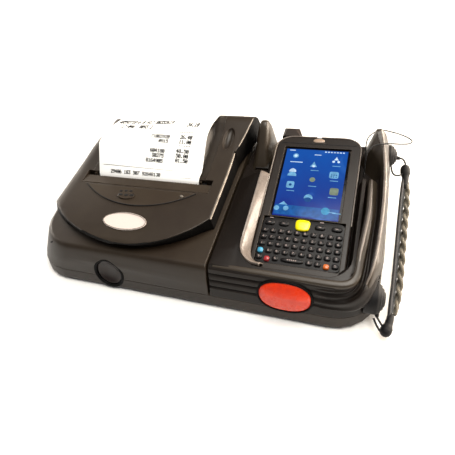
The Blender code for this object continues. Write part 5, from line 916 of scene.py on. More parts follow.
@dataclass
class Studio:
    """A pale floor, soft lamps and the camera at the photograph's place."""

    bench: Workbench
    azimuth: float = math.radians(26.97)
    elevation: float = math.radians(46.99)
    roll: float = math.radians(-13.29)
    stand: tuple[float, float, float] = (0.13784, -0.24199, 0.28988)
    focal_pixels: float = 396.7
    picture_pixels: float = 455.0
    sensor_mm: float = 36.0
    clip_start: float = 0.01
    floor_half: float = 3.0
    floor_drop: float = 0.0003
    room_colour: str = "#f6f7fa"
    room_strength: float = 0.17
    lamps: tuple[tuple[str, Place, Place, tuple[float, float], float, str], ...] = (
        ("ceiling", (0.35, 0.05, 1.5), (0.0, 0.0, 0.0), (1.0, 0.9), 29.0, "#fffaf2"),
        ("left_box", (-1.05, 0.42, 0.24), (0.05, 0.0, 0.04), (0.9, 0.34), 8.5, "#fff4e8"),
        ("right_box", (0.93, 0.50, 0.34), (0.0, 0.0, 0.03), (0.9, 0.5), 32.0, "#ffefdc"))

    def place_camera(self) -> None:
        """Builds the camera: back, right and up follow from azimuth, elevation and roll."""
        a, e, r = self.azimuth, self.elevation, self.roll
        back = np.array([math.sin(a) * math.cos(e), -math.cos(a) * math.cos(e), math.sin(e)])
        level = np.array([math.cos(a), math.sin(a), 0.0])
        high = np.cross(back, level)
        right = level * math.cos(r) + high * math.sin(r)
        up = high * math.cos(r) - level * math.sin(r)
        data = bpy.data.cameras.new("photo_camera")
        data.sensor_width = self.sensor_mm
        data.lens = self.focal_pixels / self.picture_pixels * self.sensor_mm
        data.clip_start = self.clip_start
        camera = linked("photo_camera", data)
        place = np.eye(4)
        place[:3, :3] = np.stack([right, up, back], axis=1)
        place[:3, 3] = np.array(self.stand) + self.bench.shift
        camera.matrix_world = Matrix(place.tolist())
        bpy.context.scene.camera = camera

    def lay_floor(self) -> None:
        """Lays the pale floor just under the feet."""
        x, y = np.meshgrid(*[np.linspace(-self.floor_half, self.floor_half, 3)] * 2)
        grid = np.stack([x, y, np.full_like(x, -self.floor_drop)], axis=-1)
        floor = surface("floor", grid, CoatedPaper("floor_paper_sweep", "paper_white", "#fbfbfa",
                                                   "#f4f4f2", roughness=0.7, fibre_mm=40.0))
        floor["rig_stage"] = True

    def light(self) -> None:
        """Lights the room: a high ceiling, and a strong box low at the right rear.

        Each lamp has a name, a place, the point it faces, width and height, watts and a colour.
        """
        world = bpy.data.worlds.new("white_room")
        world.use_nodes = True
        ground = world.node_tree.nodes["Background"]
        ground.inputs["Color"].default_value = linear(self.room_colour)
        ground.inputs["Strength"].default_value = self.room_strength
        bpy.context.scene.world = world
        for name, place, aim, size, power, colour in self.lamps:
            data = bpy.data.lights.new(name, "AREA")
            data.shape = "RECTANGLE"
            data.size, data.size_y = size
            data.energy = power
            data.color = linear(colour)[:3]
            lamp = linked(name, data)
            lamp.location = place
            facing = (Vector(aim) - Vector(place)).to_track_quat("-Z", "Y")
            lamp.rotation_euler = facing.to_euler()
        bpy.context.scene.view_settings.view_transform = "Standard"

    def build(self) -> None:
        """Builds the room."""
        self.place_camera()
        self.lay_floor()
        self.light()


# Printed marks

DIGITS = {  # seven rows of five dots for each sign, read as binary numbers
    "0": (14, 17, 19, 21, 25, 17, 14), "1": (4, 12, 4, 4, 4, 4, 14),
    "2": (14, 17, 1, 2, 4, 8, 31), "3": (31, 2, 4, 2, 1, 17, 14),
    "4": (2, 6, 10, 18, 31, 2, 2), "5": (31, 16, 30, 1, 1, 17, 14),
    "6": (6, 8, 16, 30, 17, 17, 14), "7": (31, 1, 2, 4, 8, 8, 8),
    "8": (14, 17, 17, 14, 17, 17, 14), "9": (14, 17, 17, 15, 1, 2, 12),
    "-": (0, 0, 0, 14, 0, 0, 0), ".": (0, 0, 0, 0, 0, 12, 12), " ": (0,) * 7,
}


def dot_places(text: str, left: float, low: float, dot: tuple[float, float]) -> np.ndarray:
    """Centres of the dots that a dot printer would burn for a line of signs.

    Args:
        text: digits, dashes, points and blanks.
        left: where the line starts across.
        low: where its lowest dots are.
        dot: distance between two dots, across and up.

    Returns:
        Two lengths for each dot: across = left + column * dot, up = low + (6 - row) * dot.
    """
    rows = np.array([DIGITS[sign] for sign in text])
    lit = (rows[:, :, None] >> np.arange(4, -1, -1)) & 1
    sign, row, column = np.nonzero(lit)
    return np.stack([left + (sign * 6 + column) * dot[0], low + (6 - row) * dot[1]], axis=-1)


def corners_of(centres: np.ndarray, half: tuple[float, float]) -> np.ndarray:
    """The four corners of a small rectangle round each centre."""
    turn = np.array([(-1, -1), (1, -1), (1, 1), (-1, 1)], float)
    return centres[:, None] + turn[None] * half


CUSHION = ((1.0, 0.35), (0.95, 0.70), (0.82, 0.92), (0.5, 1.0))


def pillows(name: str, centres: np.ndarray, halves: np.ndarray, heights: np.ndarray,
            finish: Finish, place: Reshape, *, power: float = 3.2,
            levels: tuple[tuple[float, float], ...] = ((1.0, -1.0), *CUSHION)
            ) -> bpy.types.Object:
    """Many small cushioned keys in one piece.

    Args:
        name: the piece's name.
        centres: two lengths for each key.
        halves: half width and half height for each key.
        heights: how far each stands up.
        finish: the finish of every key.
        place: takes flat places and heights to the frame.
        power: how square the keys' outlines are.
        levels: rings of a key, each a share of its outline and a share of its height.

    Returns:
        The piece: ring j of key k is centre k + half k * outline * size j, at height k * rise j.
    """
    sizes, rises = np.array(levels).T
    outline = oval(20, 1.0, 1.0, power)
    flat = (centres[:, None, None] + halves[:, None, None] * outline[None, None]
            * sizes[None, :, None, None])
    height = np.broadcast_to((heights[:, None] * rises[None])[:, :, None, None],
                             (*flat.shape[:3], 1))
    points = np.concatenate([flat, height], axis=-1)
    count, rings, sides = points.shape[:3]
    index = np.arange(count * rings * sides).reshape(count, rings, sides)
    ahead = np.roll(index, -1, axis=2)
    quads = np.stack([index[:, :-1], ahead[:, :-1], ahead[:, 1:], index[:, 1:]], axis=-1)
    faces = quads.reshape(-1, 4).tolist() + index[:, -1].tolist() + index[:, 0, ::-1].tolist()
    return meshed(name, place(points.reshape(-1, 3)), faces, finish, sharp_degrees=60,
                  closed=True)


# The printer's half

@dataclass
class PrinterHalf:
    """Housing, cover, door and the fittings on them."""

    bench: Workbench
    crease_z: float = 0.027
    crease_out: float = 0.0011
    lip_depth: float = 0.0052
    shoulder: tuple[float, float, float] = (0.0222, 0.038, 0.088)
    scoop: tuple[float, float, float, float] = (0.0115, 0.052, 0.0056, 0.0135)
    scoop_gain: float = 2.1
    cheek_drop: float = 0.0085
    ledge_drop: float = 0.0065
    low: float = 0.0430
    rear_corner: tuple[float, float, float] = (-0.1215, 0.0680, 0.0215)
    valley: float = 0.0050
    peak: float = 0.0758
    profile: tuple[tuple[float, float], ...] = (
        (0.080, 0.655), (0.105, 0.680), (0.167, 0.706), (0.261, 0.735), (0.394, 0.765),
        (0.500, 0.787), (0.594, 0.812), (0.683, 0.846), (0.767, 0.890), (0.844, 0.940),
        (0.895, 0.983), (0.922, 1.000), (0.950, 0.984), (0.972, 0.925), (0.984, 0.845),
        (0.989, 0.760))
    power_place: tuple[float, float] = (-0.070, 0.0165)
    power_radius: float = 0.0126
    panel: tuple[float, float, float, float] = (-0.057, 0.057, -0.016, 0.020)
    label: tuple[float, float, float, float] = (-0.055, -0.0535, 0.0215, 0.009)
    plain: tuple[tuple[str, float], ...] = (
        ("lower_housing", 0.5), ("tear_bar", 0.15), ("status_panel", 0.25),
        ("feed_button", 0.3), ("label_plate", 0.1), ("status_lamp", 0.2), ("battery_cover", 0.3),
        ("foot_front_left", 0.5), ("foot_front_right", 0.5), ("foot_rear_left", 0.5),
        ("foot_rear_right", 0.5))

    def top(self, y: np.ndarray) -> np.ndarray:
        """Height of the cover's top at a place along the depth, from the side profile."""
        shares = np.array(self.profile)
        return np.interp(y, (shares[:, 0] - 0.5) * self.bench.case_depth,
                         shares[:, 1] * self.peak)

    def creased(self, points: np.ndarray) -> np.ndarray:
        """Pushes the housing's front out along a level crease that fades at its left corner."""
        x, y, z = points.T
        hat = np.clip(1 - np.abs(z - self.crease_z) / 0.008, 0, 1)
        points[:, 1] -= self.crease_out * hat * (y < -0.055) * eased(x, -0.158, -0.122)
        return points

    def shaped_cover(self, points: np.ndarray) -> np.ndarray:
        """Undercuts the crescent lip, slants the shoulder's step and deepens the finger scoop.

        Args:
            points: the cover's points.

        Returns:
            The moved points. The lip's foot goes back by up to its depth, the shoulder's width
            grows evenly along its length, and the scoop's depth under the top is multiplied.
        """
        x, y, z = points.T
        foot = z < 0.040 + (y + 0.075) * 0.04 + 0.0015
        back = self.lip_depth * eased(-y, 0.036, 0.050) * eased(x, -0.135, -0.085)
        inner, start, end = self.shoulder
        step = (x > inner + 0.0006) & (y > start - 0.001)
        slant = inner + (x - inner) * np.clip((y - start) / (end - start), 0, 1)
        across, along, half_x, half_y = self.scoop
        inside = ((x - across) / half_x) ** 2 + ((y - along) / half_y) ** 2 < 1
        depth = np.clip(self.top(y) - z, 0, 0.0022)
        points[:, 2] = np.where(inside & (depth > 0.0001) & (z > self.top(y) - 0.0022),
                                self.top(y) - depth * self.scoop_gain, z)
        share = self.cheek_drop * eased(y, 0.038, 0.074) / (self.top(y) - self.low)
        points[:, 2] -= np.where(x < -0.1172, share * np.clip(points[:, 2] - self.low, 0, 1), 0)
        points[:, 1] = y + np.where(foot, back, 0)
        points[:, 0] = np.where(step, slant, x)
        middle, radius = np.array(self.rear_corner[:2]), self.rear_corner[2]
        away = points[:, :2] - middle
        far = np.hypot(*away.T)
        beyond = (away[:, 0] < 0) & (away[:, 1] > 0) & (far > radius)
        held = middle + away * (radius / np.maximum(far, 1e-6))[:, None]
        points[:, :2] = np.where(beyond[:, None], held, points[:, :2])
        return points

    def paint_lip_shadow(self, cover: bpy.types.Object) -> None:
        """Paints shadow: the crescent's undercut wall, which faces forwards and down, and the cover's
        right wall get a near-black where shade falls.
        """
        cover.data.materials.append(FINISHES["painted_shade_black"].material())
        faces = len(cover.data.polygons)
        middles, normals = np.empty((faces, 3)), np.empty((faces, 3))
        cover.data.polygons.foreach_get("center", middles.ravel())
        cover.data.polygons.foreach_get("normal", normals.ravel())
        x, y, _ = (middles - self.bench.shift).T
        right, ahead, upwards = normals.T
        # faces that get painted shadow: the lip's undercut wall and the cover's right wall
        wall = (ahead < -0.3) & (upwards < 0.5) & (y < -0.028) & (x < 0.0215)
        wall |= (right > 0.7) & (x > 0.0205)
        cover.data.polygons.foreach_set("material_index", wall.astype(np.int32))

    def sunk_door(self, points: np.ndarray) -> np.ndarray:
        """Sinks the door's strips beside the roll: a valley at the right, a ledge at the left."""
        x, y, z = points.T
        strip = eased(x, -0.0108, -0.0062) * eased(y, 0.0, 0.008) * eased(-y, -0.076, -0.056)
        ledge = eased(-x, 0.1084, 0.1112) * eased(y, 0.044, 0.070)
        points[:, 2] -= self.valley * strip * (z > self.top(y) - 0.004)
        share = ledge * self.ledge_drop / (self.top(y) - self.low)
        points[:, 2] -= share * np.clip(points[:, 2] - self.low, 0, 1)
        return points

    def build_power_button(self) -> None:
        """Turns the dished power button: rings from its side over a soft rim into the dish."""
        rings = ((1.0, -0.0042), (1.0, -0.0019), (0.985, -0.0015), (0.94, -0.0012),
                 (0.88, -0.0014), (0.80, -0.0021), (0.62, -0.0031), (0.40, -0.0037),
                 (0.18, -0.0040), (0.02, -0.0040))
        grid = stacked(oval(56, self.power_radius, self.power_radius), rings)
        button = surface("power_button_dish", self.bench.on_front(self.power_place, grid),
                         FINISHES["button_brown"], ring=True, ends=Ends.CAPPED)
        self.bench.put(button, "power_button")
        # the collar's black is partly painted shade of the recess round the button
        collar_radius = self.power_radius + 0.0016
        self.bench.put_collar("power_button_collar", self.power_place,
                              oval(72, collar_radius, collar_radius), -0.0009, 0.0017)

    def build_trim(self) -> None:
        """Adds the panel's dark seam, the label's border, pale tubes along the crests as painted
        highlights, and the key marks.
        """
        # pale tubes along the cover's right crest and the shoulder's crest: painted highlights
        for name, x, start, end, size in (("cover_crest", 0.0214, -0.0405, 0.0360, 0.0011),
                                          ("shoulder_crest", 0.0327, 0.0440, 0.0760, 0.0007)):
            y = np.linspace(start, end, 40)
            across = np.where(y < 0.038, x, 0.0222 + (x - 0.0222) * (y - 0.038) / 0.05)
            line = np.stack([across, y, self.top(y) - 0.8 * size], axis=-1) + self.bench.shift
            thick = size * np.sin(np.linspace(0.2, np.pi - 0.2, 40)) ** 0.3
            self.bench.put(tube(name, line, thick, FINISHES["painted_highlight_edge"], sides=10))
        middle, half, back, sag = self.panel
        radius = (half ** 2 + sag ** 2) / (2 * sag)
        reach = math.asin(half / radius)
        angle = np.linspace(-reach, reach, 90)
        x = middle + radius * np.sin(angle)
        y = back + (radius - sag) - radius * np.cos(angle)
        # the dark seam line is partly the seam itself and partly painted shadow along the panel's step
        seam = np.stack([x, y, self.top(y) + 0.0002], axis=-1) + self.bench.shift
        self.bench.put(tube("panel_seam", seam, 0.00062, FINISHES["soft_black"], sides=8))
        x, y, half_x, half_y = self.label
        flat = oval(72, half_x - 0.0007, half_y - 0.0007) + (x, y)
        ring = np.concatenate([flat, (self.top(flat[:, 1]) + 0.00036)[:, None]], axis=-1)
        self.bench.put(tube("label_border", np.vstack([ring, ring[:1]]) + self.bench.shift,
                            0.00036, FINISHES["lamp_grey"], sides=6))
        spots = np.array([(-0.0735, -0.0215), (-0.0685, -0.0208), (-0.0635, -0.0205),
                          (-0.0715, -0.0262), (-0.0655, -0.0262), (-0.0600, -0.0258)])
        halves = np.array([(0.0016, 0.0010)] * 3 + [(0.0022, 0.0012)] * 3)

        def place(points: np.ndarray) -> np.ndarray:
            """Lays the marks on the panel, or on the feed button's face."""
            raised = self.top(points[:, 1]) + np.where(points[:, 1] < -0.024, 0.00142, 0.00062)
            return np.column_stack([points[:, :2], raised + points[:, 2]]) + self.bench.shift

        self.bench.put(pillows("feed_marks", spots, halves, np.full(6, 0.00016),
                               FINISHES["soft_black"], place))
        # a dark disc for the pinhole: its black is painted shade of the hole's inside
        self.bench.put(pillows(
            "case_pinhole", np.array([(-0.126, -0.0770)]), np.full((1, 2), 0.0013),
            np.array([0.0002]), FINISHES["soft_black"],
            lambda points: points + (0, 0, 0.0398) + self.bench.shift, power=2.0))

    def build(self) -> None:
        """Builds every piece of the printer's half that shows."""
        cuts = [(2, z) for z in (0.020, self.crease_z, 0.034)]
        self.bench.soften("printer_housing", 0.8, reshape=self.creased, cuts=cuts)
        cover = self.bench.soften("top_cover", 1.0, reshape=self.shaped_cover,
                                  cuts=[(0, -0.126), (0, -0.1176)]
                                  + [(0, x, 0.060) for x in (-0.1405, -0.137, -0.133, -0.1285)]
                                  + [(1, y, 0.060) for y in (0.068, 0.073, 0.078, 0.082, 0.0855)])
        self.paint_lip_shadow(cover)
        cuts = [(0, side - step) for side in (-0.1035, 0.0)
                for step in (0.0105, 0.0085, 0.0065, 0.0045)]
        cuts += [(1, y) for y in np.arange(0.004, 0.082, 0.006)]
        self.bench.soften("paper_door", 0.5, reshape=self.sunk_door, cuts=cuts)
        for node, edge in self.plain:
            self.bench.soften(node, edge)
        self.build_power_button()
        self.build_trim()


@dataclass
class Receipt:
    """The printed slip that curls out of the slot, a bent and slightly twisted sheet of paper.

    Its left edge climbs steeply and turns flat over the roll. Its right edge leaves the slot
    lower, so the slip is the ruled surface between two different curves.
    """

    bench: Workbench
    left: float = -0.109
    width: float = 0.106
    thickness: float = 0.00014
    left_edge: tuple[tuple[float, float], ...] = (
        (-1.0, 53), (-0.9, 57.4), (4.7, 65.4), (10.4, 73.2), (15.5, 80.0), (18.4, 82.4),
        (22.8, 83.4), (29.1, 83.6), (37.8, 83.2), (48.4, 81.6), (58.6, 79.4), (70, 77.9),
        (80, 77.4), (86, 76.4))
    right_edge: tuple[tuple[float, float], ...] = (
        (-1.0, 53), (-0.4, 57.5), (3.0, 60.4), (10.5, 61.6), (19.4, 67.7), (30.0, 76.4),
        (36.0, 80.2), (42.0, 82.2), (52.2, 82.8), (62.0, 81.6), (74.0, 79.0), (86, 76.2))
    rows: int = 110
    columns: int = 48
    dot: tuple[float, float] = (0.00041, 0.00054)
    dot_share: tuple[float, float] = (0.98, 0.72)
    stretch: tuple[tuple[float, ...], ...] = ((0.40, 0.53, 0.60, 0.70), (0.95, 1.25, 1.6, 1.95))
    ink_lift: float = 0.00013
    lines: tuple[tuple[str, float, float], ...] = (
        ("40592718-6 0 417 80352619", -105.0, 0.692), ("34.10", -27.5, 0.654),
        ("17-046  8093 2", -97.0, 0.597), ("------", -32.0, 0.533),
        ("71083920", -59.0, 0.472), ("26.40", -29.0, 0.478), ("0915", -49.5, 0.421),
        ("11.00", -29.0, 0.427), ("-----", -29.0, 0.386), ("604180", -56.0, 0.321),
        ("48.50", -30.0, 0.336), ("30275", -54.0, 0.276), ("50.00", -30.0, 0.291),
        ("8164905", -59.5, 0.226), ("01.50", -30.0, 0.246),
        ("--------------------------------", -104.0, 0.142),
        ("29406 183 507 92648130", -96.0, 0.086))

    def sides(self) -> tuple[np.ndarray, np.ndarray]:
        """Both edges' side views, as evenly spaced depths and heights."""
        edges = (evenly(smooth_curve(np.array(edge) * MM, 12), self.rows)
                 for edge in (self.left_edge, self.right_edge))
        return tuple(edges)

    def face(self, across: np.ndarray, along: np.ndarray, lift: float) -> np.ndarray:
        """Places on the slip.

        Args:
            across: share of the width, 0 at the left.
            along: share of the length, 0 at the slot.
            lift: distance out from the slip's middle.

        Returns:
            The blend of both edges at that share of the length, moved along the normal.
        """
        rows = np.linspace(0, 1, self.rows)
        flat = 0.0
        for edge, share in zip(self.sides(), (1 - across[..., None], across[..., None])):
            ahead = headings(edge)
            lifted = edge + lift * np.stack([-ahead[:, 1], ahead[:, 0]], axis=-1)
            way = [np.interp(along, rows, column) for column in lifted.T]
            flat = flat + share * np.stack(way, axis=-1)
        x = (self.left + self.width * across)[..., None]
        return np.concatenate([x, flat], axis=-1) + self.bench.shift

    def build(self) -> None:
        """Builds the slip as one closed ring of points for each row, and its print."""
        along, across = np.meshgrid(np.linspace(0, 1, self.rows), np.linspace(0, 1, self.columns),
                                    indexing="ij")
        top = self.face(across, along, self.thickness / 2)
        under = self.face(across, along, -self.thickness / 2)
        slip = surface("receipt_slip", np.concatenate([top, under[:, ::-1]], axis=1),
                       FINISHES["paper_white"], ring=True, ends=Ends.CAPPED)
        self.bench.put(slip, "receipt")
        length = float(np.mean([arc_lengths(edge)[-1] for edge in self.sides()]))
        LOG.info("receipt_slip is cut %.1f by %.1f mm", self.width / MM, length / MM)
        corners = []
        for text, left, up in self.lines:
            tall = self.dot[1] * float(np.interp(up, *self.stretch))
            dots = dot_places(text, left * MM, up * length - 3 * tall, (self.dot[0], tall))
            corners.append(corners_of(dots, (self.dot[0] * self.dot_share[0],
                                             tall * self.dot_share[1])))
        corners = np.concatenate(corners)
        printed = self.face((corners[..., 0] - self.left) / self.width, corners[..., 1] / length,
                            self.thickness / 2 + self.ink_lift)
        faces = np.arange(corners[..., 0].size).reshape(-1, 4).tolist()
        self.bench.put(meshed("receipt_print", printed, faces, FINISHES["ink"]), body="door")


# The cradle's half

@dataclass
class CradleHalf:
    """The cradle's shell with its rails and posts, the release button and the strap knobs."""

    bench: Workbench
    peak: float = 0.0758
    foot_z: float = 0.034
    outer_rail: tuple[Place, ...] = (
        (0.094, 0.9235, 0.470), (0.120, 0.9310, 0.522), (0.150, 0.9430, 0.575), (0.220, 0.9560, 0.625),
        (0.330, 0.9640, 0.680), (0.450, 0.9680, 0.735), (0.560, 0.9670, 0.780),
        (0.660, 0.9620, 0.815), (0.745, 0.9530, 0.850), (0.800, 0.9430, 0.895),
        (0.842, 0.9300, 0.955), (0.866, 0.9210, 0.990), (0.884, 0.9195, 0.980),
        (0.908, 0.9200, 0.880), (0.932, 0.9230, 0.730), (0.952, 0.9260, 0.600),
        (0.965, 0.9270, 0.535))
    post_power: tuple[tuple[float, float], ...] = (
        (0.62, 7.0), (0.70, 5.0), (0.74, 2.4), (0.78, 1.15), (0.82, 0.75), (0.866, 0.80),
        (0.93, 1.0), (0.97, 1.0))
    # radius and sinking of the pale tubes that paint the crests' highlights
    highlight_radius: float = 0.0013
    highlight_sunk: float = 0.00062
    outer_foot_in: float = 0.0112
    post_plateau: float = 0.0026
    shell: tuple[tuple[Place, ...], ...] = (
        ((107.0, -73.8, 38.6), (107.0, -78.4, 35.8), (107.0, -77.9, 33.5), (107.0, -80.0, 30.0),
         (107.0, -79.9, 27.3), (107.0, -81.9, 24.0), (107.0, -82.0, 21.1), (107.0, -84.0, 19.8),
         (107.0, -82.5, 19.0)),
        ((124.0, -73.8, 39.8), (124.0, -79.3, 36.2), (124.0, -78.9, 33.8), (124.0, -81.3, 31.0),
         (124.0, -81.0, 28.2), (124.0, -83.5, 25.4), (124.0, -83.6, 22.4), (124.0, -85.2, 20.4),
         (124.0, -83.0, 19.5)),
        ((133.5, -72.9, 40.0), (134.7, -77.8, 37.2), (135.2, -77.5, 34.8), (135.5, -79.9, 33.0),
         (136.2, -80.0, 30.0), (137.0, -82.5, 29.2), (138.0, -83.3, 25.4), (138.5, -84.9, 21.8),
         (137.0, -82.5, 19.5)),
        ((138.5, -69.5, 40.2), (140.3, -73.7, 38.8), (141.3, -73.8, 36.6), (142.4, -75.8, 36.8),
         (143.8, -76.3, 33.5), (144.0, -79.4, 34.2), (146.2, -80.4, 29.8), (147.2, -81.8, 25.0),
         (145.5, -79.5, 20.0)),
        ((141.2, -64.0, 40.4), (142.8, -67.3, 40.2), (144.0, -67.9, 38.6), (145.1, -69.8, 40.2),
         (146.8, -70.7, 37.2), (147.6, -74.2, 37.4), (150.8, -74.6, 33.2), (152.2, -76.2, 28.6),
         (151.0, -74.0, 21.0)),
        ((142.0, -57.0, 41.2), (144.0, -59.6, 41.5), (145.2, -60.5, 40.5), (146.4, -62.3, 42.8),
         (148.2, -63.0, 39.6), (149.4, -66.0, 39.6), (153.0, -66.0, 36.4), (155.6, -67.0, 32.2),
         (154.5, -66.0, 23.0)),
        ((142.5, -46.8, 43.2), (144.6, -48.0, 43.8), (145.8, -48.7, 43.2), (147.2, -49.8, 45.2),
         (149.0, -50.5, 42.6), (151.4, -52.0, 44.6), (155.2, -53.0, 40.0), (157.6, -54.0, 36.0),
         (156.5, -54.0, 27.0)),
        ((143.0, -34.0, 45.6), (144.9, -34.0, 46.2), (146.3, -34.0, 45.8), (148.0, -34.0, 46.6),
         (149.6, -34.0, 45.2), (152.6, -34.0, 48.6), (156.2, -34.0, 43.4), (157.9, -34.0, 38.0),
         (157.0, -34.0, 30.0)),
        ((144.0, -10.0, 48.2), (146.0, -10.0, 49.4), (147.6, -10.0, 49.0), (149.3, -10.0, 48.8),
         (150.8, -10.0, 48.6), (153.4, -10.0, 51.4), (156.2, -10.0, 45.0), (157.2, -10.0, 38.0),
         (156.6, -10.0, 30.0)),
        ((143.8, 12.0, 49.4), (145.8, 12.0, 50.6), (147.4, 12.0, 50.4), (149.1, 12.0, 50.4),
         (150.6, 12.0, 50.8), (153.0, 12.0, 53.8), (155.8, 12.0, 46.0), (156.8, 12.0, 38.0),
         (156.2, 12.0, 30.0)),
        ((143.0, 31.0, 46.0), (145.0, 31.0, 47.5), (146.8, 31.0, 48.0), (148.6, 31.0, 49.0),
         (150.2, 31.0, 50.0), (152.4, 31.0, 53.0), (155.0, 31.0, 46.0), (156.0, 31.0, 38.0),
         (155.6, 31.0, 30.0)))
    chamfer: tuple[tuple[float, float], ...] = (
        (0.0499, 0.0235), (0.0499, 0.0000), (0.0499, -0.0250), (0.0499, -0.0480),
        (0.0513, -0.0572), (0.0554, -0.0632), (0.0612, -0.0668), (0.0690, -0.0680))
    chamfer_width: float = 0.0063
    deck_wrap: tuple[Place, ...] = (
        (0.0320, -0.0733, 0.0402), (0.0600, -0.0735, 0.0404), (0.0900, -0.0736, 0.0406),
        (0.1150, -0.0738, 0.0409), (0.1260, -0.0737, 0.0411), (0.1335, -0.0728, 0.0413),
        (0.1386, -0.0696, 0.0417), (0.1412, -0.0640, 0.0424), (0.1420, -0.0565, 0.0438))
    inner_rail: tuple[Place, ...] = (
        (0.240, 0.8895, 0.612), (0.330, 0.8985, 0.665), (0.450, 0.9080, 0.703),
        (0.560, 0.9060, 0.724), (0.620, 0.9030, 0.730), (0.640, 0.9020, 0.712),
        (0.650, 0.9015, 0.660), (0.656, 0.9010, 0.560))
    inner_section: tuple[tuple[float, float], ...] = (
        (-0.0036, 0.0), (-0.0034, 0.55), (-0.0029, 0.86), (-0.0016, 0.985), (0.0000, 1.0),
        (0.0020, 0.955), (0.0040, 0.87), (0.0051, 0.70), (0.0057, 0.40), (0.0060, 0.0))
    left_post: tuple[tuple[float, float], ...] = (
        (0.735, 0.500), (0.745, 0.560), (0.770, 0.650), (0.820, 0.800), (0.860, 0.915),
        (0.885, 0.975), (0.905, 0.992), (0.925, 0.975), (0.945, 0.900), (0.960, 0.760),
        (0.970, 0.560))
    left_section: tuple[tuple[float, float], ...] = (
        (0.0308, 0.0), (0.0332, 0.45), (0.0366, 0.85), (0.0386, 0.965), (0.0404, 1.0),
        (0.0446, 0.995), (0.0462, 0.945), (0.0478, 0.84), (0.0502, 0.48), (0.0530, 0.0))
    release_place: tuple[float, float] = (0.091, 0.0242)
    release_half: tuple[float, float] = (0.0205, 0.0135)
    release_proud: float = 0.0042
    release_power: float = 2.35
    knobs: tuple[tuple[str, Place, float, Place], ...] = (
        ("front", (0.149, -0.067, 0.018), 0.0122, (0.1595, -0.0785, 0.0107)),
        ("rear", (0.149, 0.069, 0.045), 0.0104, (0.1669, 0.0688, 0.0436)))
    knob_reach: float = 0.015
    knob_profile: tuple[tuple[float, float], ...] = (
        (0.0, 1.0), (0.58, 1.0), (0.62, 0.985), (0.66, 0.93), (0.74, 0.88), (0.78, 0.85),
        (0.80, 0.72), (0.86, 0.67), (0.90, 0.63), (0.915, 0.49), (0.965, 0.45), (0.99, 0.36),
        (1.0, 0.20), (1.0, 0.02))

    def pushed(self, points: np.ndarray) -> np.ndarray:
        """Lowers the solid's straight rails and posts under the smooth ones that stand for them."""
        x, y, z = points.T
        right = (x > 0.1405) & (z > 0.0402)
        left = (x < 0.0515) & (y > 0.040) & (z > 0.0440)
        deck = 0.0400 + 0.160 * np.clip(y + 0.0745, 0, 0.0985)
        points[:, 2] = np.where(right, np.minimum(z, np.where(x < 0.1432, deck - 0.001, 0.0372)), z)
        points[:, 2] = np.where(left, np.minimum(z, 0.0440), points[:, 2])
        corner = np.array([0.128, -0.0585])
        away = points[:, :2] - corner
        far = np.maximum(np.hypot(*away.T), 1e-6)
        beyond = (z > 0.0198) & (z < 0.0405) & (away[:, 0] > 0) & (away[:, 1] < 0)
        held = far - 0.0042 * eased(points[:, 2], 0.0198, 0.0212)
        points[:, :2] = np.where(beyond[:, None], corner + away * (held / far)[:, None],
                                 points[:, :2])
        return points

    def carried(self, name: str, crest: np.ndarray, offsets: np.ndarray,
                heights: np.ndarray) -> None:
        """Carries a section along its crest.

        Args:
            name: the piece's name.
            crest: the crest's points, from the front to the rear.
            offsets: rows and columns of distances outwards, level and across the crest's way.
            heights: rows and columns of shares of the crest's height over the foot.
        """
        ahead = headings(crest[:, :2])
        outwards = np.stack([ahead[:, 1], -ahead[:, 0]], axis=-1)
        flat = crest[:, None, :2] + outwards[:, None] * offsets[..., None]
        tall = self.foot_z + (crest[:, 2:] - self.foot_z) * heights
        grid = np.concatenate([flat, tall[..., None]], axis=-1)
        rows, columns = offsets.shape
        fine = smooth_curve(grid.transpose(1, 0, 2).reshape(columns, -1), 4)
        fine = fine.reshape(-1, rows, 3).transpose(1, 0, 2)
        # the rails' lighter plastic is painted light
        self.bench.put(surface(name, fine + self.bench.shift, FINISHES["rail_plastic_painted_light"],
                               ring=True, ends=Ends.CAPPED, sharp_degrees=75))

    def crest(self, shares: Iterable[tuple[float, float, float]]) -> np.ndarray:
        """Places for crest points given as shares of depth, half length and peak."""
        y, x, z = np.array(list(shares)).T
        return np.stack([x * self.bench.case_half_length, (y - 0.5) * self.bench.case_depth,
                         z * self.peak], axis=-1)

    def build_rails(self) -> None:
        """Builds both side rails and the two rear posts as smooth carried sections, with pale tubes
        along the crests as painted highlights.
        """
        outer = smooth_curve(self.crest(self.outer_rail), 6)
        crest_x, depth = outer[:, 0], outer[:, 1]
        share = depth / self.bench.case_depth + 0.5
        powers = np.interp(share, *np.array(self.post_power).T)[:, None]
        outside = np.full_like(depth, self.bench.case_half_length - 0.0010)
        outside -= 0.42 * np.clip(-0.0529 - depth, 0, 1) + 0.35 * np.clip(depth - 0.066, 0, 1)
        rise = 1 - (1 - np.linspace(0, 1, 9)) ** 2.2
        plateau = (0.0009 + self.post_plateau * eased(share, 0.76, 0.86))[:, None]
        reach = self.outer_foot_in * eased(share, 0.11, 0.24)[:, None] + 0.0040
        inner_x = -plateau - (reach - plateau) * (1 - rise)[None]
        inner_h = np.minimum(rise[None] ** powers, 0.985)
        fall = np.array([0.0, 0.10, 0.28, 0.52, 0.76, 0.92, 1.0])
        outer_h = np.array([1.0, 0.985, 0.93, 0.80, 0.55, 0.28, 0.0])
        outer_x = (outside - crest_x)[:, None] * fall[None]
        rows = len(depth)
        self.carried("outer_rail_sweep", outer, np.concatenate([inner_x, outer_x], axis=1),
                     np.concatenate([inner_h, np.broadcast_to(outer_h, (rows, 7))], axis=1))
        inner = smooth_curve(np.vstack([self.deck_wrap, self.crest(self.inner_rail)]), 6)
        section = np.array(self.inner_section)
        along = arc_lengths(inner)
        size = np.interp(along, [0, 0.10, 0.16], [0.62, 0.70, 1.0])[:, None]
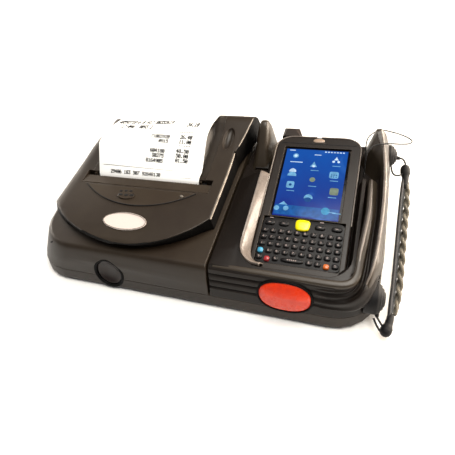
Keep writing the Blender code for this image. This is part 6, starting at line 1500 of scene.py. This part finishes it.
        self.carried("inner_rail_sweep", inner, size * section[None, :, 0],
                     np.broadcast_to(section[:, 1], (len(inner), len(section))))
        # pale tubes along both crests: painted highlights
        for name, crest, start, end in (("outer", outer, 2, 97), ("inner", inner, 68, 115)):
            line = evenly(crest, 120)[start:end] + self.bench.shift - (0, 0, self.highlight_sunk)
            thick = (self.highlight_radius
                     * np.sin(np.linspace(0.15, np.pi - 0.15, len(line))) ** 0.35)
            self.bench.put(tube(name + "_rail_crest", line, thick, FINISHES["painted_highlight_plastic"]))
        self.build_chamfer()
        self.build_corner()
        left = smooth_curve(self.crest([(y, 0.0, z) for y, z in self.left_post]), 6)
        section = np.array(self.left_section)
        self.carried("left_post_sweep", left,
                     np.broadcast_to(section[:, 0], (len(left), len(section))),
                     np.broadcast_to(section[:, 1], (len(left), len(section))))

    def build_chamfer(self) -> None:
        """Builds the broad soft slope between the deck's left crest and the docked terminal, whose
        pale colour is a painted highlight.

        Across a share t the slope goes inwards by width * t and falls by drop * t^1.2, where the
        drop is the crest's height over the terminal's face at that depth.
        """
        crest = smooth_curve(np.array(self.chamfer), 8)
        ahead = headings(crest)
        inwards = np.stack([-ahead[:, 1], ahead[:, 0]], axis=-1)
        inwards *= np.sign(inwards[0, 0])
        share = np.linspace(-0.12, 1, 15)
        flat = crest[:, None] + inwards[:, None] * (self.chamfer_width * share[None, :, None])
        top = 0.0402 + 0.160 * np.clip(crest[:, 1] + 0.0745, 0, 0.0985)
        face = self.face_height(crest[:, 1]) - 0.0003
        fall = np.sign(share) * np.abs(share) ** 1.2
        tall = top[:, None] - (top - face)[:, None] * np.clip(fall, -0.02, 1)
        tall[:, 0] -= 0.0012
        grid = np.concatenate([flat, tall[..., None]], axis=-1)
        slope = surface("pocket_slope", grid + self.bench.shift, FINISHES["painted_highlight_plastic"],
                        sharp_degrees=70)
        wall = slope.modifiers.new("wall", "SOLIDIFY")
        wall.thickness = 0.0010
        wall.offset = -1
        self.bench.put(slope)

    def build_corner(self) -> None:
        """Lofts the ridges round the front right corner into the valley between both rails.

        A Catmull-Rom curve runs through the stations' columns, and then one through each row.
        """
        net = np.array(self.shell) * MM
        stations, columns = net.shape[:2]
        rows = smooth_curve(net.reshape(stations, -1), 8).reshape(-1, columns, 3)
        fine = smooth_curve(rows.transpose(1, 0, 2).reshape(columns, -1), 6)
        fine = fine.reshape(-1, len(rows), 3).transpose(1, 0, 2)
        self.bench.put(surface("corner_ridges", fine + self.bench.shift,
                               FINISHES["cradle_plastic"], sharp_degrees=75))

    def face_height(self, y: np.ndarray) -> np.ndarray:
        """Height of the docked terminal's face, which is pitched by 13 degrees, at a depth."""
        return 0.0522 + (y - 0.019) * math.tan(math.radians(13))

    def build_release(self) -> None:
        """Builds the orange button.

        Ring r of the superellipse stands out by proud * (1 - r^2.6)^0.5, times a roof that falls
        by a third away from a level crease a little above the middle. The first rings line a hollow
        underneath, which the return spring goes up into when the button is pressed.
        """
        share = np.concatenate([[0.66, 0.66, 1.0, 1.0],
                                np.linspace(0.995, 0.0, 26)])[:, None, None]
        flat = oval(84, *self.release_half, self.release_power)[None] * share
        bulge = (1 - share[..., 0] ** 2.6) ** 0.5
        tall = flat[..., 1] / self.release_half[1]
        roof = np.where(tall > 0.12, 1 - 0.42 * (tall - 0.12), 1 - 0.30 * (0.12 - tall))
        height = self.release_proud * bulge * roof
        height[:3] = np.array([-0.0010, -0.0030, -0.0030])[:, None]
        flat[-1] += flat[0] * 0.0005
        grid = self.bench.on_front(self.release_place,
                                   np.concatenate([flat, height[..., None]], axis=-1))
        self.bench.put(surface("release_dome", grid, FINISHES["button_orange"], ring=True,
                               ends=Ends.CAPPED, sharp_degrees=60), "release_button")
        # the collar's black is partly painted shade of the recess round the button
        wide, high = (half + 0.0007 for half in self.release_half)
        self.bench.put_collar("release_collar", self.release_place,
                              oval(84, wide, high, self.release_power), 0.0002, 0.0010)

    def build_knobs(self) -> None:
        """Turns each strap knob round a level axis and adds the lug that its loop hangs from."""
        profile = np.array(self.knob_profile)
        angle = np.linspace(0, 2 * np.pi, 64, endpoint=False)
        for side, place, radius, lug in self.knobs:
            reach = profile[:, 0] * self.knob_reach
            size = profile[:, 1:2] * radius
            grid = np.stack([np.broadcast_to(reach[:, None], (len(profile), 64)),
                             size * np.cos(angle), size * np.sin(angle)], axis=-1)
            knob = surface("strap_knob_" + side, grid + place + self.bench.shift,
                           FINISHES["soft_black"], ring=True, ends=Ends.CAPPED,
                           sharp_degrees=40)
            node = "strap_anchor_" + side
            self.bench.put(knob, node)
            start = np.array(place) + (self.knob_reach / 2, 0, 0)
            path = np.linspace(start, np.array(lug), 8) + self.bench.shift
            radii = 0.0017 * np.array([1, 1, 1, 1, 1, 1, 0.97, 0.7])
            rod = tube("strap_lug_" + side, path, radii, FINISHES["soft_black"], up=(0.2, 0.1, 1.0))
            self.bench.put(rod, node)

    def build(self) -> None:
        """Builds every piece of the cradle's half that shows."""
        cuts = [(0, x) for x in (0.1105, 0.1275)] + [(1, y) for y in (-0.0590, -0.0550)]
        self.bench.soften("cradle_housing", 0.5, reshape=self.pushed, cuts=cuts)
        self.build_rails()
        self.build_release()
        self.build_knobs()


# The docked terminal

@dataclass
class Terminal:
    """The hand terminal in the cradle: case, bezel, keys and a lit screen."""

    bench: Workbench
    origin: tuple[float, float, float] = (0.095, 0.019, 0.0522)
    pitch: float = math.radians(13)
    columns: int = 10
    column_pitch: float = 6.7
    rows: tuple[float, ...] = (-52.0, -58.2, -64.4, -70.6, -76.8)
    key_half: tuple[float, float] = (2.75, 2.15)
    key_height: float = 0.0010
    coloured: tuple[tuple[str, tuple[float, float]], ...] = (
        ("blue_key", (-30.2, -71.1)), ("red_key", (-23.5, -78.0)), ("orange_key", (23.5, -78.0)))
    coloured_half: float = 2.365
    soft_keys: tuple[float, ...] = (-27.5, -15.5, 14.1, 27.5)
    soft_row: float = -44.5
    display_half: tuple[float, float] = (0.0274, 0.0360)
    display_low: float = -0.0009
    # path of the pale painted highlight line along the bezel's rim
    rim: tuple[Place, ...] = (
        (0.0020, 0.0500, -0.0004), (0.0120, 0.0500, -0.0004), (0.0240, 0.0499, -0.0004),
        (0.0300, 0.0484, -0.0004), (0.0348, 0.0450, -0.0004), (0.0374, 0.0404, -0.0004),
        (0.0380, 0.0350, -0.0004), (0.0380, 0.0200, -0.0004), (0.0380, 0.0, -0.0004),
        (0.0380, -0.0200, -0.0004), (0.0380, -0.0400, -0.0008))

    def on_face(self, points: np.ndarray) -> np.ndarray:
        """Takes places on the terminal's face, with a height over it, to the frame.

        Args:
            points: across, up and height for each point.

        Returns:
            The same points turned up by the pitch and moved to the terminal's zero.
        """
        cos, sin = math.cos(self.pitch), math.sin(self.pitch)
        turn = np.array([[1, 0, 0], [0, cos, sin], [0, -sin, cos]])
        return points @ turn + self.origin + self.bench.shift

    def marks(self, name: str, outlines: list[np.ndarray], height: float, finish: Finish) -> None:
        """Lays flat outlines of one kind on the face, all in one piece.

        Args:
            name: the piece's name.
            outlines: for each mark the corners round it, two lengths in millimetres.
            height: how far they lie over the face.
            finish: their finish.
        """
        flat = np.concatenate(outlines) * MM
        points = self.on_face(np.column_stack([flat, np.full(len(flat), height)]))
        starts = np.cumsum([0] + [len(outline) for outline in outlines])
        faces = [list(range(low, high)) for low, high in zip(starts[:-1], starts[1:])]
        self.bench.put(meshed(name, points, faces, finish), body="terminal")

    def key_places(self) -> tuple[np.ndarray, np.ndarray]:
        """Centres and half sizes of all dark keys, in millimetres.

        Returns:
            The grid of letter keys without the places of the coloured keys, the yellow key and
            the long key, then the long key, then the four broad keys of the top row.
        """
        across = (np.arange(self.columns) - (self.columns - 1) / 2) * self.column_pitch
        x, u = (part.ravel() for part in np.meshgrid(across, self.rows))
        taken = np.array([place for _, place in self.coloured])
        near = np.min(np.hypot(x[:, None] - taken[:, 0], (u[:, None] - taken[:, 1])), axis=1) < 3.6
        long_key = (np.abs(x + 3) < 12) & (u < -75)
        centres = np.stack([x, u], axis=-1)[~near & ~long_key]
        halves = np.broadcast_to(self.key_half, centres.shape)
        soft = np.array([(place, self.soft_row) for place in self.soft_keys])
        centres = np.concatenate([centres, [(-3.3, -76.8)], soft])
        halves = np.concatenate([halves, [(9.2, 2.0)], [(4.3, 2.2)] * 4])
        return centres, halves

    def build_keys(self) -> None:
        """Builds the dark keys on their mat, their pale legends and the coloured keys."""
        centres, halves = self.key_places()
        base = pillows("key_bed", np.array([(0.0, -0.06)]), np.array([(0.0334, 0.0214)]),
                       np.array([0.0006]), FINISHES["key_black"],
                       lambda points: self.on_face(points - (0, 0, 0.0013)), power=14)
        self.bench.put(base, "key_mat")
        keys = pillows("key_cushions", centres * MM, halves * MM,
                       np.full(len(centres), self.key_height + 0.0007), FINISHES["key_black"],
                       lambda points: self.on_face(points - (0, 0, 0.0007)), power=3.0)
        self.bench.put(keys, "key_mat")
        letter = centres[:-5]
        signs = "123456789047105829361480573920681745203968150274"
        dots = np.concatenate([dot_places(signs[i % len(signs)], place[0] - 0.5, place[1] - 0.72,
                                          (0.25, 0.25)) for i, place in enumerate(letter)])
        dashes = np.array([(-3.3 + 1.6 * step, -76.8) for step in (-2, -1, 0, 1, 2)])
        outlines = [*corners_of(dots, (0.14, 0.14)), *corners_of(dashes, (0.5, 0.32)),
                    *corners_of(centres[-4:], (1.1, 0.22))]
        self.marks("key_legends", outlines, self.key_height + 0.00005, FINISHES["legend"])
        self.marks("soft_key_dashes", list(corners_of(np.array([(-27.0, -39.7), (15.0, -39.7)]),
                                                      (1.5, 0.3))), 0.00008,
                   FINISHES["legend"])
        for node, place in self.coloured:
            cap = pillows(node + "_cap", np.array([place]) * MM,
                          np.full((1, 2), self.coloured_half * MM), np.array([0.0026]),
                          self.bench.finish_of(node),
                          lambda points: self.on_face(points - (0, 0, 0.0012)), power=3.0,
                          levels=((1.0, -0.3), *CUSHION))
            self.bench.put(cap, node)
        self.build_scan_key()

    def build_scan_key(self) -> None:
        """Builds the yellow key: a cushion that is wider at its top than at its foot."""
        half = (6.0 * MM, 5.2 * MM)

        def place(points: np.ndarray) -> np.ndarray:
            """Widens the upper side and crowns the face, then lays it on the terminal."""
            across, up, height = points.T
            share = (up / MM + 44.7) / 5.2
            wide = across * (1 + 0.07 * share)
            return self.on_face(np.stack([wide, up, height - 0.0012], axis=-1))

        key = pillows("scan_key_cap", np.array([(0.0, -44.7)]) * MM, np.array([half]),
                      np.array([0.0030]), FINISHES["key_yellow"], place, power=3.4,
                      levels=((0.9, -0.3), (0.9, 0.40), (1.0, 0.46), (1.0, 0.6), (0.97, 0.78),
                              (0.90, 0.90), (0.75, 0.97), (0.4, 1.0), (0.02, 1.0)))
        self.bench.put(key, "scan_key")

    def build_screen(self) -> None:
        """Builds the dark glass, the lit picture and generic tiles, discs and dashes on it."""
        glass = pillows("screen_glass", np.array([(0.0, 0.0)]), np.array([(0.0294, 0.0371)]),
                        np.array([0.0010]), FINISHES["glass"],
                        lambda points: self.on_face(points - (0, 0, 0.0014)), power=18)
        self.bench.put(glass, "screen_window")
        half_x, half_u = self.display_half
        rows = np.linspace(-1, 1, 12)
        u, x = np.meshgrid(rows * half_u, rows * half_x, indexing="ij")
        flat = np.stack([x, u + self.display_low, np.full_like(x, -0.00034)], axis=-1)
        uv = np.stack([x / half_x, u / half_u], axis=-1) / 2 + 0.5
        self.bench.put(surface("screen_picture", self.on_face(flat), FINISHES["screen_blue"],
                               uv=uv), body="terminal")
        tile = oval(20, 3.6, 3.6, 5)
        disc = oval(20, 2.6, 2.6)
        dome = np.array([(-4, -1.2), (4, -1.2), (3.7, 1.0), (2.2, 2.8), (0, 3.6), (-2.2, 2.8),
                         (-3.7, 1.0)])
        cone = np.array([(-3.2, -2.6), (3.2, -2.6), (1.4, 0.6), (0, 3.6), (-1.4, 0.6)])
        white = [disc * 0.55 + (-18, 27.5), dome * 0.8 + (-18, 10.2), disc * 0.5 + (-0.5, 17.0),
                 cone * 0.62 + (18.2, 26.5), disc * 0.45 + (16.0, 23.2), disc * 0.45 + (20.4, 23.2),
                 *corners_of(np.array([(-22.0, 33.6)]), (2.6, 0.45)),
                 *corners_of(np.array([(8 + 2.6 * i, 33.4) for i in range(7)]), (0.8, 0.6)),
                 *corners_of(np.array([(-16.5, 20.4)]), (5.6, 0.42)),
                 *corners_of(np.array([(1.5, 29.6)]), (3.0, 0.4))]
        self.marks("screen_white_marks", white, -0.00028, FINISHES["lit_white"])
        pale = [disc + (-18, 27.5), dome + (-18, 6.0), tile * (0.95, 1.0) + (-17.6, -4.6),
                cone * 0.95 + (-0.6, 18.6), tile * (1.1, 1.0) + (18.2, 8.8),
                dome * 0.95 + (0.0, -16.4), cone * (1.2, 0.55) + (-20.0, -24.2),
                disc * 0.9 + (-17.0, -29.0), disc * 0.9 + (-25.0, -29.5),
                *corners_of(np.array([(-16.5, -10.9), (1.0, 12.3), (1.5, -4.6), (19.0, 18.4),
                                      (19.0, 2.6), (19.6, -14.4), (21.0, -29.0), (25.0, -29.5)]),
                            (3.4, 0.35))]
        self.marks("screen_pale_marks", pale, -0.00031, FINISHES["lit_pale"])
        rows = np.array([(18.2 + dx, 8.8 + du) for dx in (-2, 0, 2) for du in (-2, 0)])
        detail = [*corners_of(rows, (0.55, 0.5)), disc * (1.15, 0.9) + (0.0, -18.6),
                  disc * 0.5 + (-17.6, -4.6)]
        self.marks("screen_blue_marks", detail, -0.00025, FINISHES["lit_deep"])
        olive = [tile * 1.02 + (20.4, -8.2), disc * 0.95 + (0.6, 2.4)]
        self.marks("screen_olive_marks", olive, -0.00031, FINISHES["lit_olive"])
        self.marks("screen_teal_mark", [disc * 1.35 + (16.0, -28.2)], -0.00031,
                   FINISHES["lit_teal"])
        bar = corners_of(np.array([(0.0, -30.6)]), (26.6, 4.9))
        self.marks("screen_bar", list(bar), -0.00033, FINISHES["lit_bar"])

    def build(self) -> None:
        """Builds the terminal's shells, keys and screen."""
        self.bench.soften("terminal_case", 1.4, segments=4)
        self.bench.soften("terminal_bezel", 0.9, segments=4)
        self.bench.soften("antenna_cap", 1.6, segments=4)
        lamp = pillows("indicator_lens", np.array([(0.0, 0.0452)]), np.array([(0.0050, 0.0023)]),
                       np.array([0.0011]), FINISHES["lens"], self.on_face, power=2.6)
        self.bench.put(lamp, body="terminal")
        line = np.stack([np.linspace(-0.0335, 0.0335, 40), np.full(40, 0.0418), np.zeros(40)],
                        axis=-1)
        seam = tube("rim_seam", self.on_face(line), 0.00035, FINISHES["key_black"], sides=6)
        self.bench.put(seam, body="terminal")
        # pale tubes along the bezel's rim: painted highlights
        for side in (-1, 1):
            rim = np.array([(side * x, u, n) for x, u, n in self.rim])
            line = tube(f"rim_edge_{side + 1}", self.on_face(smooth_curve(rim, 10)), 0.00055,
                        FINISHES["painted_highlight_plastic"], sides=8)
            self.bench.put(line, body="terminal", slot="terminal_bezel")
        self.build_keys()
        self.build_screen()


# The strap and the cords

@dataclass
class HandStrap:
    """The side hand strap: a smooth woven band with a braid laced along its outer side."""

    bench: Workbench
    route: tuple[Place, ...] = (
        (0.1660, -0.0868, 0.0086), (0.1672, -0.0840, 0.0088), (0.1690, -0.0790, 0.0094),
        (0.1706, -0.0600, 0.0114), (0.1714, -0.0350, 0.0148), (0.1720, -0.0050, 0.0198),
        (0.1726, 0.0250, 0.0254), (0.1730, 0.0430, 0.0298), (0.1732, 0.0540, 0.0332),
        (0.1728, 0.0600, 0.0356), (0.1722, 0.0632, 0.0368))
    band_half_thickness: float = 0.0012
    band_half_height: float = 0.0046
    band_in: float = 0.0013
    strand_radius: float = 0.0015
    strand_sway: float = 0.0026
    strand_weave: float = 0.0012
    strand_out: float = 0.0030
    plait_length: float = 0.0340
    samples: int = 240

    def build_band(self, path: np.ndarray, side: np.ndarray, up: np.ndarray) -> None:
        """Builds the flat band.

        Args:
            path: its middle line.
            side: the direction outwards at each point.
            up: the direction across the band at each point.
        """
        length = arc_lengths(path)[-1]
        along = arc_lengths(path) / length
        taper = np.interp(along, [0, 0.07, 0.13, 0.87, 0.93, 1], [0.45, 0.5, 1, 1, 0.5, 0.45])
        outline = oval(24, self.band_half_thickness, self.band_half_height, 5)
        grid = (path[:, None] + outline[None, :, :1] * side[:, None]
                + outline[None, :, 1:] * taper[:, None, None] * up[:, None])
        around = np.linspace(0, 1, 25)[None, :] * (self.band_half_height * 4)
        uv = np.stack([np.broadcast_to((along * length)[:, None], (self.samples, 25)),
                       np.broadcast_to(around, (self.samples, 25))], axis=-1)
        self.bench.put(surface("strap_band", grid, FINISHES["webbing"], ring=True,
                               ends=Ends.CAPPED, uv=uv), "hand_strap")

    def build_braid(self, path: np.ndarray, side: np.ndarray, up: np.ndarray) -> None:
        """Plaits three strands on the band's outer side.

        A strand's place is sway * sin(a) across the band and out + weave * sin(2a) away from
        it, where a turns once in a plait's length and each strand is a third of a turn on.

        Args:
            path: the band's middle line.
            side: the direction outwards at each point.
            up: the direction across the band at each point.
        """
        distance = arc_lengths(path)
        along = distance / distance[-1]
        swell = np.interp(along, [0.09, 0.14, 0.24, 0.76, 0.86, 0.91], [0.3, 0.7, 1, 1, 0.7, 0.3])
        keep = (along > 0.09) & (along < 0.91)
        for strand in range(3):
            turn = 2 * np.pi * (distance / self.plait_length + strand / 3)
            across = (self.strand_sway * np.sin(turn) * swell)[:, None]
            out = (self.strand_out * (0.55 + 0.45 * swell)
                   + self.strand_weave * np.sin(2 * turn) * swell)[:, None]
            line = path + up * across + side * out
            radius = self.strand_radius * (0.5 + 0.5 * swell)
            piece = tube(f"strap_strand_{strand + 1}", line[keep], radius[keep],
                         FINISHES["braid"], up=(0.05, 0.0, 1.0), sides=14)
            self.bench.put(piece, body="strap")

    def build_toggles(self) -> None:
        """Builds the rubber toggle at each end of the band: a short swollen sleeve."""
        ends = (("front", ((0.1650, -0.0915, 0.0078), (0.1664, -0.0868, 0.0082),
                           (0.1680, -0.0812, 0.0091), (0.1694, -0.0730, 0.0101))),
                ("rear", ((0.1716, 0.0668, 0.0384), (0.1724, 0.0620, 0.0362),
                          (0.1731, 0.0545, 0.0336), (0.1732, 0.0440, 0.0304))))
        share = np.array([0, 0.03, 0.10, 0.22, 0.38, 0.52, 0.70, 0.90, 1.0])
        size = np.array([0.10, 0.50, 0.84, 1.0, 0.96, 0.70, 0.66, 0.58, 0.30]) * 0.0043
        for name, route in ends:
            path = evenly(smooth_curve(np.array(route), 8), 36)
            radius = np.interp(np.linspace(0, 1, 36), share, size)
            self.bench.put(tube("strap_toggle_" + name, path + self.bench.shift, radius,
                                FINISHES["soft_black"], sides=20), body="strap")

    def build(self) -> None:
        """Builds the band, its braid and its end toggles."""
        path = evenly(smooth_curve(np.array(self.route), 12), self.samples) + self.bench.shift
        side, up = path_frames(path, (0.0, 0.0, 1.0))
        leaning = 0.94 * up - 0.34 * side
        self.build_band(path - self.band_in * side, 0.94 * side + 0.34 * up, leaning)
        self.build_braid(path, side, up)
        self.build_toggles()


@dataclass
class Cords:
    """The two loops that hold the strap and the thin tether round the rear post."""

    bench: Workbench
    loop_diameter: float = 0.0016
    tether_diameter: float = 0.0011
    shortest_cord: float = 0.03
    tether_route: tuple[Place, ...] = (
        (0.1372, 0.0620, 0.0406), (0.1368, 0.0615, 0.0520), (0.1364, 0.0630, 0.0620),
        (0.1374, 0.0668, 0.0662), (0.1402, 0.0714, 0.0668), (0.1442, 0.0766, 0.0668),
        (0.1492, 0.0780, 0.0668), (0.1546, 0.0762, 0.0670), (0.1630, 0.0718, 0.0676),
        (0.1695, 0.0650, 0.0692), (0.1725, 0.0595, 0.0700), (0.1705, 0.0558, 0.0700),
        (0.1640, 0.0546, 0.0700), (0.1565, 0.0542, 0.0702), (0.1495, 0.0534, 0.0700),
        (0.1429, 0.0518, 0.0690), (0.1388, 0.0478, 0.0660), (0.1376, 0.0452, 0.0580),
        (0.1374, 0.0448, 0.0406))
    front_loop: tuple[Place, ...] = (
        (0.1592, -0.0782, 0.0108), (0.1622, -0.0822, 0.0096), (0.1650, -0.0862, 0.0086),
        (0.1652, -0.0890, 0.0080), (0.1626, -0.0880, 0.0078), (0.1596, -0.0836, 0.0082),
        (0.1572, -0.0790, 0.0092))
    rear_loop: tuple[Place, ...] = (
        (0.1664, 0.0690, 0.0438), (0.1694, 0.0694, 0.0424), (0.1716, 0.0676, 0.0402),
        (0.1722, 0.0640, 0.0378), (0.1712, 0.0596, 0.0362), (0.1690, 0.0552, 0.0362),
        (0.1658, 0.0528, 0.0370), (0.1628, 0.0530, 0.0380), (0.1610, 0.0560, 0.0392),
        (0.1602, 0.0600, 0.0405))

    def lay(self, name: str, route: tuple[Place, ...], diameter: float, node: str) -> None:
        """Args:
            name: the piece's name.
            route: the points that it passes, in the maker's axes.
            diameter: its thickness.
            node: the solid that it stands for.
        """
        path = evenly(smooth_curve(route, 8), 6 * len(route)) + self.bench.shift
        cord = tube(name, path, diameter / 2, FINISHES["cord_black"], up=(0.3, 0.2, 0.93))
        self.bench.put(cord, node)

    def build(self) -> None:
        """Lays the tether and both loops."""
        self.lay("tether_line", self.tether_route, self.tether_diameter, "tether_cord")
        self.lay("front_loop", self.front_loop, self.loop_diameter, "strap_loop_front")
        self.lay("rear_loop", self.rear_loop, self.loop_diameter, "strap_loop_rear")


@dataclass
class Internals:
    """What the open door and the underside show: these solids keep their shape."""

    bench: Workbench
    dark: dict[str, Finish] = field(default_factory=lambda: {
        node: FINISHES["acetal_black"]
        for node in ("platen_gear", "platen_bush_left", "platen_bush_right", "roll_holder")})

    def build(self) -> None:
        """Paints every solid that no other piece stands for."""
        for node in sorted(set(self.bench.frame["nodes"]) - self.bench.stood_for):
            self.bench.paint(node, self.dark.get(node))


def main() -> None:
    """Builds every sub-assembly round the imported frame."""
    logging.basicConfig(level=logging.INFO, format="%(message)s")
    bench = Workbench(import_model())
    for assembly in (Studio(bench), Cords(bench), PrinterHalf(bench), Receipt(bench),
                     CradleHalf(bench), Terminal(bench), HandStrap(bench), Internals(bench)):
        assembly.build()
        LOG.info("built %s", type(assembly).__name__)


if __name__ == "__main__":
    main()
